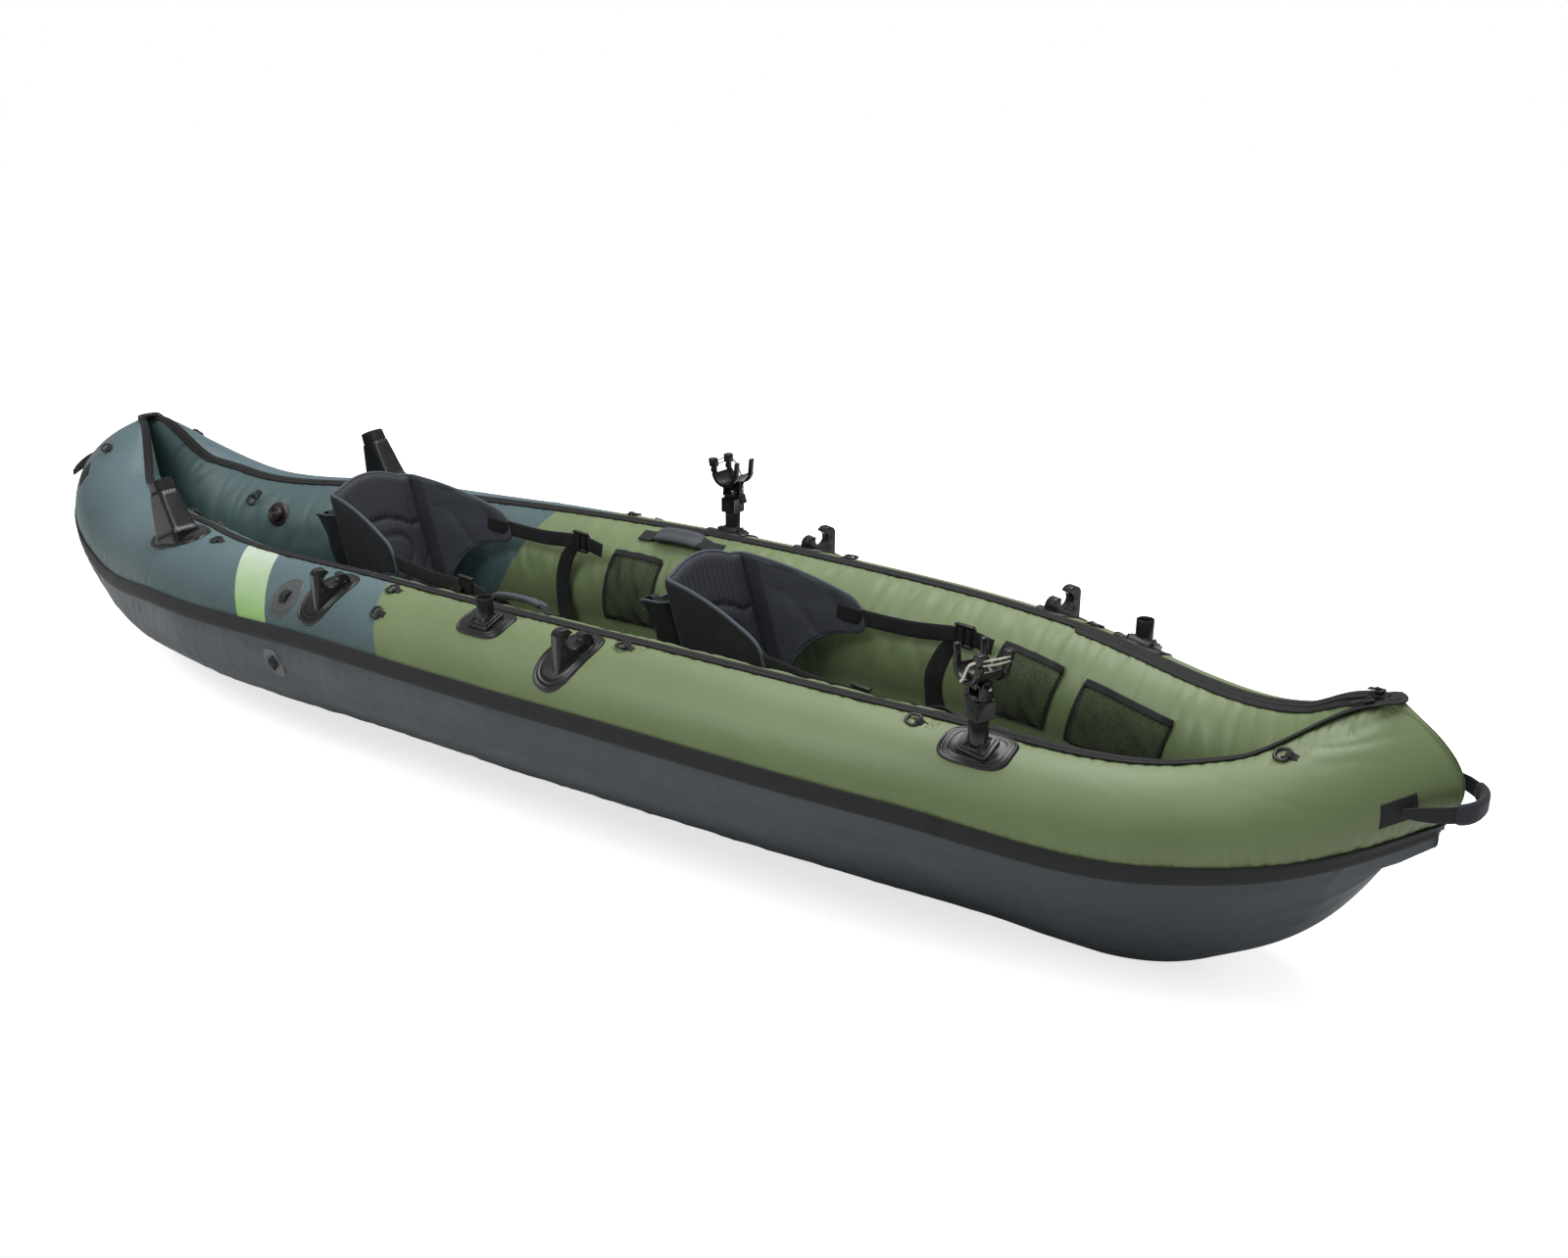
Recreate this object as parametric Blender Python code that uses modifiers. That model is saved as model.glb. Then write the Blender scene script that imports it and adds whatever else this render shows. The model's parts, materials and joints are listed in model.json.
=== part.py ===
"""Two-person inflatable fishing kayak, built from its separate pieces.

Frame: +X towards the bow, +Y to port, +Z up. The origin is under the middle of the
boat, at the height of the lowest point of the bottom. All sizes are in metres.
"""
import math
from types import SimpleNamespace

import bmesh
import bpy
import numpy as np
from mathutils import Matrix, Vector
from mathutils.bvhtree import BVHTree

# Hull lines. A station is a place along the boat: -1 is the stern, +1 the bow.
HALF_LENGTH = 1.62
STATIONS = (-1.0, -0.93, -0.80, -0.55, -0.20, 0.20, 0.55, 0.80, 0.93, 1.0)
HALF_BREADTH = (0.140, 0.205, 0.280, 0.395, 0.430, 0.425, 0.370, 0.257, 0.160, 0.040)
TUBE_HEIGHT = (0.382, 0.310, 0.234, 0.238, 0.270, 0.292, 0.302, 0.302, 0.362, 0.402)
KEEL_HEIGHT = (0.382, 0.042, 0.0, 0.0, 0.0, 0.0, 0.0, 0.047, 0.212, 0.402)
TUBE_STATIONS = (-1.0, -0.8, -0.4, 0.4, 0.8, 1.0)
TUBE_RADIUS = (0.120, 0.145, 0.137, 0.127, 0.108, 0.112)
SEAM_STATIONS = (-1.0, -0.7, 0.0, 0.7, 1.0)
ZIP_ANGLE = (100.0, 103.0, 93.0, 93.0, 96.0)
SEAM_ANGLE = (-14.0, 7.0, 12.0, -6.0, -30.0)
STEM_SETBACK_STERN = 0.15
STEM_SETBACK_BOW = 0.10
STEM_ROUNDING = 30
STEM_HALF_BREADTH = 0.008
BILGE_ANGLE = -50.0
FLAT_HALF_WIDTH = 0.060

# Fabric and clearances
GAP = 0.0003
COVER_THICKNESS = 0.0012
BOTTOM_THICKNESS = 0.0015
SEAM_SLIT_DEG = 0.15
CHAMBER_INSET = 0.006
CHAMBER_TIP_INSET = 0.020
INNER_FOOT_ANGLE = 205.0
FLOOR_TOP = 0.095
FLOOR_END = 0.80
CHAMBER_END = 0.93
COCKPIT_END = 0.97
FLOOR_BREADTH_SHARE = 0.47
STRIP_HALF_WIDTH = 0.015
STRIP_THICKNESS = 0.0025
ZIP_HALF_WIDTH = 0.012
ZIP_THICKNESS = 0.0030
STRIP_GAP = 0.0008
ZIP_GAP = 0.0014
ZIP_PEAK = 0.004
ZIP_LIFT = 0.002
SLIT = 0.0006
OVERCUT = 0.02

# How finely the lofts are divided
HALF_STATION_COUNT = 12
OUTER_FACETS = 6
INNER_FACETS = 5
ARC_FACETS = 3
BEZIER_FACETS = 3
CHAMBER_SIDES = 14

SIDE_NAMES = {-1: "starboard", 1: "port"}

# Fittings: place along the boat (m) and angle round the tube (degrees)
RINGS = {
    "stern": (-1.540, 66.0),
    "aft": (-0.814, 84.0),
    "mid_aft": (-0.215, 79.0),
    "seam": (-0.195, 52.0),
    "mid": (0.353, 79.0),
    "mid_forward": (0.903, 77.0),
    "bow": (1.455, 73.0),
}
ROD_MOUNTS = {"aft": (0.045, 70.0), "forward": (1.005, 68.0)}
ROD_HOLDERS = {"starboard": "forward", "port": "aft"}
PADDLE_CLIPS = {"starboard": (-0.367, 0.260), "port": (0.260, 0.830)}
PADDLE_CLIP_ANGLE = 60.0
PADDLE_CLIP_PAD_ANGLE = 56.0
MOTOR_MOUNT_PLACE = (-0.955, 71.0)
VALVE_PLACE = (-1.115, 146.0)

# Welded pads: (share of the outline, height) from the skirt under the fabric to the middle
PAD_PROFILE = ((1.0, -0.007), (1.0, 0.0012), (0.93, 0.0030), (0.80, 0.0020), (0.62, 0.0032))
PAD_SIDES = 16
PAD_SQUARENESS = 0.8

# Lashing rings
RING_WIDTH = 0.027
RING_REACH = 0.023
RING_BAR = 0.004
RING_BAR_HEIGHT = 0.0045
TAB_HALF_WIDTH = 0.0075

# Rod mounts and rod holders
PAD_HALF_LENGTH = 0.058
PAD_HALF_WIDTH = 0.037
PLINTH_SIDE = 0.054
PLINTH_HEIGHT = 0.013
PLINTH_DEPTH = 0.03
POST_RADIUS = 0.0155
POST_HEIGHT = 0.046
POST_BORE = 0.0126
BORE_DEPTH = 0.040
SHANK_RADIUS = 0.0121
SHANK_DEPTH = 0.036
BLOCK_SIDE = 0.034
BLOCK_HEIGHT = 0.030
HOLDER_YAW = {-1: math.radians(-25.0), 1: math.radians(180.0)}
TILT_HEIGHT = 0.022
TABLE_RADIUS = 0.0175
TABLE_HEIGHT = 0.008
EAR_OFFSET = 0.0145
EAR_THICKNESS = 0.005
PIVOT_RADIUS = 0.0045
TROUGH_RADIUS = 0.027
TROUGH_LIFT = 0.0075
TROUGH_WALL = 0.0045
TROUGH_LENGTH = 0.058
PRONG_RADIUS = 0.0045
PRONG_HEIGHT = 0.030

# Motor mounts
MOTOR_PAD_HALF_LENGTH = 0.080
MOTOR_PAD_HALF_WIDTH = 0.040
MOTOR_LEAN = 0.42
CONE_FOOT_RADIUS = 0.052
CONE_TOP_RADIUS = 0.026
CONE_DEPTH = 0.035
CONE_HEIGHT = 0.095
CONE_SIDES = 8
COLLAR_RADIUS = 0.0245
COLLAR_FOOT = 0.07
MOTOR_HEIGHT = 0.120
MOTOR_BORE_RADIUS = 0.0175
MOTOR_BORE_FLOOR = 0.045
MOTOR_BORE_SIDES = 12

# Paddle clips
CLIP_PAD_HALF_LENGTH = 0.036
CLIP_PAD_HALF_WIDTH = 0.060
CLIP_THICKNESS = 0.026
CLIP_NOTCH = (-0.002, 0.027)
CLIP_NOTCH_RADIUS = 0.0145
CLIP_JAW = ((-0.036, -0.05), (0.036, -0.04), (0.036, 0.022), (0.030, 0.032), (0.017, 0.036))
CLIP_HORN = ((-0.008, 0.052), (-0.016, 0.058), (-0.030, 0.056), (-0.036, 0.046))

# Valves
VALVE_BOSS_RADIUS = 0.026
VALVE_BOSS_HEIGHT = 0.0040
VALVE_CAP_RADII = (0.019, 0.0172)
VALVE_CAP_HEIGHT = 0.011
VALVE_CAP_POINTS = 16

# Seats: x of the hinge line at the foot of each backrest
SEATS = {"rear": -0.572, "front": 0.350}
BACK_HINGE_HEIGHT = 0.140
BACK_RECLINE = math.radians(17.5)
BACK_TOP = 0.488
BACK_PANEL_HALF = 0.080
BACK_CORNER = 0.030
WING_LENGTH = 0.203
WING_FLARE = 0.034
WING_TIP_LOW = 0.352
WING_TIP_HIGH = 0.430
BACK_PADDING = 0.011
BACK_CROWN = 0.020
CUSHION_HALF_WIDTH = 0.132
CUSHION_LENGTH = 0.360
CUSHION_THICKNESS = 0.058
CUSHION_EDGE = 0.010
STRAP_WIDTH = 0.026
STRAP_THICKNESS = 0.0018
STRAP_PATH = ((0.0095, 0.0, 0.381), (0.070, 0.003, 0.382), (0.170, 0.008, 0.389), (0.235, 0.011, 0.391))

HANDLE_HEIGHT = {"bow": 0.392, "stern": 0.390}
HANDLE_PATH = {
    "bow": ((1.530, 0.1285), (1.572, 0.095), (1.625, 0.066), (1.655, 0.034), (1.662, 0.0)),
    "stern": ((1.532, 0.1730), (1.580, 0.130), (1.620, 0.084), (1.652, 0.040), (1.662, 0.0)),
}
HANDLE_HALF_WIDTH = (0.006, 0.012, 0.015, 0.015, 0.015)
HANDLE_THICKNESS = 0.003

COLOURS = {
    "tarpaulin": ((0.045, 0.058, 0.066), 0.35, 0.0),
    "webbing": ((0.022, 0.023, 0.026), 0.75, 0.0),
    "bladder": ((0.160, 0.170, 0.180), 0.40, 0.0),
    "moulded_plastic": ((0.015, 0.015, 0.017), 0.22, 0.0),
    "seat_fabric": ((0.030, 0.033, 0.045), 0.70, 0.0),
    "cover_fabric": ((0.170, 0.235, 0.095), 0.60, 0.0),
}


def clear_scene():
    for old in list(bpy.data.objects):
        bpy.data.objects.remove(old, do_unlink=True)


def new_collection(name):
    collection = bpy.data.collections.new(name)
    bpy.context.scene.collection.children.link(collection)
    return collection


clear_scene()
PARTS = new_collection("fishing_kayak")
CUTTERS = new_collection("cutters")


def make_material(name):
    colour, roughness, metallic = COLOURS[name]
    material = bpy.data.materials.get(name)
    if material is None:
        material = bpy.data.materials.new(name)
        material.use_nodes = True
        shader = material.node_tree.nodes["Principled BSDF"]
        shader.inputs["Base Color"].default_value = (*colour, 1.0)
        shader.inputs["Roughness"].default_value = roughness
        shader.inputs["Metallic"].default_value = metallic
    return material


# Hull geometry

def smooth(stations, values, t):
    """Smooth curve through the given station values, read at t."""
    count = len(stations)
    slopes = [(values[i + 1] - values[i]) / (stations[i + 1] - stations[i]) for i in range(count - 1)]
    spans = [stations[i + 1] - stations[i] for i in range(count - 1)]
    tangents = [0.0] * count
    for i in range(1, count - 1):
        weight = spans[i - 1] + spans[i]
        tangents[i] = (slopes[i - 1] * spans[i] + slopes[i] * spans[i - 1]) / weight
    tangents[0] = 1.5 * slopes[0] - 0.5 * tangents[1]
    tangents[-1] = 1.5 * slopes[-1] - 0.5 * tangents[-2]
    i = min(max(sum(1 for s in stations if s <= t) - 1, 0), count - 2)
    w = (t - stations[i]) / spans[i]
    return ((1 + 2 * w) * (1 - w) ** 2 * values[i]
            + w * (1 - w) ** 2 * spans[i] * tangents[i]
            + w * w * (3 - 2 * w) * values[i + 1]
            + w * w * (w - 1) * spans[i] * tangents[i + 1])


def section(t):
    """Widths and heights of the hull's cross-section at station t."""
    rounding = math.sqrt(max(1.0 - abs(t) ** STEM_ROUNDING, 0.0))
    breadth = max(smooth(STATIONS, HALF_BREADTH, t) * rounding, STEM_HALF_BREADTH)
    tall = smooth(TUBE_STATIONS, TUBE_RADIUS, t)
    wide = (tall ** -6 + (0.5 * breadth) ** -6) ** (-1 / 6)
    centre_z = smooth(STATIONS, TUBE_HEIGHT, t)
    bilge_z = centre_z + tall * math.sin(math.radians(BILGE_ANGLE))
    return SimpleNamespace(
        t=t,
        breadth=breadth,
        tall=tall,
        wide=wide,
        centre_y=breadth - wide,
        centre_z=centre_z,
        keel=min(max(smooth(STATIONS, KEEL_HEIGHT, t), 0.0), bilge_z - 0.002),
        zip=smooth(SEAM_STATIONS, ZIP_ANGLE, t),
        seam=smooth(SEAM_STATIONS, SEAM_ANGLE, t),
    )


def stem_x(t, angle):
    """Position along the boat, with the ends set back towards their tops."""
    setback = STEM_SETBACK_BOW if t > 0 else STEM_SETBACK_STERN
    return HALF_LENGTH * t - math.copysign(setback * abs(t) ** 8 * math.sin(math.radians(angle)) ** 2, t)


def tube_point(t, angle, side, inset=0.0, cut=None):
    """Point on a side tube: angle 0 faces outboard and 90 straight up. side is -1 or +1."""
    cut = cut or section(t)
    turn = math.radians(angle)
    y = cut.centre_y + (cut.wide - inset) * math.cos(turn)
    z = cut.centre_z + (cut.tall - inset) * math.sin(turn)
    return Vector((stem_x(t, angle), side * y, z))


def spread(low, high, count):
    return [low + (high - low) * i / count for i in range(count + 1)]


def hull_stations(limit=1.0):
    """Stations from stern to bow, closer together towards the ends."""
    even = spread(-1.0, 1.0, 2 * HALF_STATION_COUNT)
    curved = [math.sin(0.5 * math.pi * u) for u in even]
    curved = curved[:1] + [-0.998] + curved[1:-1] + [0.998] + curved[-1:]
    inside = [t for t in curved if abs(t) <= limit]
    return inside


def bottom_profile(t):
    """Half of the bottom's section, from the side seam to the keel line, as (y, z)."""
    cut = section(t)
    points = []
    for angle in spread(cut.seam - SEAM_SLIT_DEG, BILGE_ANGLE, ARC_FACETS):
        turn = math.radians(angle)
        y = cut.centre_y + cut.wide * math.cos(turn)
        z = cut.centre_z + cut.tall * math.sin(turn)
        points.append((y, z))
    bilge = points[-1]
    turn = math.radians(BILGE_ANGLE)
    slope = cut.tall * math.cos(turn) / (-cut.wide * math.sin(turn))
    flat = min(FLAT_HALF_WIDTH, 0.20 * bilge[0])
    control_y = max(bilge[0] - (bilge[1] - cut.keel) / slope, 0.25 * bilge[0])
    for i in range(1, BEZIER_FACETS + 1):
        u = i / BEZIER_FACETS
        y = (1 - u) ** 2 * bilge[0] + 2 * u * (1 - u) * control_y + u * u * flat
        z = (1 - u) ** 2 * bilge[1] + (2 * u * (1 - u) + u * u) * cut.keel
        points.append((y, z))
    points.append((0.0, cut.keel))
    return points


# Mesh building

def add_object(name, mesh, material, collection=None):
    obj = bpy.data.objects.new(name, mesh)
    (collection or PARTS).objects.link(obj)
    if material:
        mesh.materials.append(make_material(material))
    return obj


def mesh_from(bm, name):
    bmesh.ops.recalc_face_normals(bm, faces=bm.faces)
    if bm.calc_volume(signed=True) < 0:
        bmesh.ops.reverse_faces(bm, faces=bm.faces)
    mesh = bpy.data.meshes.new(name)
    bm.to_mesh(mesh)
    bm.free()
    mesh.shade_smooth()
    mesh.set_sharp_from_angle(angle=math.radians(35))
    return mesh


def shell_between(name, outer, inner, cyclic=False):
    """Closed thin body between two grids of points, each a list of rows."""
    bm = bmesh.new()
    out_rows = [[bm.verts.new(p) for p in row] for row in outer]
    in_rows = [[bm.verts.new(p) for p in row] for row in inner]
    count = len(outer)
    last = len(outer[0]) - 1
    pairs = [(i, (i + 1) % count) for i in range(count if cyclic else count - 1)]
    for i, j in pairs:
        for k in range(last):
            bm.faces.new((out_rows[i][k], out_rows[j][k], out_rows[j][k + 1], out_rows[i][k + 1]))
            bm.faces.new((in_rows[i][k], in_rows[i][k + 1], in_rows[j][k + 1], in_rows[j][k]))
        for k in (0, last):
            bm.faces.new((out_rows[i][k], in_rows[i][k], in_rows[j][k], out_rows[j][k]))
    if not cyclic:
        for i in (0, count - 1):
            for k in range(last):
                bm.faces.new((out_rows[i][k], out_rows[i][k + 1], in_rows[i][k + 1], in_rows[i][k]))
    return mesh_from(bm, name)


def solid_through(name, rings, peak=None):
    """Closed body through a row of rings of points, capped at both ends or fanned to a peak."""
    bm = bmesh.new()
    rows = [[bm.verts.new(p) for p in ring] for ring in rings]
    count = len(rings[0])
    for a, b in zip(rows, rows[1:]):
        for k in range(count):
            m = (k + 1) % count
            bm.faces.new((a[k], a[m], b[m], b[k]))
    bm.faces.new(rows[0])
    if peak is None:
        bm.faces.new(rows[-1])
    else:
        top = bm.verts.new(peak)
        for k in range(count):
            bm.faces.new((rows[-1][k], rows[-1][(k + 1) % count], top))
    return mesh_from(bm, name)


def thicken(rows, thickness, cyclic=False):
    """A second grid, moved off the first along its surface normals."""
    count = len(rows)
    moved = []
    for i, row in enumerate(rows):
        ahead = rows[(i + 1) % count] if cyclic or i + 1 < count else row
        behind = rows[i - 1] if cyclic or i > 0 else row
        new_row = []
        for k, point in enumerate(row):
            along = ahead[k] - behind[k]
            across = row[min(k + 1, len(row) - 1)] - row[max(k - 1, 0)]
            new_row.append(point + along.cross(across).normalized() * thickness)
        moved.append(new_row)
    return moved


def frame_matrix(origin, x_axis, z_axis):
    """Local frame with its z along z_axis and its x as near x_axis as it can be."""
    z = z_axis.normalized()
    x = (x_axis - z * x_axis.dot(z)).normalized()
    y = z.cross(x)
    matrix = Matrix((x, y, z)).transposed().to_4x4()
    matrix.translation = origin
    return matrix


def flat_mesh(name, outline, holes=(), thickness=0.002):
    """Flat outline in its own x-y plane with holes, thick along z about zero."""
    curve = bpy.data.curves.new(name, "CURVE")
    curve.dimensions = "2D"
    curve.fill_mode = "BOTH"
    curve.extrude = 0.5 * thickness
    for loop in (outline, *holes):
        spline = curve.splines.new("POLY")
        spline.points.add(len(loop) - 1)
        for point, (x, y) in zip(spline.points, loop):
            point.co = (x, y, 0.0, 1.0)
        spline.use_cyclic_u = True
    guide = bpy.data.objects.new(name, curve)
    CUTTERS.objects.link(guide)
    graph = bpy.context.evaluated_depsgraph_get()
    mesh = bpy.data.meshes.new_from_object(guide.evaluated_get(graph))
    bpy.data.objects.remove(guide, do_unlink=True)
    bm = bmesh.new()
    bm.from_mesh(mesh)
    bmesh.ops.remove_doubles(bm, verts=bm.verts, dist=1e-6)
    bpy.data.meshes.remove(mesh)
    return mesh_from(bm, name)


def tube_along(name, points, radius, sides=6):
    """Round bar along a poly line, with filled ends."""
    curve = bpy.data.curves.new(name, "CURVE")
    curve.dimensions = "3D"
    curve.bevel_depth = radius
    curve.bevel_resolution = max((sides - 4) // 2, 0)
    curve.use_fill_caps = True
    spline = curve.splines.new("POLY")
    spline.points.add(len(points) - 1)
    for point, co in zip(spline.points, points):
        point.co = (*co, 1.0)
    guide = bpy.data.objects.new(name, curve)
    CUTTERS.objects.link(guide)
    graph = bpy.context.evaluated_depsgraph_get()
    mesh = bpy.data.meshes.new_from_object(guide.evaluated_get(graph))
    bpy.data.objects.remove(guide, do_unlink=True)
    bm = bmesh.new()
    bm.from_mesh(mesh)
    bmesh.ops.remove_doubles(bm, verts=bm.verts, dist=1e-6)
    bpy.data.meshes.remove(mesh)
    return mesh_from(bm, name)


def box_mesh(name, low, high):
    bm = bmesh.new()
    bmesh.ops.create_cube(bm, size=1.0)
    size = Vector(high) - Vector(low)
    middle = (Vector(high) + Vector(low)) / 2
    scale = Matrix.Diagonal((*size, 1.0))
    bmesh.ops.transform(bm, matrix=Matrix.Translation(middle) @ scale, verts=bm.verts)
    return mesh_from(bm, name)


def drum_mesh(name, radius, low, high, sides=16, top_radius=None):
    """Cylinder or cone along z from low to high."""
    bm = bmesh.new()
    bmesh.ops.create_cone(bm, cap_ends=True, segments=sides, radius1=radius,
                          radius2=top_radius if top_radius is not None else radius, depth=high - low)
    bmesh.ops.translate(bm, vec=(0, 0, 0.5 * (low + high)), verts=bm.verts)
    return mesh_from(bm, name)


def place(mesh, matrix):
    mesh.transform(matrix)
    return mesh


def cutter(name, mesh):
    obj = bpy.data.objects.new(name, mesh)
    CUTTERS.objects.link(obj)
    obj.hide_render = True
    obj.display_type = "WIRE"
    return obj


def boolean(obj, other, operation):
    """Cut, or join, obj with a shape that is kept in the cutters collection."""
    modifier = obj.modifiers.new(other.name, "BOOLEAN")
    modifier.operation = operation
    modifier.solver = "EXACT"
    modifier.object = other


# Hull pieces

def cover_grid(side, low_angle, high_angle, facets, inset):
    rows = []
    for t in hull_stations():
        cut = section(t)
        angles = spread(low_angle(cut), high_angle(cut), facets)
        rows.append([tube_point(t, angle, side, inset, cut) for angle in angles])
    return rows


def keep_off_middle(rows, side, least):
    return [[Vector((p.x, side * max(side * p.y, least), p.z)) for p in row] for row in rows]


def outer_cover(side, name):
    def grid(inset):
        rows = cover_grid(side, lambda c: c.seam + SEAM_SLIT_DEG, lambda c: c.zip, OUTER_FACETS, inset)
        for t, row in zip(hull_stations(), rows):
            if abs(t) > COCKPIT_END:
                row[-1].y = side * GAP
        return rows

    outer = grid(0.0)
    inner = grid(COVER_THICKNESS)
    return add_object(name, shell_between(name, outer, inner), "cover_fabric")


def foot_point(t, side, inset):
    """Where the inner cover's skirt ends, on the floor or just under the tube."""
    cut = section(t)
    start = tube_point(t, INNER_FOOT_ANGLE, side, inset, cut)
    blend = min(max((abs(t) - (FLOOR_END - 0.10)) / 0.08, 0.0), 1.0)
    low = FLOOR_TOP + 2 * GAP
    return Vector((start.x, start.y, (1 - blend) * low + blend * (start.z - 0.012)))


def slit_angle(cut):
    """Where the inner cover starts, a little inboard of the outer cover's edge."""
    return cut.zip + math.degrees((SLIT if abs(cut.t) < CHAMBER_END else 8 * SLIT) / cut.wide)


def inner_cover(side, name):
    def grid(inset):
        rows = cover_grid(side, slit_angle, lambda c: INNER_FOOT_ANGLE, INNER_FACETS, inset)
        stations = hull_stations()
        inside = [(t, row) for t, row in zip(stations, rows) if abs(t) < COCKPIT_END]
        return [row + [foot_point(t, side, inset)] for t, row in inside]

    outer = keep_off_middle(grid(0.0), side, GAP)
    inner = keep_off_middle(grid(COVER_THICKNESS), side, GAP + COVER_THICKNESS)
    return add_object(name, shell_between(name, outer, inner), "cover_fabric")


def hull_bottom():
    outer = []
    for t in hull_stations():
        half = bottom_profile(t)
        whole = [(-y, z) for y, z in half] + [(y, z) for y, z in half[-2::-1]]
        cut = section(t)
        x = stem_x(t, cut.seam)
        outer.append([Vector((x, y, z)) for y, z in whole])
    inner = thicken(outer, BOTTOM_THICKNESS)
    return add_object("hull_bottom", shell_between("hull_bottom", outer, inner), "tarpaulin")


def air_chamber(side, name):
    rings = []
    for t in hull_stations(COCKPIT_END):
        cut = section(t)
        inset = CHAMBER_INSET if abs(t) < CHAMBER_END else CHAMBER_TIP_INSET
        angles = [360.0 * k / CHAMBER_SIDES for k in range(CHAMBER_SIDES)]
        rings.append([tube_point(t, angle, side, inset, cut) for angle in angles])
    return add_object(name, solid_through(name, rings), "bladder")


def floor_chamber():
    rings = []
    for t in hull_stations(FLOOR_END):
        cut = section(t)
        top = min(FLOOR_TOP, cut.centre_z - cut.tall - 0.002)
        ys, zs = zip(*sorted(bottom_profile(t)[ARC_FACETS:]))
        half = min(FLOOR_BREADTH_SHARE * cut.breadth, float(np.interp(top - 0.022, zs[1:], ys[1:])))
        x = HALF_LENGTH * t
        low = [float(np.interp(share * half, ys, zs)) + 0.006 for share in (0.0, 0.55, 0.95)]
        right = [(half, top), (half + 0.008, 0.5 * (top + low[2])), (0.95 * half, low[2]),
                 (0.55 * half, low[1])]
        left = [(-y, z) for y, z in reversed(right)]
        rings.append([Vector((x, y, z)) for y, z in right + [(0.0, low[0])] + left])
    return add_object("floor_air_chamber", solid_through("floor_air_chamber", rings), "bladder")


def trim_rows(side, limit, centre_angle, half_width):
    """Strip of the hull's surface from stern to bow, three points wide."""
    rows = []
    for t in hull_stations(limit):
        cut = section(t)
        middle = centre_angle(cut)
        reach = cut.tall if middle < 45 else cut.wide
        half_angle = min(math.degrees(half_width / reach), 20.0)
        angles = (middle - half_angle, middle, middle + half_angle)
        row = [tube_point(t, angle, side, 0.0, cut) for angle in angles]
        row[0].x = stem_x(t, max(middle - half_angle, cut.seam))
        rows.append(row)
    return rows


def zip_turn(end, last):
    """Half of the binding's turn over one end of the boat, from the last row to the middle."""
    crown = tube_point(end, 90.0, -1)
    rows = []
    for turn in (math.radians(35), math.radians(65), math.radians(90)):
        row = []
        for point, ahead in zip(last, (0.008, -0.004, -0.016)):
            blend = math.sin(turn)
            x = point.x + (crown.x + math.copysign(ahead, end) - point.x) * blend
            y = point.y * math.cos(turn)
            z = point.z + (crown.z + ZIP_PEAK - point.z) * min(1.0, 1.75 * blend)
            row.append(Vector((x, y, z)))
        rows.append(row)
    return rows


def trim_loop(name, rows, gap, thickness):
    """A closed band, set off the hull's surface by its gap."""
    inner = thicken(rows, gap, cyclic=True)
    outer = thicken(rows, gap + thickness, cyclic=True)
    return add_object(name, shell_between(name, outer, inner, cyclic=True), "webbing")


def mirrored(rows):
    return [[Vector((p.x, -p.y, p.z)) for p in row] for row in rows[::-1]]


def rub_strip():
    rows = trim_rows(-1, 1.0, lambda c: c.seam, STRIP_HALF_WIDTH)
    return trim_loop("rub_strip", rows + mirrored(rows), STRIP_GAP, STRIP_THICKNESS)


def zip_binding():
    rows = trim_rows(-1, COCKPIT_END, lambda c: c.zip, ZIP_HALF_WIDTH)
    for end, row in ((-1, rows[0]), (1, rows[-1])):
        height = tube_point(0.9914 * end, 90.0, -1).z + ZIP_LIFT
        for point in row:
            point.z = height
    rows = zip_turn(-1, rows[0])[:-1][::-1] + rows + zip_turn(1, rows[-1])
    other = mirrored(rows[:-1])
    rows = rows + other + [zip_turn(-1, rows[2])[-1]]
    return trim_loop("zip_binding", rows, ZIP_GAP, ZIP_THICKNESS)


def handle_path(end):
    sign = 1 if end == "bow" else -1
    half = [(sign * x, -sign * y, w) for (x, y), w in zip(HANDLE_PATH[end], HANDLE_HALF_WIDTH)]
    return half + [(x, -y, w) for x, y, w in half[-2::-1]]


def carry_handle(end):
    """Webbing loop round one end of the boat."""
    name = end + "_handle"
    z = HANDLE_HEIGHT[end]
    rows = [[Vector((x, y, z - w)), Vector((x, y, z + w))] for x, y, w in handle_path(end)]
    outer = thicken(rows, HANDLE_THICKNESS)
    return add_object(name, shell_between(name, outer, rows), "webbing")


# Fittings on the tubes

def tube_cutter(side, name):
    """The side tube grown by the running gap, for the undersides of what sits on it."""
    rings = []
    for t in hull_stations():
        cut = section(t)
        top = spread(cut.seam + SEAM_SLIT_DEG, cut.zip, OUTER_FACETS)
        rest = spread(cut.zip, cut.seam + SEAM_SLIT_DEG + 360.0, 10)[1:-1]
        rings.append([tube_point(t, angle, side, -GAP, cut) for angle in top + rest])
    return cutter(name, solid_through(name, rings))


def surface_frame(cover, x, angle, side):
    """Frame on the cover's real facet: z out of the facet, x forward to starboard and aft to port."""
    t = x / HALF_LENGTH
    outside = tube_point(t, angle, side, -0.05)
    inward = (tube_point(t, angle, side, 0.05) - outside).normalized()
    graph = bpy.context.evaluated_depsgraph_get()
    tree = BVHTree.FromObject(cover, graph)
    hit, normal, _, _ = tree.ray_cast(outside, inward)
    if normal.dot(inward) > 0:
        normal = -normal
    return frame_matrix(hit, Vector((-side, 0, 0)), normal)


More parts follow.
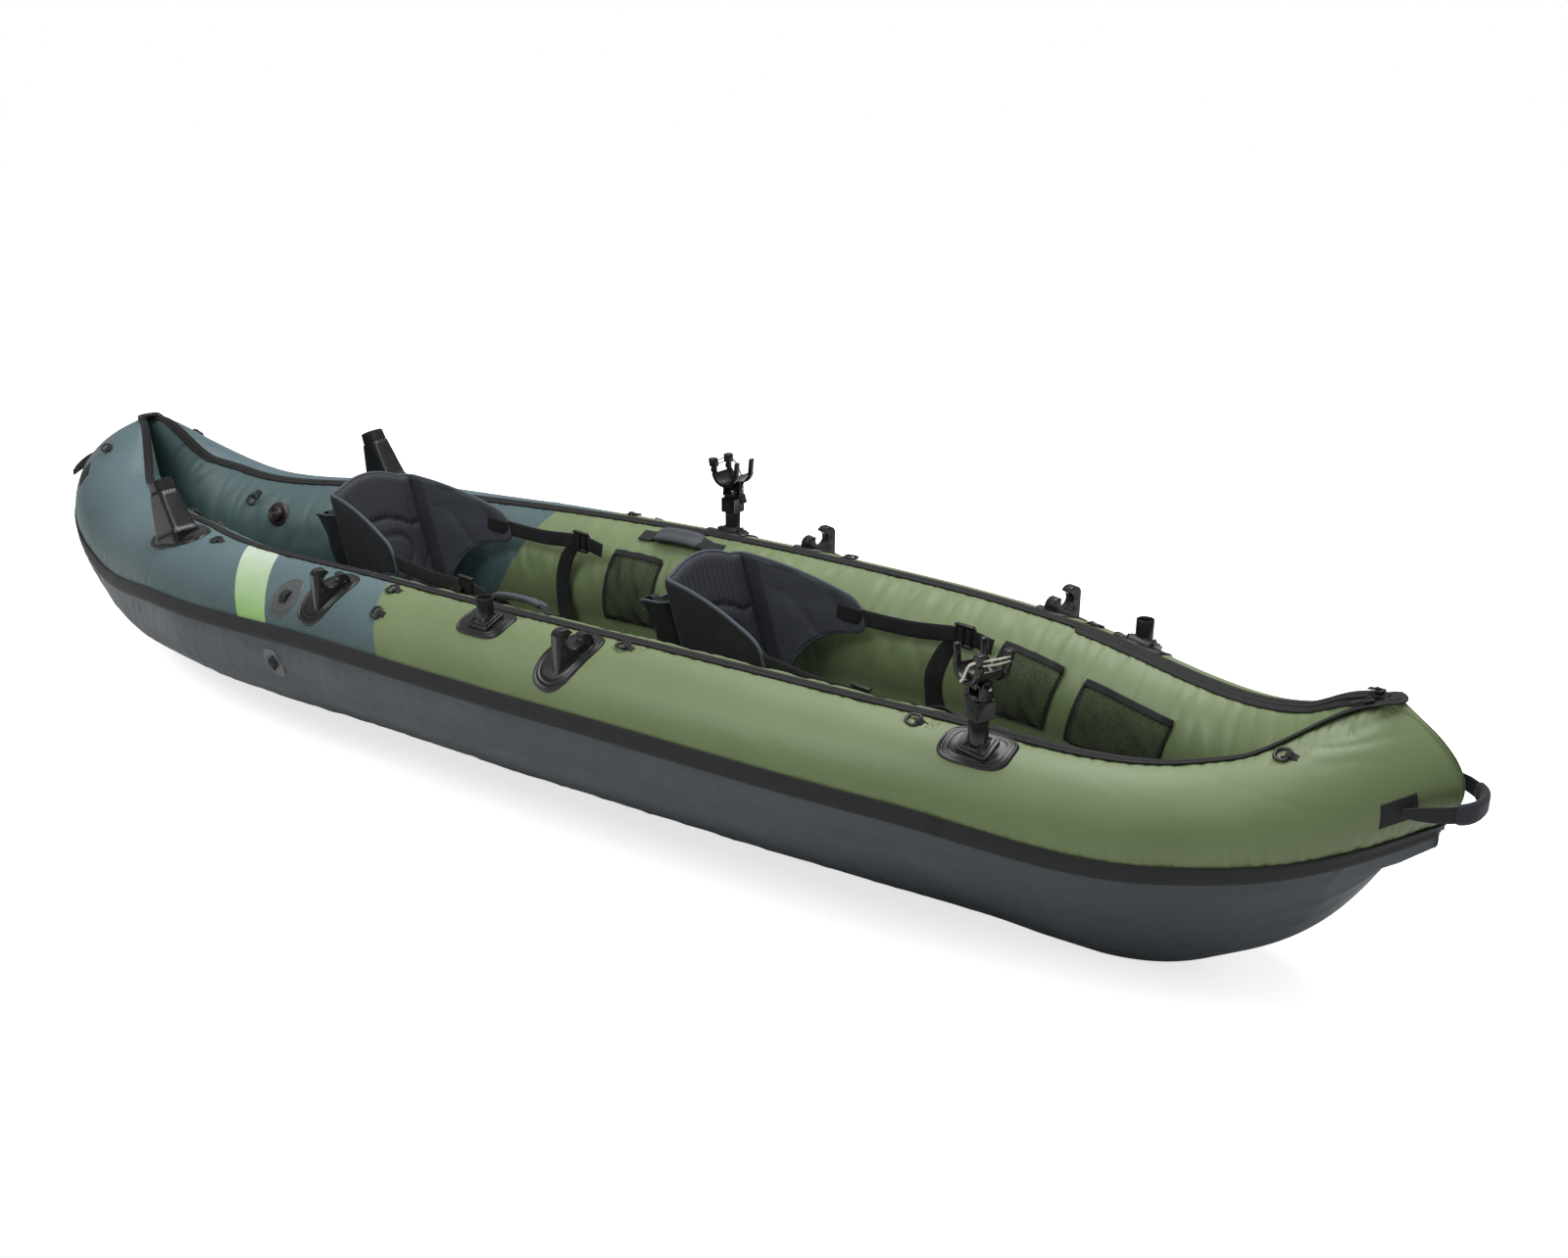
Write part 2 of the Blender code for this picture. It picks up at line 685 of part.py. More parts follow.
def pad_mesh(name, x, angle, side, half_length, half_width):
    """Oval pad wrapped round the tube."""
    t = x / HALF_LENGTH
    radius = section(t).tall
    rings = []
    for share, height in PAD_PROFILE:
        ring = []
        for k in range(PAD_SIDES):
            turn = 2 * math.pi * k / PAD_SIDES
            cosine = math.copysign(abs(math.cos(turn)) ** PAD_SQUARENESS, math.cos(turn))
            sine = math.copysign(abs(math.sin(turn)) ** PAD_SQUARENESS, math.sin(turn))
            along = cosine * half_length * share
            round_ = sine * half_width * share
            here = angle + math.degrees(round_ / radius)
            ring.append(tube_point(t + along / HALF_LENGTH, here, side, -height))
        rings.append(ring)
    return solid_through(name, rings, tube_point(t, angle, side, -PAD_PROFILE[-1][1]))


def lashing_tab(name, frame):
    """Webbing tab with a keeper for the ring's bar, as its side outline pulled sideways."""
    outline = ((-0.022, -0.0008), (0.022, -0.0008), (0.022, 0.0014), (0.0056, 0.0014), (0.0044, 0.0090),
               (-0.0044, 0.0090), (-0.0056, 0.0014), (-0.022, 0.0014))
    slot = ((-0.0034, 0.0011), (0.0034, 0.0011), (0.0034, 0.0079), (-0.0034, 0.0079))
    mesh = flat_mesh(name, outline, (slot,), 2 * TAB_HALF_WIDTH)
    upright = Matrix(((1, 0, 0, 0), (0, 0, -1, 0), (0, 1, 0, 0), (0, 0, 0, 1)))
    return cutter(name, place(mesh, frame @ upright))


def lashing_ring(name, frame):
    """Flat moulded D-ring, lying on the -x side of its bar; its origin is on the bar."""
    half = RING_WIDTH / 2
    reach = RING_REACH
    bar = RING_BAR / 2
    outline = ((bar, -half + 0.003), (bar, half - 0.003), (0.0, half), (-0.55 * reach, half),
               (-0.85 * reach, half - 0.004), (-reach, half - 0.010), (-reach, -half + 0.010),
               (-0.85 * reach, -half + 0.004), (-0.55 * reach, -half), (0.0, -half))
    inner = half - 0.0042
    hole = ((-bar, -inner), (-bar, inner), (-0.55 * reach, inner), (-0.8 * reach, 0.45 * inner),
            (-0.8 * reach, -0.45 * inner), (-0.55 * reach, -inner))
    mesh = flat_mesh(name, outline, (hole,), RING_BAR)
    obj = add_object(name, mesh, "moulded_plastic")
    obj.matrix_world = frame @ Matrix.Translation((0, 0, RING_BAR_HEIGHT))
    return obj


def rod_mount(side, label, place_, cut_tube):
    """Welded pad, square plinth and post tube with its bore."""
    x, angle = place_
    side_name = SIDE_NAMES[side]
    name = "rod_mount_" + side_name + "_" + label
    base = mount_base(side, label)
    pad = pad_mesh(name, x, angle, side, PAD_HALF_LENGTH, PAD_HALF_WIDTH)
    obj = add_object(name, pad, "moulded_plastic")
    half = PLINTH_SIDE / 2
    upright = Matrix.Translation(base)
    plinth = box_mesh(name + "_plinth", (-half, -half, -PLINTH_DEPTH), (half, half, PLINTH_HEIGHT))
    post = drum_mesh(name + "_post", POST_RADIUS, 0.0, POST_HEIGHT)
    bore = drum_mesh(name + "_bore", POST_BORE, POST_HEIGHT - BORE_DEPTH, POST_HEIGHT + OVERCUT)
    boolean(obj, cutter(plinth.name, place(plinth, upright)), "UNION")
    boolean(obj, cutter(post.name, place(post, upright)), "UNION")
    boolean(obj, cut_tube, "DIFFERENCE")
    boolean(obj, cutter(bore.name, place(bore, upright)), "DIFFERENCE")
    return obj


def mount_base(side, label):
    """Point on the tube's surface that a rod mount's post stands over."""
    x, angle = ROD_MOUNTS[label]
    return tube_point(x / HALF_LENGTH, angle, side)


def motor_mount(side, cut_tube):
    """Oval pad with a tapered socket that leans aft."""
    x, angle = MOTOR_MOUNT_PLACE
    name = "motor_mount_" + SIDE_NAMES[side]
    pad = pad_mesh(name, x, angle, side, MOTOR_PAD_HALF_LENGTH, MOTOR_PAD_HALF_WIDTH)
    obj = add_object(name, pad, "moulded_plastic")
    base = tube_point(x / HALF_LENGTH, angle, side)
    aft_up = Vector((-math.sin(MOTOR_LEAN), 0, math.cos(MOTOR_LEAN)))
    lean = frame_matrix(base, Vector((1, 0, 0)), aft_up)
    cone = drum_mesh(name + "_cone", CONE_FOOT_RADIUS, -CONE_DEPTH, CONE_HEIGHT, CONE_SIDES, CONE_TOP_RADIUS)
    collar = drum_mesh(name + "_collar", COLLAR_RADIUS, COLLAR_FOOT, MOTOR_HEIGHT, MOTOR_BORE_SIDES)
    bore_top = MOTOR_HEIGHT + OVERCUT
    bore = drum_mesh(name + "_bore", MOTOR_BORE_RADIUS, MOTOR_BORE_FLOOR, bore_top, MOTOR_BORE_SIDES)
    boolean(obj, cutter(cone.name, place(cone, lean)), "UNION")
    boolean(obj, cutter(collar.name, place(collar, lean)), "UNION")
    boolean(obj, cut_tube, "DIFFERENCE")
    boolean(obj, cutter(bore.name, place(bore, lean)), "DIFFERENCE")
    return obj


def paddle_clip(side, number, x, cut_tube):
    """Pad across the tube with an upright clip that is open at its top, inboard side."""
    name = "paddle_clip_" + SIDE_NAMES[side] + "_" + str(number)
    pad = pad_mesh(name, x, PADDLE_CLIP_PAD_ANGLE, side, CLIP_PAD_HALF_LENGTH, CLIP_PAD_HALF_WIDTH)
    obj = add_object(name, pad, "moulded_plastic")
    arc = []
    for step in range(11):
        turn = math.radians(25.0 - step * 28.5)
        arc.append((CLIP_NOTCH[0] + CLIP_NOTCH_RADIUS * math.cos(turn),
                    CLIP_NOTCH[1] + CLIP_NOTCH_RADIUS * math.sin(turn)))
    body = flat_mesh(name + "_body", CLIP_JAW + tuple(arc) + CLIP_HORN, (), CLIP_THICKNESS)
    base = tube_point(x / HALF_LENGTH, PADDLE_CLIP_ANGLE, side)
    inboard = Vector((0, -side, 0))
    up = Vector((0, 0, 1))
    frame = Matrix((inboard, up, inboard.cross(up))).transposed().to_4x4()
    frame.translation = base
    boolean(obj, cutter(body.name, place(body, frame)), "UNION")
    boolean(obj, cut_tube, "DIFFERENCE")
    return obj


# Rod holders

def holder_frame(side):
    """Frame on top of the rod mount's post, turned with the holder."""
    top = mount_base(side, ROD_HOLDERS[SIDE_NAMES[side]]) + Vector((0, 0, POST_HEIGHT))
    return Matrix.Translation(top) @ Matrix.Rotation(HOLDER_YAW[side], 4, "Z")


def holder_shank(side, frame):
    """Round shank in the mount's bore, with the square block that rests on the post."""
    name = "rod_holder_shank_" + SIDE_NAMES[side]
    shank = drum_mesh(name, SHANK_RADIUS, -SHANK_DEPTH, 0.010)
    obj = add_object(name, place(shank, frame), "moulded_plastic")
    half = BLOCK_SIDE / 2
    block = box_mesh(name + "_block", (-half, -half, GAP), (half, half, GAP + BLOCK_HEIGHT))
    boolean(obj, cutter(block.name, place(block, frame)), "UNION")
    return obj


def holder_head(side, frame):
    """Turntable with two ears and the pivot pin's bore."""
    name = "rod_holder_head_" + SIDE_NAMES[side]
    base = BLOCK_HEIGHT + 2 * GAP
    table = drum_mesh(name, TABLE_RADIUS, base, base + TABLE_HEIGHT)
    obj = add_object(name, place(table, frame), "moulded_plastic")
    low = TILT_HEIGHT + 0.002
    high = TILT_HEIGHT + 0.008
    ear = [(-0.011, 0.004), (0.011, 0.004), (0.009, low), (0.005, high), (-0.005, high), (-0.009, low)]
    turns = [k * math.pi / 4 for k in range(8)]
    hole = [(PIVOT_RADIUS * math.cos(a), TILT_HEIGHT + PIVOT_RADIUS * math.sin(a)) for a in turns]
    standing = Matrix(((0, 0, 1, 0), (1, 0, 0, 0), (0, 1, 0, base), (0, 0, 0, 1)))
    for sign in (-1, 1):
        mesh = flat_mesh(name + "_ear" + str(sign), ear, (hole,), EAR_THICKNESS)
        shift = Matrix.Translation((sign * EAR_OFFSET, 0, 0))
        boolean(obj, cutter(mesh.name, place(mesh, frame @ shift @ standing)), "UNION")
    return obj


def tilt_origin(frame):
    return frame @ Vector((0, 0, BLOCK_HEIGHT + 2 * GAP + TILT_HEIGHT))


def holder_cradle(side, frame):
    """Hub, pivot pin, half-round trough and four prongs."""
    name = "rod_holder_cradle_" + SIDE_NAMES[side]
    pivot = Matrix.Translation(tilt_origin(frame)) @ frame.to_3x3().to_4x4()
    across = Matrix.Rotation(math.pi / 2, 4, "Y")
    hub_half = EAR_OFFSET - EAR_THICKNESS / 2 - 0.0006
    hub = drum_mesh(name, 0.0085, -hub_half, hub_half, 12)
    obj = add_object(name, place(hub, pivot @ across), "moulded_plastic")
    pin_half = EAR_OFFSET + EAR_THICKNESS / 2 + 0.0085
    pin = drum_mesh(name + "_pin", PIVOT_RADIUS - 0.0005, -pin_half, pin_half, 8)
    boolean(obj, cutter(pin.name, place(pin, pivot @ across)), "UNION")
    outer = []
    inner = []
    bed = TROUGH_RADIUS - TROUGH_WALL
    for step in range(9):
        turn = math.radians(200.0 + 140.0 * step / 8)
        outer.append((TROUGH_RADIUS * math.cos(turn), TROUGH_RADIUS * math.sin(turn)))
        inner.append((bed * math.cos(turn), bed * math.sin(turn)))
    trough = flat_mesh(name + "_trough", outer + inner[::-1], (), TROUGH_LENGTH)
    lift = Matrix.Translation((0, 0, TROUGH_RADIUS + TROUGH_LIFT))
    facing = Matrix.Rotation(math.pi / 2, 4, "X")
    boolean(obj, cutter(trough.name, place(trough, pivot @ lift @ facing)), "UNION")
    rim = TROUGH_RADIUS - TROUGH_WALL / 2
    rim_x = rim * math.cos(math.radians(20.0))
    rim_z = TROUGH_RADIUS + TROUGH_LIFT - rim * math.sin(math.radians(20.0))
    for sx in (-1, 1):
        for sy in (-1, 1):
            y = sy * (TROUGH_LENGTH / 2 - 0.007)
            points = [(sx * rim_x, y, rim_z - 0.006), (sx * (rim_x + 0.001), y, rim_z + 0.010),
                      (sx * (rim_x + 0.003), y, rim_z + PRONG_HEIGHT)]
            prong = tube_along(name + "_prong" + str(sx) + str(sy), points, PRONG_RADIUS, 8)
            boolean(obj, cutter(prong.name, place(prong, pivot)), "UNION")
    return obj


def holder_lever(side, frame):
    """Thumb lever that clamps the tilt, on the pin beside the aft ear."""
    name = "rod_holder_lever_" + SIDE_NAMES[side]
    pivot = Matrix.Translation(tilt_origin(frame)) @ frame.to_3x3().to_4x4()
    outline = [(-0.0065, 0.0065), (-0.0065, -0.004), (-0.0060, -0.0205),
               (0.0060, -0.0205), (0.0065, -0.004), (0.0065, 0.0065)]
    hole = [(0.0046 * math.cos(k * math.pi / 4), 0.0046 * math.sin(k * math.pi / 4)) for k in range(8)]
    mesh = flat_mesh(name, outline, (hole,), 0.006)
    standing = Matrix(((0, 0, 1, 0), (1, 0, 0, 0), (0, 1, 0, 0), (0, 0, 0, 1)))
    shift = Matrix.Translation((-(EAR_OFFSET + EAR_THICKNESS / 2 + 0.0006 + 0.003), 0, 0))
    return add_object(name, place(mesh, pivot @ shift @ standing), "moulded_plastic")


# Seats

def seat_cushion(label, hinge_x):
    """Crowned pad with sides that pull in between its corners and two sewn channels."""
    name = "seat_cushion_" + label
    rows_top = []
    rows_low = []
    columns = 12
    lines = 14
    low = FLOOR_TOP + 4 * GAP
    for i in range(lines + 1):
        u = -1 + 2 * i / lines
        top_row = []
        low_row = []
        for k in range(columns + 1):
            v = -1 + 2 * k / columns
            waist_y = 1 - 0.045 * (1 - u * u)
            waist_x = 1 - 0.030 * (1 - v * v)
            x = hinge_x + 0.015 + CUSHION_LENGTH / 2 * (1 + u * waist_x)
            y = CUSHION_HALF_WIDTH * v * waist_y
            fullness = (1 - u ** 6) * (1 - v ** 6)
            channel = 1 - 0.30 * math.exp(-((abs(u) - 0.36) / 0.07) ** 2)
            crown = fullness ** 0.7 * (0.88 + 0.12 * (1 - v * v)) * channel
            height = CUSHION_EDGE + (CUSHION_THICKNESS - CUSHION_EDGE) * crown
            top_row.append(Vector((x, y, low + height)))
            low_row.append(Vector((x, y, low)))
        rows_top.append(top_row)
        rows_low.append(low_row)
    return add_object(name, shell_between(name, rows_top, rows_low), "seat_fabric")


def back_surface(u, v):
    """Middle surface of a backrest from its hinge line: u across, v from foot to top."""
    corner_length = BACK_CORNER * math.pi / 2
    reach = BACK_PANEL_HALF + corner_length + WING_LENGTH
    s = abs(u) * reach
    share = max(s - BACK_PANEL_HALF, 0.0) / (reach - BACK_PANEL_HALF)
    top = BACK_TOP - (BACK_TOP - WING_TIP_HIGH) * share ** 2
    top -= BACK_CROWN * min(s / BACK_PANEL_HALF, 1.0) ** 2
    foot = BACK_HINGE_HEIGHT + 0.004 + (WING_TIP_LOW - BACK_HINGE_HEIGHT - 0.004) * (1 - (1 - share) ** 2.4)
    if s <= BACK_PANEL_HALF:
        forward, y, turn = 0.0, s, 0.0
    elif s <= BACK_PANEL_HALF + corner_length:
        turn = (s - BACK_PANEL_HALF) / BACK_CORNER
        forward = BACK_CORNER * (1 - math.cos(turn))
        y = BACK_PANEL_HALF + BACK_CORNER * math.sin(turn)
    else:
        turn = math.pi / 2
        along = s - BACK_PANEL_HALF - corner_length
        forward = BACK_CORNER + along
        y = BACK_PANEL_HALF + BACK_CORNER + WING_FLARE * (along / WING_LENGTH)
    z = foot + (top - foot) * v
    lean = -(z - BACK_HINGE_HEIGHT) * math.tan(BACK_RECLINE)
    normal = Vector((math.cos(turn), -math.copysign(math.sin(turn), u), 0.0))
    return Vector((forward + lean, math.copysign(y, u), z)), normal


def back_padding(u, v):
    """Half thickness of the padding, drawn in at the edges and along the sewn lines."""
    edge = (1 - abs(u) ** 10) * (1 - abs(2 * v - 1) ** 6)
    half = 0.0035 + (BACK_PADDING - 0.0035) * max(edge, 0.0) ** 0.6
    crease = 0.55 * math.exp(-((abs(u) - 0.30) / 0.022) ** 2)
    line = 0.0
    if abs(u) < 0.30:
        curve = 0.10 * (u / 0.30) ** 2
        line = 0.35 * math.exp(-((v - 0.74 + curve) / 0.035) ** 2)
        line += 0.35 * math.exp(-((v - 0.46 + curve) / 0.035) ** 2)
    return half * (1 - max(crease, line))


def backrest(label, hinge_x):
    """Padded back panel with two wings that sweep forward."""
    name = "backrest_" + label
    front = []
    rear = []
    across = (0.0, 0.11, 0.20, 0.26, 0.30, 0.34, 0.40, 0.52, 0.66, 0.80, 0.92, 1.0)
    us = [-u for u in across[:0:-1]] + list(across)
    for u in us:
        front_row = []
        rear_row = []
        for i in range(13):
            v = i / 12
            point, normal = back_surface(u, v)
            half = back_padding(u, v)
            base = Vector((hinge_x, 0, 0)) + point
            front_row.append(base + normal * half)
            rear_row.append(base - normal * 0.8 * half)
        front.append(front_row)
        rear.append(rear_row)
    return add_object(name, shell_between(name, front, rear), "seat_fabric")


def gear_pocket(label, hinge_x):
    """Open-topped storage bag that hangs on the back of a backrest."""
    name = "gear_pocket_" + label
    rows = []
    for z, depth, half in ((0.212, 0.030, 0.072), (0.250, 0.062, 0.080), (0.340, 0.078, 0.083),
                           (0.412, 0.088, 0.083)):
        lean = -(z - BACK_HINGE_HEIGHT) * math.tan(BACK_RECLINE)
        near = hinge_x + lean - 0.0125
        far = near - depth
        ring = [(near, -half), (near - 0.6 * depth, -half), (far, -0.72 * half), (far - 0.004, 0.0),
                (far, 0.72 * half), (near - 0.6 * depth, half), (near, half)]
        rows.append([Vector((x, y, z)) for x, y in ring])
    bm = bmesh.new()
    grid = [[bm.verts.new(p) for p in row] for row in rows]
    for low, high in zip(grid, grid[1:]):
        for k in range(7):
            m = (k + 1) % 7
            bm.faces.new((low[k], low[m], high[m], high[k]))
    bm.faces.new(grid[0])
    obj = add_object(name, mesh_from(bm, name), "webbing")
    wall = obj.modifiers.new("wall", "SOLIDIFY")
    wall.thickness = 0.002
    wall.offset = 1.0
    wall.use_even_offset = True
    return obj


def strap_route(hinge_x, side):
    """Middle line of a seat strap, from the backrest's wing tip forward to its buckle."""
    lean = -(STRAP_PATH[0][2] - BACK_HINGE_HEIGHT) * math.tan(BACK_RECLINE)
    tip_x = hinge_x + lean + BACK_CORNER + WING_LENGTH
    y = BACK_PANEL_HALF + BACK_CORNER + WING_FLARE
    return [Vector((tip_x + ahead, side * (y + out), z)) for ahead, out, z in STRAP_PATH]


def seat_strap(label, hinge_x, side):
    name = "seat_strap_" + label + "_" + SIDE_NAMES[side]
    up = Vector((0, 0, STRAP_WIDTH / 2))
    rows = [[point - up, point + up] for point in strap_route(hinge_x, side)]
    outer = thicken(rows, STRAP_THICKNESS)
    return add_object(name, shell_between(name, outer, rows), "webbing")


def strap_buckle(label, hinge_x, side):
    """Frame buckle round the end of a seat strap."""
    name = "buckle_" + label + "_" + SIDE_NAMES[side]
    route = strap_route(hinge_x, side)
    centre = route[2].lerp(route[3], 0.65)
    along = (route[3] - route[2]).normalized()
    outline = ((-0.019, -0.006), (0.019, -0.006), (0.019, 0.006), (-0.019, 0.006))
    slot = ((-0.0145, -0.0028), (0.0145, -0.0028), (0.0145, 0.0028), (-0.0145, 0.0028))
    mesh = flat_mesh(name, outline, (slot,), 0.032)
    frame = frame_matrix(centre, Vector((0, 0, 1)), along)
    return add_object(name, place(mesh, frame), "moulded_plastic")


# Valves

def valve_boss(name, frame):
    mesh = drum_mesh(name, VALVE_BOSS_RADIUS, -0.0008, VALVE_BOSS_HEIGHT, 12)
    return cutter(name, place(mesh, frame))


def valve_cap(side, frame):
    name = "valve_cap_" + SIDE_NAMES[side]
    outline = []
    for k in range(VALVE_CAP_POINTS):
        turn = 2 * math.pi * k / VALVE_CAP_POINTS
        radius = VALVE_CAP_RADII[k % 2]
        outline.append((radius * math.cos(turn), radius * math.sin(turn)))
    mesh = flat_mesh(name, outline, (), VALVE_CAP_HEIGHT)
    lift = Matrix.Translation((0, 0, VALVE_BOSS_HEIGHT + GAP + 0.5 * VALVE_CAP_HEIGHT))
    obj = add_object(name, mesh, "moulded_plastic")
    obj.matrix_world = frame @ lift
    return obj


def build():
    hull_bottom()
    floor_chamber()
    rub_strip()
    zip_binding()
    for end in ("bow", "stern"):
        carry_handle(end)
    for side, side_name in SIDE_NAMES.items():
        air_chamber(side, "air_chamber_" + side_name)
        outer = outer_cover(side, "outer_cover_" + side_name)
        inner = inner_cover(side, "inner_cover_" + side_name)
        cut_tube = tube_cutter(side, "tube_cutter_" + side_name)
        frames = {label: surface_frame(outer, x, angle, side) for label, (x, angle) in RINGS.items()}
        for label, frame in frames.items():
            lashing_ring("lashing_ring_" + side_name + "_" + label, frame)
            boolean(outer, lashing_tab("tab_" + side_name + "_" + label, frame), "UNION")
        for label, where in ROD_MOUNTS.items():
            rod_mount(side, label, where, cut_tube)
        motor_mount(side, cut_tube)
        for number, x in enumerate(PADDLE_CLIPS[side_name], 1):
            paddle_clip(side, number, x, cut_tube)
        frame = surface_frame(inner, VALVE_PLACE[0], VALVE_PLACE[1], side)
        valve_cap(side, frame)
        boolean(inner, valve_boss("valve_boss_" + side_name, frame), "UNION")
        holder = holder_frame(side)
        holder_shank(side, holder)
        holder_head(side, holder)
        holder_cradle(side, holder)
        holder_lever(side, holder)
    for label, hinge_x in SEATS.items():
        seat_cushion(label, hinge_x)
        backrest(label, hinge_x)
        gear_pocket(label, hinge_x)
        for side in SIDE_NAMES:
            seat_strap(label, hinge_x, side)
            strap_buckle(label, hinge_x, side)
    bpy.context.view_layer.update()


build()
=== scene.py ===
"""Looks of the two-person inflatable fishing kayak, fitted over its solid parts.

Frame: +X towards the bow, +Y to port, +Z up, in metres.
"""
import functools
import json
import math
from types import SimpleNamespace

import bmesh
import bpy
from mathutils import Matrix, Vector, noise


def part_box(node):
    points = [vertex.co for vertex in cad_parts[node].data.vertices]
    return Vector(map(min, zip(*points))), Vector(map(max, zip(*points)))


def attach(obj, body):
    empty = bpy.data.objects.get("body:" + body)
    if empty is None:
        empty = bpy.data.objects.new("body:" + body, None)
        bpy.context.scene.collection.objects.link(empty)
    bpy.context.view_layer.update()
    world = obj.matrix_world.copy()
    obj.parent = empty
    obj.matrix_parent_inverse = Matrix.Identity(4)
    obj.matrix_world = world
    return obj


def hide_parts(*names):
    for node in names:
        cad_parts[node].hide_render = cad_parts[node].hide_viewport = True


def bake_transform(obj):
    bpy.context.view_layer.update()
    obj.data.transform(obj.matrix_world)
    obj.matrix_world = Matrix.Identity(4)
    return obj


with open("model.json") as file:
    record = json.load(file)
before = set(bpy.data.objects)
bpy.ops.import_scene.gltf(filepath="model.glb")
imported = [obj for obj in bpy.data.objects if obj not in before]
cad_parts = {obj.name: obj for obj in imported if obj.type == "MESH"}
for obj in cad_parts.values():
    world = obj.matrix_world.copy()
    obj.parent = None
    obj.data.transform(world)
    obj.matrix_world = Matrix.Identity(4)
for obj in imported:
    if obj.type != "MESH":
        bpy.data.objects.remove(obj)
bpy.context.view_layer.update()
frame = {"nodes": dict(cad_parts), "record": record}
NODES = frame["nodes"]

# Hull lines. A station is a place along the boat: -1 is the stern, +1 the bow.
HALF_LENGTH = 1.62
STATIONS = (-1.0, -0.93, -0.80, -0.55, -0.20, 0.20, 0.55, 0.80, 0.93, 1.0)
HALF_BREADTH = (0.140, 0.205, 0.280, 0.395, 0.430, 0.425, 0.370, 0.257, 0.160, 0.040)
TUBE_HEIGHT = (0.382, 0.310, 0.234, 0.238, 0.270, 0.292, 0.302, 0.302, 0.362, 0.402)
KEEL_HEIGHT = (0.382, 0.042, 0.0, 0.0, 0.0, 0.0, 0.0, 0.047, 0.212, 0.402)
TUBE_STATIONS = (-1.0, -0.8, -0.4, 0.4, 0.8, 1.0)
TUBE_RADIUS = (0.120, 0.145, 0.137, 0.127, 0.108, 0.112)
SEAM_STATIONS = (-1.0, -0.7, 0.0, 0.7, 1.0)
ZIP_ANGLE = (100.0, 103.0, 93.0, 93.0, 96.0)
SEAM_ANGLE = (-14.0, 7.0, 12.0, -6.0, -30.0)
STEM_SETBACK_STERN = 0.15
STEM_SETBACK_BOW = 0.10
STEM_ROUNDING = 30
STEM_HALF_BREADTH = 0.008
BILGE_ANGLE = -50.0
FLAT_HALF_WIDTH = 0.060
COCKPIT_END = 0.9659
INNER_FOOT_ANGLE = 205.0
FLOOR_TOP = 0.095
FLOOR_END = 0.80
WALL_SHARE = 0.88  # of the inner wall's lines; the rest go down to the floor
COVER_THICKNESS = 0.0012
BOTTOM_COLUMNS = 540
BOTTOM_LINES = 88
BOTTOM_THICKNESS = 0.0015
ZIP_PEAK = 0.004
ZIP_LIFT = 0.002
ZIP_HALF_WIDTH = 0.012
SEAM_HALF_WIDTH = 0.015
RIM_SHIFT_START = 0.79
INNER_COVER_GAP = 0.0006
WIDEST_ANGLE = 20.0  # of a band to either side of its line, in degrees, where the tube is thin
BAND_COLUMNS = 900

SIDES = {"starboard": -1, "port": 1}
RINGS = {
    "stern": (-1.540, 66.0),
    "aft": (-0.814, 84.0),
    "mid_aft": (-0.215, 79.0),
    "seam": (-0.195, 52.0),
    "mid": (0.353, 79.0),
    "mid_forward": (0.903, 77.0),
    "bow": (1.455, 73.0),
}
ROD_MOUNTS = {"aft": (0.045, 70.0), "forward": (1.005, 68.0)}
ROD_HOLDERS = {"starboard": "forward", "port": "aft"}
PADDLE_CLIPS = {"starboard": (-0.367, 0.260), "port": (0.260, 0.830)}
MOTOR_MOUNT = (-0.955, 71.0)
SEATS = {"rear": -0.572, "front": 0.350}

# Cloth colours, as linear base colours. The outer covers' low colours are painted shade low on the tube, and their
# top colours, GREEN among them, are painted light at the crown; the band's top colour is greyed as a painted
# highlight.
GREEN = (0.130, 0.175, 0.076)
GREEN_PAINTED_SHADE = (0.108, 0.150, 0.058)
TEAL_PAINTED_SHADE = (0.042, 0.076, 0.080)
TEAL_PAINTED_LIGHT = (0.072, 0.122, 0.136)
TEAL = (0.050, 0.090, 0.094)
BAND_PAINTED_SHADE = (0.215, 0.370, 0.125)
BAND_PAINTED_HIGHLIGHT = (0.420, 0.500, 0.400)
TARPAULIN = (0.031, 0.041, 0.048)
BLACK_WEBBING = (0.011, 0.0115, 0.012)
NAVY = (0.020, 0.023, 0.030)


# The hull's shape

def smooth(stations, values, t):
    """Smooth curve through the given station values, read at t."""
    count = len(stations)
    slopes = [(values[i + 1] - values[i]) / (stations[i + 1] - stations[i]) for i in range(count - 1)]
    spans = [stations[i + 1] - stations[i] for i in range(count - 1)]
    tangents = [0.0] * count
    for i in range(1, count - 1):
        weight = spans[i - 1] + spans[i]
        tangents[i] = (slopes[i - 1] * spans[i] + slopes[i] * spans[i - 1]) / weight
    tangents[0] = 1.5 * slopes[0] - 0.5 * tangents[1]
    tangents[-1] = 1.5 * slopes[-1] - 0.5 * tangents[-2]
    i = min(max(sum(1 for s in stations if s <= t) - 1, 0), count - 2)
    w = (t - stations[i]) / spans[i]
    return ((1 + 2 * w) * (1 - w) ** 2 * values[i]
            + w * (1 - w) ** 2 * spans[i] * tangents[i]
            + w * w * (3 - 2 * w) * values[i + 1]
            + w * w * (w - 1) * spans[i] * tangents[i + 1])


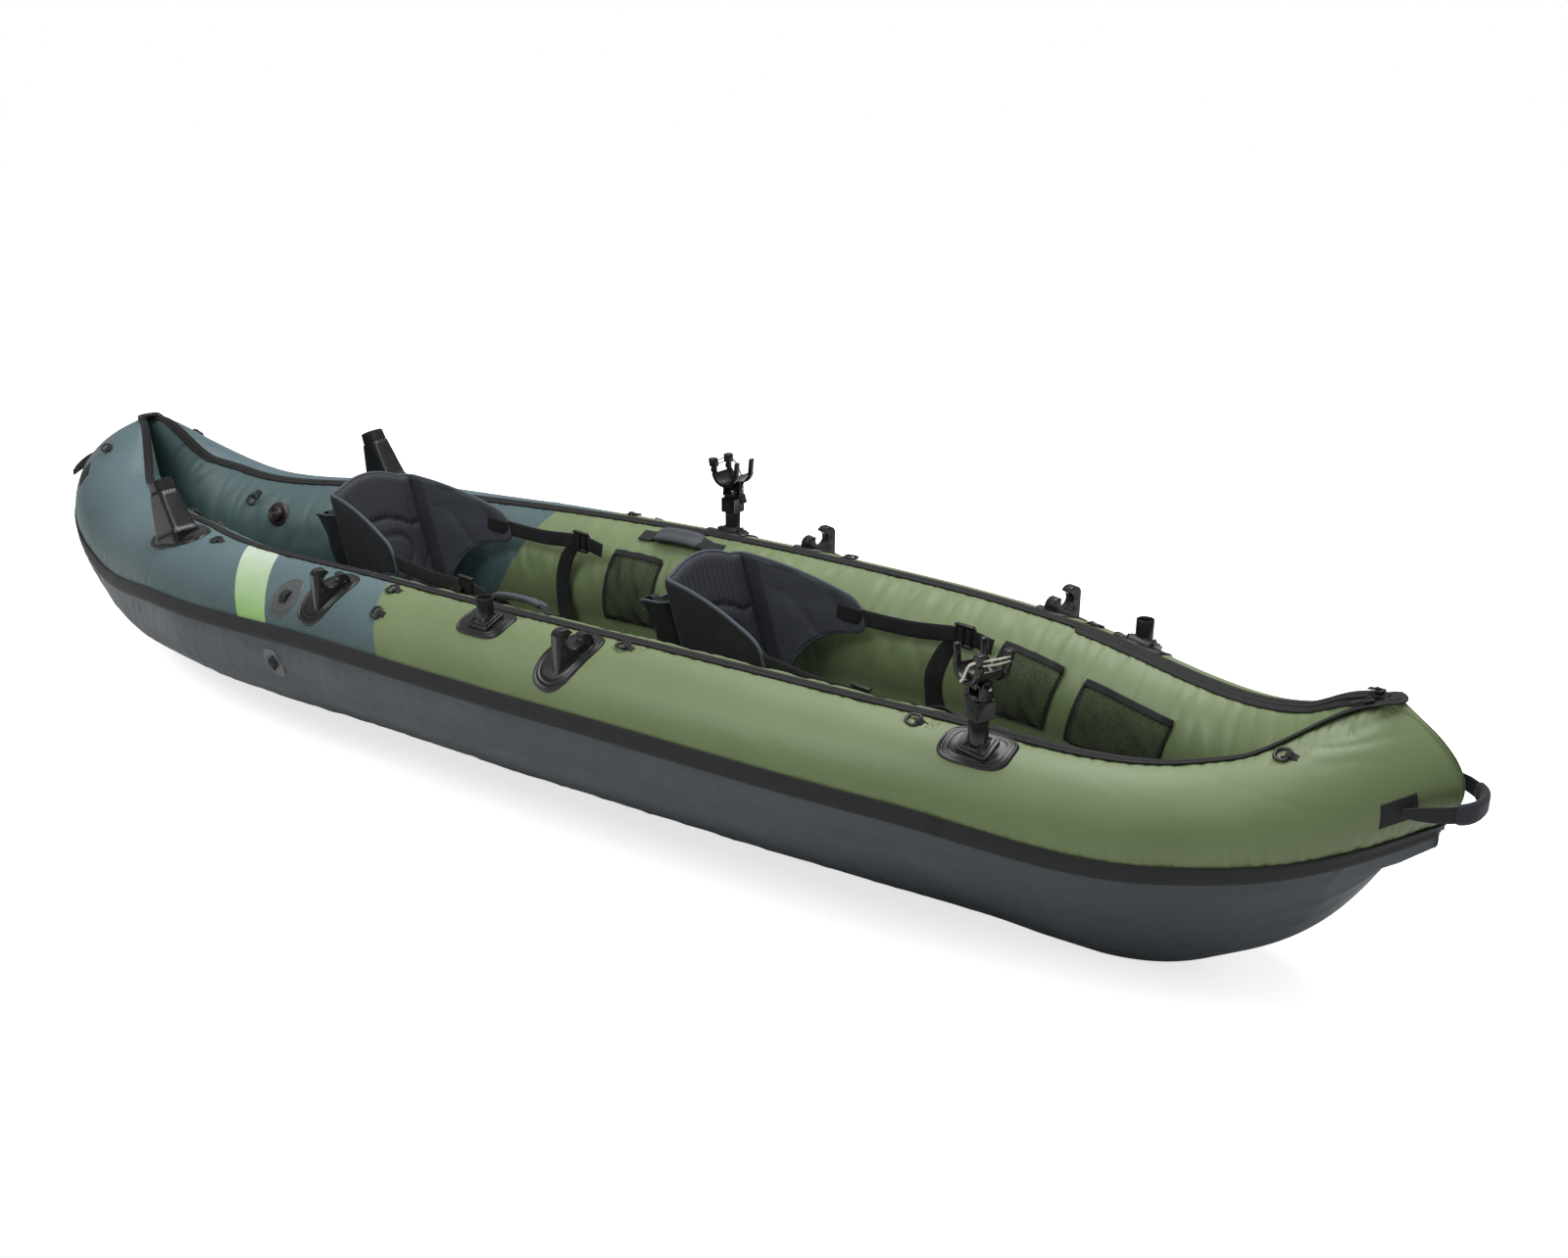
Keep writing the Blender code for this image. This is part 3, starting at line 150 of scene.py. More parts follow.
@functools.lru_cache(maxsize=None)
def section(t):
    """Widths and heights of the hull's cross-section at station t."""
    t = min(max(t, -1.0), 1.0)
    rounding = math.sqrt(max(1.0 - abs(t) ** STEM_ROUNDING, 0.0))
    breadth = max(smooth(STATIONS, HALF_BREADTH, t) * rounding, STEM_HALF_BREADTH)
    tall = smooth(TUBE_STATIONS, TUBE_RADIUS, t)
    wide = (tall ** -6 + (0.5 * breadth) ** -6) ** (-1 / 6)
    centre_z = smooth(STATIONS, TUBE_HEIGHT, t)
    bilge_z = centre_z + tall * math.sin(math.radians(BILGE_ANGLE))
    return SimpleNamespace(
        t=t,
        breadth=breadth,
        tall=tall,
        wide=wide,
        centre_y=breadth - wide,
        centre_z=centre_z,
        keel=min(max(smooth(STATIONS, KEEL_HEIGHT, t), 0.0), bilge_z - 0.002),
        zip=smooth(SEAM_STATIONS, ZIP_ANGLE, t),
        seam=smooth(SEAM_STATIONS, SEAM_ANGLE, t),
    )


def stem_x(t, angle):
    """Position along the boat, with the ends set back towards their tops."""
    setback = STEM_SETBACK_BOW if t > 0 else STEM_SETBACK_STERN
    return HALF_LENGTH * t - math.copysign(setback * abs(t) ** 8 * math.sin(math.radians(angle)) ** 2, t)


def tube_point(t, angle, side, lift=0.0):
    """Point on a side tube: angle 0 faces outboard and 90 straight up."""
    cut = section(t)
    turn = math.radians(angle)
    y = cut.centre_y + (cut.wide + lift) * math.cos(turn)
    z = cut.centre_z + (cut.tall + lift) * math.sin(turn)
    return Vector((stem_x(t, angle), side * y, z))


def along_hull(q):
    """Station for an even step q from -1 to 1, with the steps closing up towards the ends."""
    return math.sin(0.5 * math.pi * q)


def ease(low, high, value):
    """0 below low, 1 above high, and a soft change between them."""
    w = min(max((value - low) / (high - low), 0.0), 1.0)
    return w * w * (3 - 2 * w)


def curved(value, power):
    """Power of a number that keeps its sign, to round the corners of an outline."""
    return math.copysign(abs(value) ** power, value)


def hull_step(t):
    """The even step q of a station, kept off the very ends."""
    return 2 / math.pi * math.asin(max(min(t, 0.999), -0.999))


def frame_at(x, y, z, place):
    """Frame with the given axes at a place."""
    matrix = Matrix((x, y, z)).transposed().to_4x4()
    matrix.translation = place
    return matrix


def outward(q, angle, side):
    """Unit normal of a side tube's surface."""
    step = 0.002
    ahead = tube_point(along_hull(min(q + step, 1.0)), angle, side)
    behind = tube_point(along_hull(max(q - step, -1.0)), angle, side)
    t = along_hull(q)
    round_ = tube_point(t, angle + 0.5, side) - tube_point(t, angle - 0.5, side)
    return (ahead - behind).cross(round_).normalized() * -side


def tube_spot(t, angle, side):
    """Frame on the tube: x forward, z out of the cloth."""
    z = outward(hull_step(t), angle, side)
    x = (Vector((1, 0, 0)) - z * z.x).normalized()
    return frame_at(x, z.cross(x), z, tube_point(t, angle, side))


ZIP_REACH = 2 / math.pi * math.asin(COCKPIT_END)


def zip_surface(s, share, half_width):
    """Point of the hull's crown under the zip, with its turn over each end of the boat."""
    end = 1 if s > 0 else -1
    inside = min(abs(s), ZIP_REACH) * end
    t = along_hull(inside)
    cut = section(t)
    half_angle = min(math.degrees(half_width / cut.wide), WIDEST_ANGLE)
    point = tube_point(t, cut.zip + half_angle * share, -1)
    raised = max((t - 0.85) / (COCKPIT_END - 0.85), 0.0) ** 1.5 if end > 0 else ease(0.86, COCKPIT_END, -t)
    drawn = 0.62 * ease(0.80, COCKPIT_END, -t) + 0.42 * ease(0.88, COCKPIT_END, t)
    point.y -= tube_point(t, cut.zip, -1).y * drawn
    top = tube_point(0.9914 * end, 90.0, -1).z + ZIP_LIFT
    point.z += (top - point.z) * raised
    if abs(s) > ZIP_REACH:
        crown = tube_point(end, 90.0, -1)
        turn = 0.5 * math.pi * (abs(s) - ZIP_REACH) / (1 - ZIP_REACH)
        blend = math.sin(turn)
        ahead = -0.004 - 0.012 * share
        point.x += (crown.x + end * ahead - point.x) * blend
        point.y *= math.cos(turn)
        point.z += (crown.z + ZIP_PEAK - point.z) * min(1.0, 1.75 * blend)
    return point


def rim_shift(q, side):
    """From the round of the tube to the zip line, which rises and closes at the two ends of the boat."""
    t = along_hull(q)
    shift = zip_surface(q, 0.0, ZIP_HALF_WIDTH) - tube_point(t, section(t).zip, -1)
    return Vector((shift.x, -side * shift.y, shift.z))


def crease(across, along, seed, width=0.22):
    """1 in the bottom of a crease and 0 on smooth cloth; creases run the way 'along' grows."""
    value = noise.noise(Vector((across, along, seed)))
    return max(0.0, 1.0 - abs(value) / width) ** 2


def swell(x, y, z, size, seed=0.0):
    """Slow unevenness, from -1 to 1."""
    return noise.noise(Vector((x / size + seed, y / size, z / size)))


# Making pieces

def link(obj):
    bpy.context.scene.collection.objects.link(obj)


def new_piece(bm, name, material, body="hull", wall=0.0, sharp=None):
    mesh = bpy.data.meshes.new(name)
    bm.to_mesh(mesh)
    bm.free()
    mesh.materials.append(material)
    if sharp:
        mesh.shade_smooth()
        mesh.set_sharp_from_angle(angle=math.radians(sharp))
    obj = bpy.data.objects.new(name, mesh)
    link(obj)
    if wall:
        shell = obj.modifiers.new("wall", "SOLIDIFY")
        shell.thickness = wall
        shell.offset = -1.0
    if body:
        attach(obj, body)
    return obj


def cloth_piece(name, columns, lines, place, material, body="hull", wall=0.0, inside=None, closed=False):
    """Sheet laid out by place(u, v), which gives a point and its place on the flat cut in metres."""
    bm = bmesh.new()
    bmesh.ops.create_grid(bm, x_segments=columns, y_segments=lines, size=0.5)
    cut = {}
    for vert in bm.verts:
        vert.co, cut[vert] = place(vert.co.x + 0.5, vert.co.y + 0.5)
    layer = bm.loops.layers.uv.new("cut")
    for face in bm.faces:
        face.smooth = True
        for loop in face.loops:
            loop[layer].uv = cut[loop.vert]
    if closed:
        bmesh.ops.remove_doubles(bm, verts=bm.verts, dist=1e-6)
        bmesh.ops.dissolve_degenerate(bm, edges=bm.edges, dist=1e-7)
    bm.normal_update()
    if inside:
        total = 0.0
        for face in bm.faces:
            middle = face.calc_center_median()
            total += face.normal.dot(middle - inside(middle)) * face.calc_area()
        if total < 0:
            bmesh.ops.reverse_faces(bm, faces=bm.faces)
    return new_piece(bm, name, material, body, wall)


# Materials

def connect(tree, socket, value):
    if isinstance(value, bpy.types.NodeSocket):
        tree.links.new(value, socket)
    else:
        socket.default_value = value


def set_inputs(tree, made, **values):
    """Gives a node's inputs their numbers and colours, or links them to other nodes' outputs."""
    for key, value in values.items():
        connect(tree, made.inputs[key.replace("_", " ")], value)


def new_material(name):
    material = bpy.data.materials.new(name)
    material.use_nodes = True
    tree = material.node_tree
    return material, tree, tree.nodes["Principled BSDF"]


def node(tree, kind, **settings):
    """New node; the settings that start with in_ go to its inputs."""
    made = tree.nodes.new("ShaderNode" + kind)
    for key, value in settings.items():
        if key.startswith("in_"):
            connect(tree, made.inputs[key[3:].replace("_", " ")], value)
        else:
            setattr(made, key, value)
    return made


def group_start(name, inputs, outputs):
    """New node group; inputs are (name, start value), or None for a place."""
    tree = bpy.data.node_groups.new(name, "ShaderNodeTree")
    for label, value in inputs:
        kind = "NodeSocketVector" if value is None else "NodeSocketFloat"
        socket = tree.interface.new_socket(label, in_out="INPUT", socket_type=kind)
        if value is not None:
            socket.default_value = value
    for label in outputs:
        tree.interface.new_socket(label, in_out="OUTPUT", socket_type="NodeSocketFloat")
    return tree, tree.nodes.new("NodeGroupInput").outputs, tree.nodes.new("NodeGroupOutput")


def maths(tree, operation, *values):
    made = node(tree, "Math", operation=operation)
    for socket, value in zip(made.inputs, values):
        connect(tree, socket, value)
    return made.outputs[0]


def weave_group():
    """Plain weave on the cloth's own flat cut: thread pattern and a patchy mask."""
    inputs = [("Vector", None), ("Threads per metre", 1400.0), ("Patch size", 9.0)]
    tree, start, end = group_start("plain_weave", inputs, ["Height", "Patches"])
    scaled = node(tree, "VectorMath", operation="SCALE", in_Vector=start["Vector"],
                  in_Scale=start["Threads per metre"])
    split = node(tree, "SeparateXYZ", in_Vector=scaled.outputs[0])
    warp, weft = (maths(tree, "SINE", maths(tree, "MULTIPLY", split.outputs[i], math.pi)) for i in (0, 1))
    patches = node(tree, "TexNoise", in_Vector=start["Vector"], in_Scale=start["Patch size"], in_Detail=4.0,
                   in_Roughness=0.6)
    set_inputs(tree, end, Height=maths(tree, "MULTIPLY", maths(tree, "MULTIPLY", warp, weft), 0.5),
               Patches=patches.outputs["Fac"])
    return tree


def wear_group():
    """Fine scuffs and dust: a mask of thin scratches and one of soft smudges."""
    tree, start, end = group_start("scuffs", [("Vector", None), ("Scale", 60.0)], ["Scratches", "Smudges"])
    stretch = node(tree, "Mapping", in_Vector=start["Vector"], in_Scale=(1.0, 6.0, 3.0), in_Rotation=(0.4, 0.2, 0.7))
    lines = node(tree, "TexNoise", in_Vector=stretch.outputs[0], in_Scale=start["Scale"], in_Detail=6.0,
                 in_Roughness=0.7)
    ramp = node(tree, "ValToRGB", in_Fac=lines.outputs["Fac"])
    ramp.color_ramp.elements[0].position = 0.62
    ramp.color_ramp.elements[1].position = 0.70
    smudge = node(tree, "TexNoise", in_Vector=start["Vector"], in_Scale=maths(tree, "MULTIPLY", start["Scale"], 0.25),
                  in_Detail=3.0)
    set_inputs(tree, end, Scratches=ramp.outputs["Color"], Smudges=smudge.outputs["Fac"])
    return tree


WEAVE = weave_group()
WEAR = wear_group()


def place_group(tree, group, **values):
    made = tree.nodes.new("ShaderNodeGroup")
    made.node_tree = group
    set_inputs(tree, made, **values)
    return made.outputs


def mixed(tree, factor, first, second, blend="MIX"):
    made = node(tree, "Mix", data_type="RGBA", blend_type=blend)
    for number, value in ((0, factor), (6, first), (7, second)):
        connect(tree, made.inputs[number], (*value, 1.0) if isinstance(value, tuple) else value)
    return made.outputs[2]


def ranged(tree, value, low, high, to_low=0.0, to_high=1.0):
    return node(tree, "MapRange", in_Value=value, in_From_Min=low, in_From_Max=high, in_To_Min=to_low,
                in_To_Max=to_high).outputs["Result"]


def bumped(tree, height, distance):
    return node(tree, "Bump", in_Strength=1.0, in_Distance=distance, in_Height=height).outputs["Normal"]


def shade(colour, factor):
    return tuple(min(c * factor, 1.0) for c in colour)


def flat_cut(tree):
    """The piece's own flat cut, in metres."""
    return node(tree, "UVMap", uv_map="cut").outputs[0]


def woven_material(name, colour, roughness, threads, relief, sheen):
    """Cloth of one colour: weave, patchy tone and a soft sheen."""
    material, tree, shader = new_material(name)
    weave = place_group(tree, WEAVE, Vector=flat_cut(tree), Threads_per_metre=threads)
    tone = ranged(tree, weave["Patches"], 0.30, 0.70)
    base = mixed(tree, tone, shade(colour, 0.84), shade(colour, 1.16))
    thread = ranged(tree, weave["Height"], -0.5, 0.5, 0.90, 1.06)
    set_inputs(tree, shader, Base_Color=mixed(tree, 1.0, base, thread, "MULTIPLY"),
               Roughness=ranged(tree, weave["Patches"], 0.3, 0.7, roughness - 0.06, roughness + 0.06),
               Sheen_Weight=sheen, Sheen_Roughness=0.4, Specular_IOR_Level=0.3,
               Normal=bumped(tree, weave["Height"], relief))
    return material


def cover_material(name, zones):
    """Coated cloth whose colours change along lines across the tube.

    The flat cut's x is the place along the boat and its y the way round the tube, in metres.
    Each zone is (x at the seam, slope and bend of its edge, colour, colour at the crown); round the tube it blends
    from its colour low down, a painted shade, to its colour at the crown, a painted light.
    """
    material, tree, shader = new_material(name)
    cut = flat_cut(tree)
    along, round_ = node(tree, "SeparateXYZ", in_Vector=cut).outputs[:2]
    weave = place_group(tree, WEAVE, Vector=cut, Threads_per_metre=1100.0, Patch_size=5.0)
    colour = None
    for start, slope, bend, low, top in zones:
        # Painted shade low on the tube, rising to painted light towards the crown.
        shade_to_light_tint = mixed(tree, ranged(tree, round_, 0.03, 0.17), low, top)
        if colour is None:
            colour = shade_to_light_tint
            continue
        edge = maths(tree, "MULTIPLY_ADD", round_, slope, start)
        square = maths(tree, "MULTIPLY", maths(tree, "MULTIPLY", round_, round_), bend)
        past = maths(tree, "SUBTRACT", along, maths(tree, "ADD", edge, square))
        colour = mixed(tree, ranged(tree, past, -0.0004, 0.0004), colour, shade_to_light_tint)
    for output, low, high, dark, light in (("Patches", 0.30, 0.70, 0.90, 1.08), ("Height", -0.5, 0.5, 0.95, 1.04)):
        colour = mixed(tree, 1.0, colour, ranged(tree, weave[output], low, high, dark, light), "MULTIPLY")
    set_inputs(tree, shader, Base_Color=colour, Roughness=ranged(tree, weave["Patches"], 0.3, 0.7, 0.44, 0.54),
               Sheen_Weight=0.10, Sheen_Roughness=0.45, Normal=bumped(tree, weave["Height"], 0.00005))
    return material


def tarpaulin_material():
    material, tree, shader = new_material("coated_tarpaulin")
    cut = flat_cut(tree)
    weave = place_group(tree, WEAVE, Vector=cut, Threads_per_metre=900.0, Patch_size=4.0)
    scuffs = place_group(tree, WEAR, Vector=cut, Scale=22.0)
    tone = ranged(tree, weave["Patches"], 0.30, 0.70)
    base = mixed(tree, tone, shade(TARPAULIN, 0.86), shade(TARPAULIN, 1.12))
    worn = maths(tree, "MULTIPLY", scuffs["Scratches"], 0.10)
    set_inputs(tree, shader, Base_Color=mixed(tree, worn, base, (0.16, 0.17, 0.18)), Specular_IOR_Level=0.35,
               Roughness=ranged(tree, scuffs["Smudges"], 0.3, 0.7, 0.40, 0.50),
               Normal=bumped(tree, weave["Height"], 0.00006))
    return material


def webbing_material(name="black_webbing", colour=BLACK_WEBBING, rib=520.0):
    """Woven band: ribs along it and a herringbone slant."""
    material, tree, shader = new_material(name)
    cut = flat_cut(tree)
    along, across = node(tree, "SeparateXYZ", in_Vector=cut).outputs[:2]
    rib_wave = maths(tree, "SINE", maths(tree, "MULTIPLY", across, rib * math.pi))
    slant = maths(tree, "ADD", along, maths(tree, "ABSOLUTE", across))
    pick = maths(tree, "SINE", maths(tree, "MULTIPLY", slant, 2.0 * rib * math.pi))
    height = maths(tree, "ADD", maths(tree, "MULTIPLY", rib_wave, 0.6), maths(tree, "MULTIPLY", pick, 0.4))
    patches = node(tree, "TexNoise", in_Vector=cut, in_Scale=30.0, in_Detail=4.0).outputs["Fac"]
    base = mixed(tree, ranged(tree, patches, 0.3, 0.7), shade(colour, 0.8), shade(colour, 1.5))
    lit = ranged(tree, height, -1.0, 1.0, 0.7, 1.35)
    set_inputs(tree, shader, Base_Color=mixed(tree, 1.0, base, lit, "MULTIPLY"),
               Roughness=ranged(tree, patches, 0.3, 0.7, 0.62, 0.78), Sheen_Weight=0.04, Sheen_Roughness=0.5,
               Specular_IOR_Level=0.25, Normal=bumped(tree, height, 0.00015))
    return material


def object_noise(tree, scale, detail):
    """The object's own place, and a noise on it."""
    place = node(tree, "TexCoord").outputs["Object"]
    return place, node(tree, "TexNoise", in_Vector=place, in_Scale=scale, in_Detail=detail).outputs["Fac"]


def plastic_material(name, colour=(0.008, 0.008, 0.009), roughness=0.17, grain=0.00002):
    """Moulded plastic: gloss, a faint grain and light scuffs."""
    material, tree, shader = new_material(name)
    place, fine = object_noise(tree, 900.0, 2.0)
    scuffs = place_group(tree, WEAR, Vector=place, Scale=90.0)
    worn = maths(tree, "MULTIPLY", scuffs["Scratches"], 0.08)
    set_inputs(tree, shader, Base_Color=mixed(tree, worn, colour, (0.09, 0.09, 0.095)), Specular_IOR_Level=0.42,
               Roughness=ranged(tree, scuffs["Smudges"], 0.3, 0.7, roughness, roughness + 0.12),
               Normal=bumped(tree, fine, grain))
    return material


def bladder_material():
    material, tree, shader = new_material("bladder_vinyl")
    _, mottle = object_noise(tree, 12.0, 4.0)
    tone = ranged(tree, mottle, 0.3, 0.7)
    set_inputs(tree, shader, Base_Color=mixed(tree, tone, (0.13, 0.14, 0.15), (0.18, 0.19, 0.20)), Roughness=0.4,
               Normal=bumped(tree, mottle, 0.0004))
    return material


def thread_material(name, colour):
    material, tree, shader = new_material(name)
    place = node(tree, "TexCoord").outputs["Object"]
    twist = node(tree, "TexWave", in_Vector=place, in_Scale=700.0, in_Distortion=0.5).outputs["Fac"]
    set_inputs(tree, shader, Base_Color=mixed(tree, twist, shade(colour, 0.75), shade(colour, 1.2)), Roughness=0.6,
               Normal=bumped(tree, twist, 0.0001))
    return material


def steel_material():
    """Bright plated steel with fine turning marks."""
    material, tree, shader = new_material("bright_steel")
    _, marks = object_noise(tree, 1500.0, 3.0)
    set_inputs(tree, shader, Base_Color=mixed(tree, marks, (0.45, 0.45, 0.44), (0.66, 0.66, 0.65)), Metallic=1.0,
               Roughness=ranged(tree, marks, 0.3, 0.7, 0.22, 0.36), Normal=bumped(tree, marks, 0.00002))
    return material


# Each outer zone blends from a painted-shade colour low on the tube to a painted-light colour at the crown.
STARBOARD_ZONES = (
    (-9.0, 0.0, 0.0, TEAL_PAINTED_SHADE, TEAL_PAINTED_LIGHT),
    (-0.575, -0.72, -0.60, BAND_PAINTED_SHADE, BAND_PAINTED_HIGHLIGHT),
    (-0.488, -0.487, -1.18, TEAL_PAINTED_SHADE, TEAL_PAINTED_LIGHT),
    (-0.153, -0.63, 0.0, GREEN_PAINTED_SHADE, GREEN),
)
PORT_ZONES = (
    (-9.0, 0.0, 0.0, TEAL_PAINTED_SHADE, TEAL_PAINTED_LIGHT),
    (-0.153, -0.63, 0.0, GREEN_PAINTED_SHADE, GREEN),
)
INNER_ZONES = (
    (-9.0, 0.0, 0.0, TEAL, TEAL),
    (-0.380, 0.028, -1.84, GREEN, GREEN),
)
COVER = {"starboard": cover_material("starboard_cover_cloth", STARBOARD_ZONES),
         "port": cover_material("port_cover_cloth", PORT_ZONES)}
INNER = cover_material("inner_cover_cloth", INNER_ZONES)
BOTTOM = tarpaulin_material()
WEBBING = webbing_material()
BINDING = webbing_material("folded_binding", (0.0085, 0.0085, 0.009), 700.0)
GLOSS = plastic_material("gloss_black_plastic")
SATIN = plastic_material("satin_black_plastic", (0.012, 0.012, 0.013), 0.30, 0.00004)
SEAT_CLOTH = woven_material("navy_seat_cloth", NAVY, 0.72, 1500.0, 0.00008, 0.06)
QUILT_CLOTH = woven_material("navy_quilted_cloth", (0.030, 0.033, 0.042), 0.66, 1500.0, 0.00008, 0.10)
# The wings' cloth is the same navy made lighter, as painted light on the upright wings.
WING_CLOTH_PAINTED_LIGHT = woven_material("navy_wing_cloth_painted_light", (0.050, 0.055, 0.068), 0.58, 1500.0, 0.00007, 0.16)
BAG_CLOTH = woven_material("black_bag_cloth", (0.010, 0.0105, 0.0115), 0.36, 1300.0, 0.00010, 0.05)
BACK_CLOTH = woven_material("black_back_cloth", (0.0115, 0.012, 0.0135), 0.60, 1500.0, 0.00008, 0.05)
BLADDER = bladder_material()
PATCH = plastic_material("welded_patch_plastic", (0.060, 0.063, 0.066), 0.30, 0.00004)
VALVE_PLASTIC = plastic_material("brown_black_plastic", (0.020, 0.013, 0.012), 0.22)
STEEL = steel_material()
GOLD_THREAD = thread_material("ochre_thread", (0.300, 0.215, 0.070))
BLACK_THREAD = thread_material("black_thread", (0.010, 0.010, 0.011))
GREY_THREAD = thread_material("grey_thread", (0.060, 0.066, 0.078))
# Piping: dark binding cloth whose grey-blue colour is a painted sheen.
PIPING_PAINTED_SHEEN = webbing_material("dark_piping_painted_sheen", (0.052, 0.060, 0.075), 900.0)
ELASTIC = webbing_material("white_elastic", (0.420, 0.395, 0.340), 1500.0)
NET_THREAD = thread_material("black_net_thread", (0.007, 0.0075, 0.0075))


# Skins of the hull

HULL_COLUMNS = 700
TUBE_LINES = 44
INNER_LINES = 36


def inside_tube(side):
    return lambda p: Vector((p.x, side * section(p.x / HALF_LENGTH).centre_y, section(p.x / HALF_LENGTH).centre_z))


def outer_cover(side_name):
    """Cloth from the seam up to the zip, with its puckers and creases."""
    side = SIDES[side_name]

    def place(u, v):
        q = 2 * u - 1
        t = along_hull(q)
        cut = section(t)
        angle = cut.seam + 0.15 + (cut.zip - cut.seam - 0.15) * v
        point = tube_point(t, angle, side)
        if abs(t) > RIM_SHIFT_START:
            point += rim_shift(q, side) * (ease(0.80, 1.0, v) if t > 0 else ease(0.72, 0.98, v))
        arc = math.radians(angle - cut.seam) * 0.5 * (cut.tall + cut.wide)
        top = math.radians(cut.zip - angle) * 0.5 * (cut.tall + cut.wide)
        x = HALF_LENGTH * t
        near_seam = math.exp(-((arc - 0.014) / 0.030) ** 2) * min(1.0, arc / 0.012)
        near_zip = math.exp(-((top - 0.010) / 0.022) ** 2) * min(1.0, top / 0.008)
        depth = (0.0012 + 0.0008 * ease(0.3, 0.9, t)) * near_seam * crease(x / 0.017, arc / 0.30, 3.0 + side)
        depth += 0.0017 * near_zip * crease(x / 0.020, top / 0.20, 9.0 + side)
        depth += 0.0006 * crease(x / 0.20 + arc / 0.10, arc / 0.5, 14.0 + side, 0.10)
        bow = ease(0.88, 0.985, t)
        stern = ease(0.93, 0.99, -t)
        depth += 0.0044 * bow * ease(0.08, 0.16, arc) * crease(x / 0.040 + arc / 0.028, x / 0.3, 21.0, 0.30)
        depth += 0.0012 * stern * ease(0.06, 0.14, arc) * crease(x / 0.050 - arc / 0.040, x / 0.3, 25.0, 0.25)
        depth += 0.0060 * ease(0.915, 0.965, t) * ease(0.12, 0.18, arc) * crease(arc / 0.030, x / 0.035, 23.0, 0.34)
        depth -= 0.0008 * swell(x, arc * side, 0.0, 0.16, 5.0) * min(1.0, arc / 0.05) * min(1.0, top / 0.04)
        point -= outward(q, angle, side) * max(depth, -0.0008)
        point.y = side * max(side * point.y, 0.0)
        return point, (x, arc)

    skin = cloth_piece("outer_cover_skin_" + side_name, HULL_COLUMNS, TUBE_LINES, place, COVER[side_name],
                       wall=COVER_THICKNESS, inside=inside_tube(side))
    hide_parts("outer_cover_" + side_name)


def wall_start(cut):
    """Angle at which the inner wall starts, beside the zip."""
    return cut.zip + math.degrees(INNER_COVER_GAP / cut.wide)


def inner_cover(side_name):
    """Cloth from the zip down to the floor, gathered along the zip."""
    side = SIDES[side_name]
    reach = 0.992

    def place(u, v):
        q = reach * (2 * u - 1)
        t = along_hull(q)
        cut = section(t)
        start = wall_start(cut)
        skirt = max(v - WALL_SHARE, 0.0) / (1 - WALL_SHARE)
        angle = start + (INNER_FOOT_ANGLE - start) * min(v / WALL_SHARE, 1.0)
        point = tube_point(t, angle, side)
        if abs(t) > RIM_SHIFT_START:
            point += rim_shift(q, side) * (1 - ease(0.0, 0.60, v))
        x = HALF_LENGTH * t
        arc = math.radians(angle - start) * 0.5 * (cut.tall + cut.wide)
        deep = ease(0.010, 0.040, arc)
        wave = crease(x / 0.034 + 0.6 * swell(x, arc, 0, 0.2), arc / 0.16, 31.0 + side, 0.34)
        fine = crease(x / 0.013, arc / 0.09, 41.0 + side, 0.30)
        depth = 0.0046 * deep * wave + 0.0019 * fine * math.exp(-((arc - 0.02) / 0.05) ** 2)
        depth += 0.0012 * deep * fine * ease(0.12, 0.24, arc)
        depth -= 0.0010 * deep * swell(x, arc, side, 0.09, 8.0)
        deepest = 0.0032 - 0.0014 * ease(0.6, 0.75, t)
        depth = deepest * math.tanh(depth / deepest)
        shift = outward(q, angle, side) * depth
        if abs(t) < 0.9:
            point -= shift
        if skirt:
            blend = min(max((abs(t) - (FLOOR_END - 0.10)) / 0.08, 0.0), 1.0)
            foot = (1 - blend) * (FLOOR_TOP + 0.0006) + blend * (point.z - 0.012)
            point.z += (foot - point.z) * skirt
        point.y = side * max(side * point.y, 0.0005)
        return point, (x, arc + 0.03 * skirt)

    skin = cloth_piece("inner_cover_skin_" + side_name, HULL_COLUMNS, INNER_LINES, place, INNER,
                       wall=COVER_THICKNESS, inside=inside_tube(side))
    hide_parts("inner_cover_" + side_name)


def bottom_curve(t):
    """Half of the bottom's section as a function from 0 at the seam to 1 at the keel."""
    cut = section(t)
    turn = math.radians(BILGE_ANGLE)
    bilge = (cut.centre_y + cut.wide * math.cos(turn), cut.centre_z + cut.tall * math.sin(turn))
    slope = cut.tall * math.cos(turn) / (-cut.wide * math.sin(turn))
    flat = min(FLAT_HALF_WIDTH, 0.20 * bilge[0])
    control_y = max(bilge[0] - (bilge[1] - cut.keel) / slope, 0.25 * bilge[0])

    def at(w):
        if w < 0.36:
            angle = math.radians(cut.seam - 0.15 + (BILGE_ANGLE - cut.seam + 0.15) * w / 0.36)
            return cut.centre_y + cut.wide * math.cos(angle), cut.centre_z + cut.tall * math.sin(angle)
        if w < 0.86:
            s = (w - 0.36) / 0.50
            y = (1 - s) ** 2 * bilge[0] + 2 * s * (1 - s) * control_y + s * s * flat
            return y, (1 - s) ** 2 * bilge[1] + (2 * s * (1 - s) + s * s) * cut.keel
        return flat * (1 - (w - 0.86) / 0.14), cut.keel
    return at


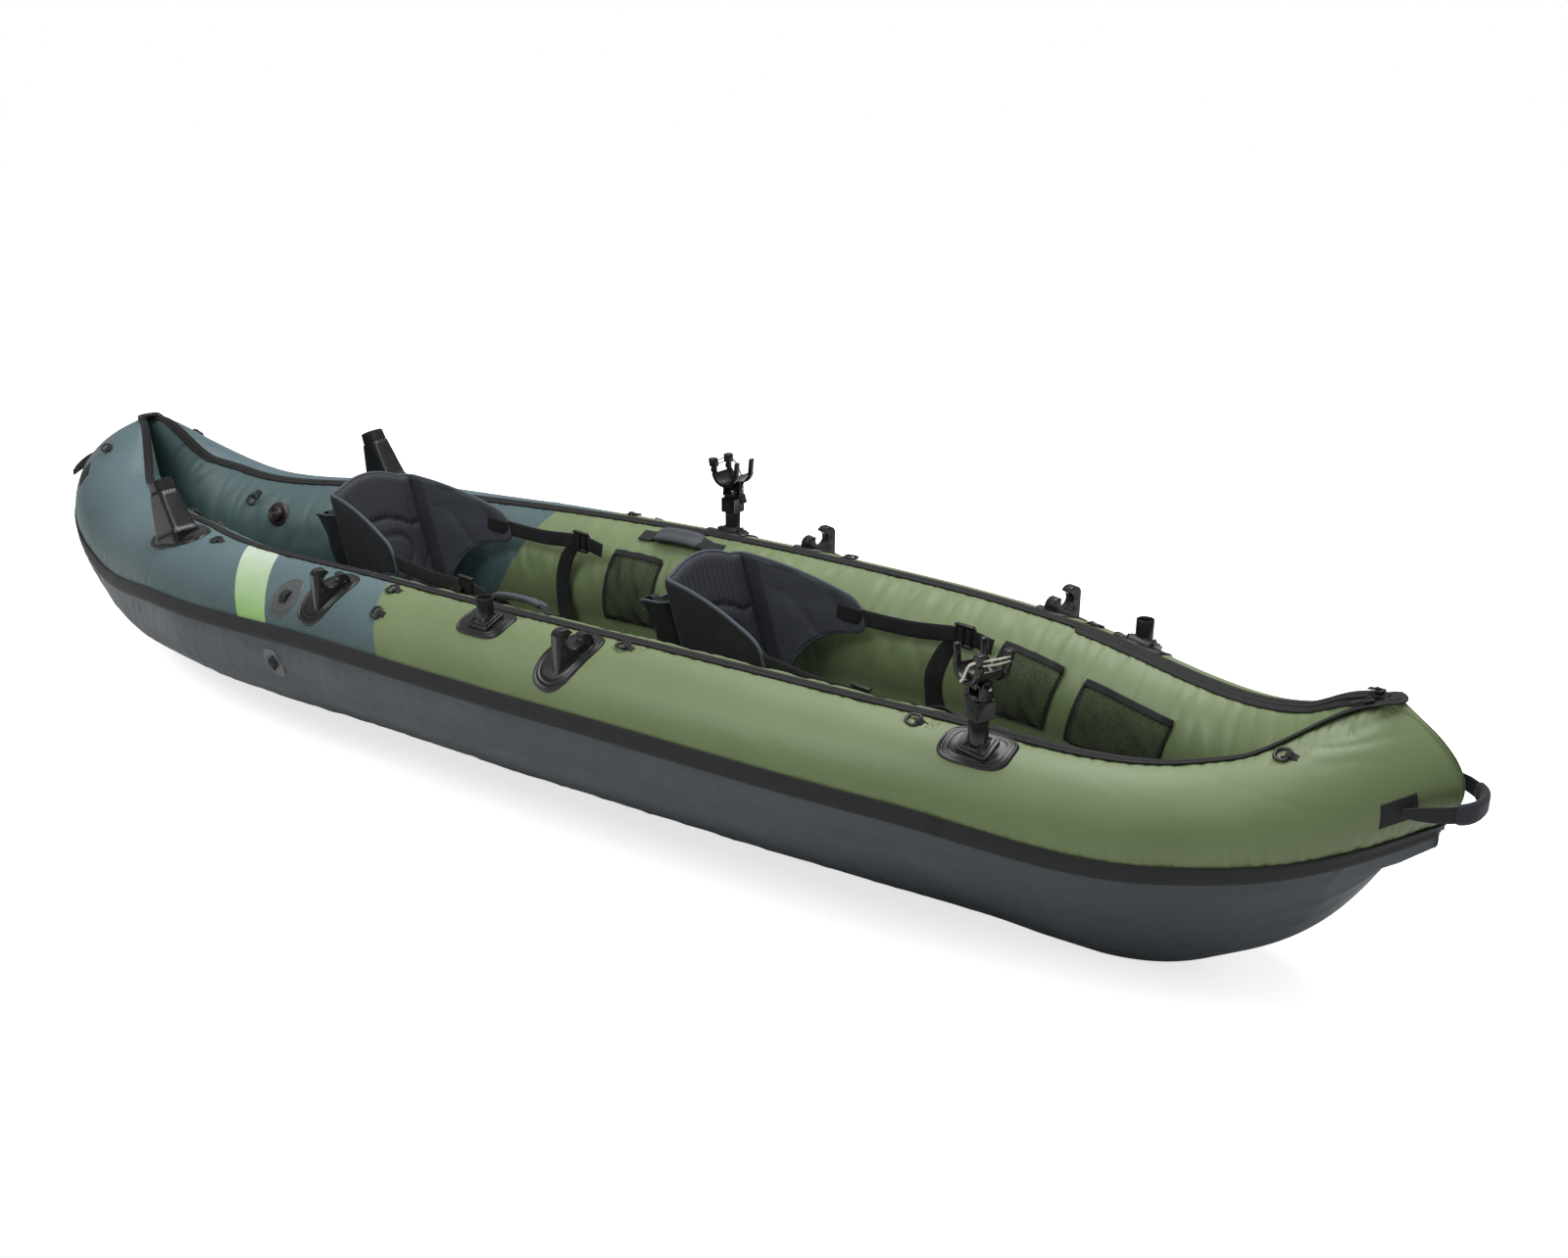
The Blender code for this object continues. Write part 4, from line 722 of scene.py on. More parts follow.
def hull_bottom():
    """Coated bottom in one sheet, from seam to seam."""
    curves = {}

    def place(u, v):
        q = 2 * u - 1
        t = along_hull(q)
        curve = curves.setdefault(t, bottom_curve(t))
        side = -1 if v < 0.5 else 1
        w = 1 - abs(2 * v - 1)
        y, z = curve(w)
        y2, z2 = curve(min(w + 0.02, 1.0))
        y1, z1 = curve(max(w - 0.02, 0.0))
        normal = Vector((0, -(z2 - z1), y2 - y1)).normalized()
        x = stem_x(t, section(t).seam)
        lengthwise = crease(w / 0.11 + 0.5 * swell(x, w, 0, 0.5), x / 0.55, 51.0 + side, 0.16)
        upright = crease(x / 0.09 + w * 1.5, w / 0.6, 57.0 + side, 0.14)
        tuck = crease(x / 0.028, w / 0.12, 63.0 + side, 0.22) * math.exp(-((w - 0.09) / 0.05) ** 2)
        clear = ease(0.03, 0.09, w) * (1 - ease(0.55, 0.80, w))
        depth = clear * (0.0018 * lengthwise + 0.0016 * upright) + 0.0014 * tuck
        depth *= 1 - ease(0.97, 1.0, abs(t))
        point = Vector((x, side * (y + normal.y * depth), z + normal.z * depth))
        return point, (x, side * (1 - w) * 0.5)

    skin = cloth_piece("bottom_skin", BOTTOM_COLUMNS, BOTTOM_LINES, place, BOTTOM, wall=BOTTOM_THICKNESS,
                       inside=lambda p: Vector((p.x, 0, 0.5)))
    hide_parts("hull_bottom")


outer_cover("starboard")
outer_cover("port")
inner_cover("starboard")
inner_cover("port")
hull_bottom()


# Bands along the hull

def rounded_band(half_width, low, high, soft=0.0008):
    """Closed outline of a flat band as (share of its half width, height)."""
    side = 1 - soft / half_width
    return ((-1.0, low), (-1.0, high - soft), (-side, high), (-0.5, high), (0.0, high), (0.5, high), (side, high),
            (1.0, high - soft), (1.0, low), (0.5, low), (0.0, low), (-0.5, low))


def strip_surface(s, share, half_width):
    """Point of the hull's surface beside the seam; share runs across the strip from -1 to 1."""
    t = along_hull(s)
    cut = section(t)
    half_angle = min(math.degrees(half_width / cut.tall), WIDEST_ANGLE)
    angle = cut.seam + half_angle * share
    point = tube_point(t, angle, -1)
    if share < 0:
        point.x = stem_x(t, cut.seam)
    return point


def band_loop(name, surface, half_width, outline, columns, material):
    """Band that runs round the whole boat on strip_surface or zip_surface."""
    step = 0.0015
    lines = len(outline)

    def place(u, v):
        starboard = u <= 0.5
        s = 4 * u - 1 if starboard else 3 - 4 * u
        share, height = outline[round(v * lines) % lines]
        point = surface(s, share, half_width)
        along = surface(min(s + step, 1.0), share, half_width) - surface(max(s - step, -1.0), share, half_width)
        across = surface(s, min(share + 0.05, 1.0), half_width) - surface(s, max(share - 0.05, -1.0), half_width)
        normal = along.cross(across).normalized()
        if abs(s) > 0.9999:
            normal = Vector((normal.x, 0.0, normal.z)).normalized()
        point = point + normal * height
        if not starboard:
            point.y = -point.y
        return point, (HALF_LENGTH * along_hull(s), share * half_width)

    return cloth_piece(name, columns, lines, place, material, closed=True,
                       inside=lambda p: Vector((p.x * 0.97, p.y * 0.97, p.z - 0.02)))


def rub_strip():
    band = band_loop("seam_band", strip_surface, SEAM_HALF_WIDTH,
                     rounded_band(SEAM_HALF_WIDTH, 0.0004, 0.0033), BAND_COLUMNS, WEBBING)
    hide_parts("rub_strip")


def zip_binding():
    outline = ((-1.0, 0.0004), (-1.0, 0.0022), (-0.92, 0.0030), (-0.42, 0.0032), (-0.30, 0.0024), (-0.22, 0.0040),
               (0.0, 0.0045), (0.22, 0.0040), (0.30, 0.0024), (0.42, 0.0032), (0.92, 0.0030), (1.0, 0.0022),
               (1.0, 0.0004), (0.0, 0.0004))
    band = band_loop("zip_and_binding", zip_surface, ZIP_HALF_WIDTH, outline, BAND_COLUMNS, BINDING)
    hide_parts("zip_binding")


rub_strip()
zip_binding()


# Shapes for moulded fittings

PAD_TOP_SHARE = 0.88  # of a pad's lines; the rest close its underside
PAD_SINK = 0.0012
FOOT_SINK = 0.0008

def row_at(rows, share):
    """The row before a share of the way through them, and how far on to the next."""
    at = share * (len(rows) - 1)
    i = min(int(at), len(rows) - 2)
    return i, at - i


def edges_sharper(bm, degrees):
    limit = math.radians(degrees)
    return [edge for edge in bm.edges if len(edge.link_faces) == 2 and edge.calc_face_angle(0.0) > limit]


def bevel_edges(bm, edges, width, segments, clamp=False):
    bmesh.ops.bevel(bm, geom=edges, offset=width, offset_type="OFFSET", segments=segments, profile=0.5,
                    affect="EDGES", material=-1, clamp_overlap=clamp)


def soften(bm, width, segments=2, degrees=30):
    bevel_edges(bm, edges_sharper(bm, degrees), width, segments, True)


def add_shape(bm, shape, matrix=None):
    """Adds one shape to a fitting's mesh."""
    if matrix:
        bmesh.ops.transform(shape, matrix=matrix, verts=shape.verts)
    mesh = bpy.data.meshes.new("shape")
    shape.to_mesh(mesh)
    shape.free()
    bm.from_mesh(mesh)
    bpy.data.meshes.remove(mesh)


def face_outwards(shape):
    bmesh.ops.recalc_face_normals(shape, faces=shape.faces)
    if shape.calc_volume(signed=True) < 0:
        bmesh.ops.reverse_faces(shape, faces=shape.faces)


def block(low, high, bevel=0.0, segments=2):
    shape = bmesh.new()
    bmesh.ops.create_cube(shape, size=1.0)
    size = Vector(high) - Vector(low)
    middle = (Vector(high) + Vector(low)) / 2
    bmesh.ops.scale(shape, vec=size, verts=shape.verts)
    bmesh.ops.translate(shape, vec=middle, verts=shape.verts)
    if bevel:
        soften(shape, bevel, segments)
    return shape


def turned(profile, steps=32):
    """Solid of revolution about z from a closed profile of (radius, height)."""
    shape = bmesh.new()
    verts = [shape.verts.new((radius, 0.0, height)) for radius, height in profile]
    edges = [shape.edges.new(pair) for pair in zip(verts, verts[1:])]
    bmesh.ops.spin(shape, geom=verts + edges, axis=(0, 0, 1), cent=(0, 0, 0), dvec=(0, 0, 0),
                   angle=2 * math.pi, steps=steps, use_merge=True, use_duplicate=False)
    bmesh.ops.remove_doubles(shape, verts=shape.verts, dist=1e-6)
    bmesh.ops.dissolve_degenerate(shape, edges=shape.edges, dist=1e-7)
    face_outwards(shape)
    return shape


def thickened(shape, faces, thickness, bevel, segments=2):
    """Gives flat faces their thickness, upwards, and softens the edges."""
    grown = bmesh.ops.extrude_face_region(shape, geom=faces)
    verts = [item for item in grown["geom"] if isinstance(item, bmesh.types.BMVert)]
    bmesh.ops.translate(shape, vec=(0, 0, thickness), verts=verts)
    face_outwards(shape)
    if bevel:
        soften(shape, bevel, segments)
    return shape


def plate(outline, thickness, bevel=0.0, segments=2):
    """Flat outline in x-y, thick along z about zero."""
    shape = bmesh.new()
    face = shape.faces.new([shape.verts.new((x, y, -0.5 * thickness)) for x, y in outline])
    return thickened(shape, [face], thickness, bevel, segments)


def ring_plate(outline, hole, thickness, bevel=0.0):
    """Flat ring between two outlines with the same number of points."""
    shape = bmesh.new()
    loops = []
    for points in (outline, hole):
        verts = [shape.verts.new((x, y, -0.5 * thickness)) for x, y in points]
        loops.append([shape.edges.new((verts[i - 1], verts[i])) for i in range(len(verts))])
    bmesh.ops.bridge_loops(shape, edges=loops[0] + loops[1])
    return thickened(shape, shape.faces[:], thickness, bevel)


def rod(points, radii, sides=12):
    """Round bar through a few points, each with its own radius, with rounded ends."""
    shape = bmesh.new()
    rings = []
    for i, (point, radius) in enumerate(zip(points, radii)):
        ahead = Vector(points[min(i + 1, len(points) - 1)])
        behind = Vector(points[max(i - 1, 0)])
        turn = (ahead - behind).to_track_quat("Z", "Y").to_matrix().to_4x4()
        turn.translation = Vector(point)
        ring = bmesh.ops.create_circle(shape, cap_ends=False, radius=radius, segments=sides, matrix=turn)["verts"]
        rings.append(ring)
    for a, b in zip(rings, rings[1:]):
        edges = [edge for edge in shape.edges if all(v in a for v in edge.verts) or all(v in b for v in edge.verts)]
        bmesh.ops.bridge_loops(shape, edges=edges)
    bmesh.ops.holes_fill(shape, edges=[edge for edge in shape.edges if edge.is_boundary], sides=sides)
    face_outwards(shape)
    return shape


def pad_height(share):
    """Height of a welded pad from its middle (0) to its rim (1)."""
    rim = math.exp(-((share - 0.93) / 0.030) ** 2) * 0.0018
    inner = math.exp(-((share - 0.80) / 0.022) ** 2) * 0.0009
    step = 0.0010 * (1 - ease(0.66, 0.74, share))
    edge = math.sqrt(max(1 - max((share - 0.95) / 0.05, 0.0) ** 2, 0.0))
    return (0.0020 + rim + inner + step + PAD_SINK) * edge - PAD_SINK


def welded_pad(name, x, angle, side, half_length, half_width, replaced, turned_by, power=0.8):
    """Rounded pad on a tube, swung by some degrees on the cloth."""
    radius = section(x / HALF_LENGTH).tall
    swing = math.radians(turned_by)

    def place(u, v):
        turn = 2 * math.pi * u
        share = min(v / PAD_TOP_SHARE, 1.0)
        height = pad_height(share)
        if v > PAD_TOP_SHARE:
            share = 1 - (v - PAD_TOP_SHARE) / (1 - PAD_TOP_SHARE)
            height = -PAD_SINK
        cosine, sine = math.cos(turn), math.sin(turn)
        along = curved(cosine, power) * half_length * share
        round_ = curved(sine, power) * half_width * share
        along, round_ = (along * math.cos(swing) + round_ * math.sin(swing),
                         round_ * math.cos(swing) - along * math.sin(swing))
        here = angle + math.degrees(round_ / radius)
        return tube_point((x + along) / HALF_LENGTH, here, side, height), (along, round_)

    middle = tube_point(x / HALF_LENGTH, angle, side, -0.0006)
    piece = cloth_piece(name, 64, 50, place, GLOSS, closed=True, inside=lambda p: middle)
    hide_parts(*replaced)


def crown_drop(x, y):
    """Height of the tube's top surface at a place seen from above."""
    t = x / HALF_LENGTH
    cut = section(t)
    share = (abs(y) - cut.centre_y) / cut.wide
    return cut.centre_z + cut.tall * math.sqrt(max(1 - share * share, 0.0))


def rod_mount(side_name, label):
    """Pad with a square plinth, a ribbed collar and the post that a rod holder stands in."""
    side = SIDES[side_name]
    x, angle = ROD_MOUNTS[label]
    base = tube_point(x / HALF_LENGTH, angle, side)
    name = "rod_mount_" + side_name + "_" + label
    welded_pad(name + "_pad", x, angle, side, 0.056, 0.039, (name,), 0.0, 0.58)
    bm = bmesh.new()
    plinth = block((-0.0270, -0.0245, -0.0040), (0.0270, 0.0245, 0.0085))
    vertical = [e for e in plinth.edges if abs(e.verts[0].co.z - e.verts[1].co.z) > 0.01]
    bevel_edges(plinth, vertical, 0.008, 5)
    top = [e for e in edges_sharper(plinth, 60) if all(v.co.z > 0.008 for v in e.verts)]
    bevel_edges(plinth, top, 0.0016, 3)
    tilted = tube_spot(x / HALF_LENGTH, angle, side)
    add_shape(bm, plinth, tilted)
    step = block((-0.0215, -0.0195, 0.0080), (0.0215, 0.0195, 0.0108), 0.0012, 3)
    add_shape(bm, step, tilted)
    post = turned(((0.0, 0.006), (0.0126, 0.006), (0.0126, 0.0450), (0.0132, 0.0460), (0.0150, 0.0460),
                   (0.0155, 0.0454), (0.0155, 0.0010), (0.0, 0.0010)), 40)
    add_shape(bm, post, Matrix.Translation(base))
    collar = turned(((0.0, 0.0), (0.0190, 0.0), (0.0190, 0.0118), (0.0178, 0.0135), (0.0, 0.0135)), 40)
    add_shape(bm, collar, tilted)
    for around in range(4):
        rib = block((-0.0012, 0.0150, 0.0100), (0.0012, 0.0225, 0.0165), 0.0004)
        for vert in rib.verts:
            if vert.co.y > 0.019 and vert.co.z > 0.015:
                vert.co.z = 0.0115
        add_shape(bm, rib, tilted @ Matrix.Rotation(math.pi * (0.25 + 0.5 * around), 4, "Z"))
    piece = new_piece(bm, name + "_post", GLOSS, sharp=40)


SOCKET_LEAN = 0.42


def motor_mount(side_name):
    """Leaning square socket with a flared foot, a round bore and a ribbed collar, on its pad."""
    side = SIDES[side_name]
    x, angle = MOTOR_MOUNT
    name = "motor_mount_" + side_name
    welded_pad(name + "_pad", x, angle, side, 0.088, 0.046, (name,), -24.0)
    base = tube_point(x / HALF_LENGTH, angle, side)
    lean = Matrix.Translation(base) @ Matrix.Rotation(-SOCKET_LEAN, 4, "Y")
    levels = ((0.045, 0.0, 0.0, 0.0, 1.0), (0.045, 0.0172, 0.0172, 0.0, 1.0), (0.1185, 0.0172, 0.0172, 0.0, 1.0),
              (0.1200, 0.0182, 0.0182, 0.0, 1.0), (0.1200, 0.0215, 0.0205, 0.0, 0.8),
              (0.1188, 0.0228, 0.0215, 0.0, 0.6), (0.0965, 0.0234, 0.0220, 0.0, 0.45),
              (0.0958, 0.0222, 0.0210, 0.0, 0.40), (0.0945, 0.0222, 0.0210, 0.0, 0.40),
              (0.0935, 0.0240, 0.0222, -0.001, 0.30), (0.060, 0.0305, 0.0245, -0.003, 0.22),
              (0.030, 0.0368, 0.0268, -0.005, 0.20), (0.006, 0.0420, 0.0285, -0.006, 0.20),
              (0.001, 0.0460, 0.0310, -0.006, 0.26), (-0.016, 0.0500, 0.0340, -0.006, 0.30))

    def place(u, v):
        turn = 2 * math.pi * u + 0.25 * math.pi
        step = round(v * (3 * len(levels) - 3))
        i = min(step // 3, len(levels) - 2)
        w = step / 3 - i
        height, long, wide, shift, power = (a * (1 - w) + b * w for a, b in zip(levels[i], levels[i + 1]))
        cosine, sine = math.cos(turn), math.sin(turn)
        point = lean @ Vector((curved(cosine, power) * long + shift,
                               curved(sine, power) * wide, height))
        if i >= len(levels) - 2 and w > 0.3:
            point.z = crown_drop(point.x, point.y) - FOOT_SINK
        return point, (long * turn, height)

    axis = lean @ Vector((0, 0, 0.03))
    cone = cloth_piece(name + "_socket", 128, 3 * len(levels) - 3, place, GLOSS, closed=True,
                       inside=lambda p: axis)
    cone.data.set_sharp_from_angle(angle=math.radians(40))
    ribs = bmesh.new()
    for around in range(4):
        for k in range(3):
            rib = block((-0.0011, 0.0205, 0.0900), (0.0011, 0.0238, 0.0975), 0.0005, 1)
            spin = Matrix.Rotation(around * math.pi / 2, 4, "Z")
            add_shape(ribs, rib, lean @ spin @ Matrix.Translation(((k - 1) * 0.0085, 0, 0)))
    new_piece(ribs, name + "_ribs", GLOSS, sharp=40)


CLIP_BORE = 0.0145
CLIP_ANGLE = 60.0
CLIP_PAD_ANGLE = 57.0


def paddle_clip(side_name, number, x):
    """Upright open jaw with bosses on both of its faces, on its pad."""
    side = SIDES[side_name]
    name = "paddle_clip_" + side_name + "_" + str(number)
    welded_pad(name + "_pad", x, CLIP_PAD_ANGLE, side, 0.044, 0.072, (name,), -16.0 * side)
    base = tube_point((x - 0.010 * side) / HALF_LENGTH, CLIP_ANGLE, side)
    turns = [math.radians(25.0 - step * 11.9) for step in range(25)]
    outline = [(-0.036, -0.030), (0.036, -0.002), (0.036, 0.018), (0.034, 0.026), (0.030, 0.0315), (0.024, 0.035),
               (0.017, 0.036)]
    outline += [(-0.002 + CLIP_BORE * math.cos(turn), 0.027 + CLIP_BORE * math.sin(turn)) for turn in turns]
    outline += [(-0.0072, 0.0455), (-0.0115, 0.0490), (-0.018, 0.0502), (-0.026, 0.0495), (-0.032, 0.0465),
                (-0.036, 0.0400)]
    inboard = Vector((-0.300 * side, -0.954 * side, 0))
    up = Vector((0, 0, 1))
    stand = frame_at(inboard, up, inboard.cross(up), base)
    bm = bmesh.new()
    jaw = plate(outline, 0.020, 0.0014, 3)
    bmesh.ops.transform(jaw, matrix=stand, verts=jaw.verts)
    for vert in jaw.verts:
        surface = crown_drop(vert.co.x, vert.co.y)
        if vert.co.z < max(surface, base.z - 0.02) + 0.001:
            vert.co.z = surface - FOOT_SINK
    add_shape(bm, jaw)
    for z_side in (-1, 1):
        for px, py, radius in ((-0.022, 0.030, 0.0052), (0.0245, 0.016, 0.0045), (-0.022, 0.008, 0.0045)):
            boss = turned(((0.0, 0.0), (radius, 0.0), (radius, 0.0008), (radius * 0.8, 0.0016),
                           (radius * 0.55, 0.0008), (0.0, 0.0008)), 20)
            spin = Matrix.Rotation(0 if z_side > 0 else math.pi, 4, "X")
            add_shape(bm, boss, stand @ Matrix.Translation((px, py, z_side * 0.0098)) @ spin)
    piece = new_piece(bm, name + "_jaws", GLOSS, sharp=35)


for side_name in SIDES:
    for label in ROD_MOUNTS:
        rod_mount(side_name, label)
    motor_mount(side_name)
    for number, x in enumerate(PADDLE_CLIPS[side_name], 1):
        paddle_clip(side_name, number, x)


# Webbing, cords and stitches

def spline(points, count):
    """Evenly numbered points on a smooth curve through the given ones."""
    points = [Vector(p) for p in points]
    row = [2 * points[0] - points[1]] + points + [2 * points[-1] - points[-2]]
    made = []
    for k in range(count):
        i, w = row_at(points, k / (count - 1))
        a, b, c, d = row[i:i + 4]
        made.append(0.5 * (2 * b + (c - a) * w + (2 * a - 5 * b + 4 * c - d) * w * w
                           + (3 * b - a - 3 * c + d) * w ** 3))
    return made


def nearest(points):
    """Function that gives the nearest of some points to a place."""
    return lambda p: min(points, key=lambda m: (m - p).length_squared)


def ribbon(name, path, faces, half_width, thickness, material, body="hull", columns=60):
    """Flat band along a path; faces gives the way it faces at each path point, half_width may be a list."""
    middle = spline(path, columns - 1)
    facing = spline(faces, columns - 1)
    widths = [half_width] * 2 if isinstance(half_width, float) else list(half_width)
    wide = [p.x for p in spline([(w, 0, 0) for w in widths], columns - 1)]
    lengths = [0.0]
    for a, b in zip(middle, middle[1:]):
        lengths.append(lengths[-1] + (b - a).length)
    outline = rounded_band(0.012, 0.0, thickness, 0.4 * thickness)
    count = len(outline)

    def place(u, v):
        step = round(u * columns)
        i = min(max(step - 1, 0), columns - 2)
        share, height = outline[round(v * count) % count]
        if step in (0, columns):
            height = 0.5 * thickness
        along = (middle[min(i + 1, columns - 2)] - middle[max(i - 1, 0)]).normalized()
        across = facing[i].cross(along).normalized()
        up = along.cross(across)
        spot = middle[i] + across * share * wide[i] + up * height
        return spot, (lengths[i], share * wide[i])

    piece = cloth_piece(name, columns, count, place, material, body, closed=True,
                        inside=nearest(middle))
    return piece


def cord_piece(name, points, radius, material, body="hull", closed=False):
    """Round cord or piping along a smooth path."""
    curve = bpy.data.curves.new(name, "CURVE")
    curve.dimensions = "3D"
    curve.bevel_depth = radius
    curve.bevel_resolution = 3
    curve.use_fill_caps = True
    line = curve.splines.new("POLY")
    line.points.add(len(points) - 1)
    for target, point in zip(line.points, points):
        target.co = (*point, 1.0)
    line.use_cyclic_u = closed
    line.use_smooth = True
    curve.materials.append(material)
    obj = bpy.data.objects.new(name, curve)
    link(obj)
    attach(obj, body)


def stitches(name, lines, material, body="hull", pitch=0.0036, size=(0.0013, 0.00045, 0.0003)):
    """Rows of raised thread; each line is a list of (point, way out of the cloth)."""
    bm = bmesh.new()
    for line in lines:
        carried = 0.5 * pitch
        for (a, out_a), (b, out_b) in zip(line, line[1:]):
            length = (b - a).length
            if length < 1e-6:
                continue
            while carried < length:
                w = carried / length
                out = out_a.lerp(out_b, w).normalized()
                along = (b - a).normalized()
                across = out.cross(along).normalized()
                turn = frame_at(along, across, along.cross(across), a.lerp(b, w))
                shape = Matrix.Diagonal((*size, 1.0))
                bmesh.ops.create_icosphere(bm, subdivisions=1, radius=1.0, matrix=turn @ shape)
                carried += pitch
            carried -= length
    piece = new_piece(bm, name, material, body, sharp=80)


def boxed_cross(spot, half_long, half_round):
    """Lines of a sewn box with its cross; spot(along, round) gives (point, way out)."""
    corners = ((-1, -1), (1, -1), (1, 1), (-1, 1), (-1, -1))

    def run(a, b):
        return [spot(half_long * (a[0] + (b[0] - a[0]) * k / 4), half_round * (a[1] + (b[1] - a[1]) * k / 4))
                for k in range(5)]

    lines = [run(a, b) for a, b in zip(corners, corners[1:])]
    return lines + [run((-1, -1), (1, 1)), run((-1, 1), (1, -1))]


def tube_cloth(x, angle, side, lift=0.0004):
    """Function of (metres along, metres round) that gives a point on the tube's cloth and its way out."""
    radius = section(x / HALF_LENGTH).tall

    def spot(along, round_):
        t = (x + along) / HALF_LENGTH
        here = angle + math.degrees(round_ / radius)
        out = outward(hull_step(t), here, side)
        return tube_point(t, here, side) + out * lift, out
    return spot


def lifted_path(spot, steps):
    """Path over cloth through (place, lift) steps; spot(place) gives (point, way out)."""
    path, ways = [], []
    for step, lift in steps:
        point, out = spot(step)
        path.append(point + out * lift)
        ways.append(out)
    return path, ways


# Lashing rings

RING_HALF_LONG = 0.0105
RING_HALF_WIDE = 0.0114


def joint_of(body):
    return next(j for j in frame["record"]["behaviour"]["joints"] if j["child"] == body)


def ring_frame(node_name, body):
    """The ring's bar lies along y through the origin, its plate along -x, and z points out of the cloth."""
    joint = joint_of(body)
    y = Vector(joint["axis"]).normalized()
    place = Vector(joint["pos_m"])
    node_ = NODES[node_name]
    corners = [node_.matrix_world @ vert.co for vert in node_.data.vertices]
    x = place - sum(corners, Vector()) / len(corners)
    x = (x - y * x.dot(y)).normalized()
    z = x.cross(y)
    if z.z < 0:
        y, z = -y, -z
    return frame_at(x, y, z, place)


def ring_loop(share):
    """Middle line of the ring's bar and bow."""
    turn = 2 * math.pi * share
    cosine, sine = math.cos(turn), math.sin(turn)
    x = -RING_HALF_LONG + RING_HALF_LONG * curved(cosine, 0.62)
    y = RING_HALF_WIDE * curved(sine, 0.62)
    return Vector((x, y * (1 - 0.20 * min(max(-x - 0.008, 0.0) / 0.013, 1.0)), 0.0))


def lashing_ring(side_name, label):
    """Moulded ring with rounded corners, and the webbing keeper over its bar."""
    name = "lashing_ring_" + side_name + "_" + label
    body = "ring_" + side_name + "_" + label
    local = ring_frame(name, body)

    def place(u, v):
        middle = ring_loop(u)
        along = (ring_loop(u + 0.004) - ring_loop(u - 0.004)).normalized()
        outer = along.cross(Vector((0, 0, 1)))
        turn = 2 * math.pi * v
        point = middle + outer * (0.0026 * math.cos(turn)) + Vector((0, 0, 0.0023 * math.sin(turn)))
        return local @ point, (0.07 * u, 0.013 * v)

    def inside(p):
        q = local.inverted() @ p
        turn = math.atan2(q.y / RING_HALF_WIDE, (q.x + RING_HALF_LONG) / RING_HALF_LONG)
        return local @ ring_loop(turn / (2 * math.pi))

    ring = cloth_piece(name + "_bow", 64, 12, place, SATIN, body, closed=True, inside=inside)
    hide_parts(name)
    path = [local @ Vector((x, 0, z)) for x, z in ((-0.0125, -0.0040), (-0.0078, -0.0036), (-0.0042, -0.0010),
                                                   (0.0, 0.0028), (0.0042, -0.0010), (0.0078, -0.0036),
                                                   (0.0125, -0.0040))]
    ways = [local.to_3x3() @ Vector(way) for way in ((0, 0, 1), (-0.3, 0, 1), (-1, 0, 0.6), (0, 0, 1),
                                                     (1, 0, 0.6), (0.3, 0, 1), (0, 0, 1))]
    ribbon(name + "_keeper", path, ways, 0.0062, 0.0012, WEBBING, columns=30)


TAB_THREAD = []
for side_name in SIDES:
    for label, (x, angle) in RINGS.items():
        lashing_ring(side_name, label)
        for step in (-0.0215, 0.0215):
            TAB_THREAD += boxed_cross(tube_cloth(x + step, angle, SIDES[side_name]), 0.0075, 0.0085)
stitches("lashing_tab_stitching", TAB_THREAD, GOLD_THREAD, pitch=0.0030, size=(0.0011, 0.00038, 0.00024))


# Carry handles

HANDLES = {"bow": (0.392, ((1.566, 0.0885), (1.584, 0.079), (1.615, 0.060), (1.640, 0.033), (1.647, 0.0))),
           "stern": (0.390, ((1.528, 0.1720), (1.569, 0.132), (1.606, 0.087), (1.634, 0.042), (1.642, 0.0)))}


def carry_handle(end):
    """Webbing loop, with a padded sleeve round the bow's."""
    sign = 1 if end == "bow" else -1
    height, half = HANDLES[end]
    body = end + "_handle_loop"
    path = [(sign * x, -y, height) for x, y in half] + [(sign * x, y, height) for x, y in half[-2::-1]]
    middle = [Vector(p) for p in path]
    ways = []
    for i, point in enumerate(middle):
        along = middle[min(i + 1, len(middle) - 1)] - middle[max(i - 1, 0)]
        way = Vector((along.y, -along.x, 0.0)).normalized()
        ways.append(way if way.dot(point - Vector((sign * 1.4, 0, height))) > 0 else -way)
    widths = (0.0060, 0.0100, 0.0125, 0.0125, 0.0125, 0.0125, 0.0125, 0.0100, 0.0060)
    loop = ribbon(end + "_handle_webbing", middle, ways, widths, 0.0024, WEBBING, body, 90)
    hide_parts(end + "_handle")
    if end == "bow":
        grip_path = spline(middle, 91)[26:65]
        grip_ways = spline(ways, 91)[26:65]

        def place(u, v):
            i = min(round(u * 38), 38)
            turn = 2 * math.pi * v
            end_pinch = math.sqrt(max(1 - abs(2 * u - 1) ** 14, 0.0))
            ridge = 1 + 0.05 * math.cos(6 * turn)
            out = 0.0062 * math.sin(turn) * ridge * end_pinch
            across = 0.0165 * curved(math.cos(turn), 0.6) * end_pinch
            crumple = 0.0006 * crease(u * 9, v * 3, 77.0, 0.3)
            return (grip_path[i] + grip_ways[i].normalized() * (out + 0.0008 - crumple) + Vector((0, 0, across)),
                    (0.14 * u, 0.07 * v))

        grip = cloth_piece("bow_handle_grip", 38, 40, place, SEAT_CLOTH, body, closed=True,
                           inside=nearest(grip_path))


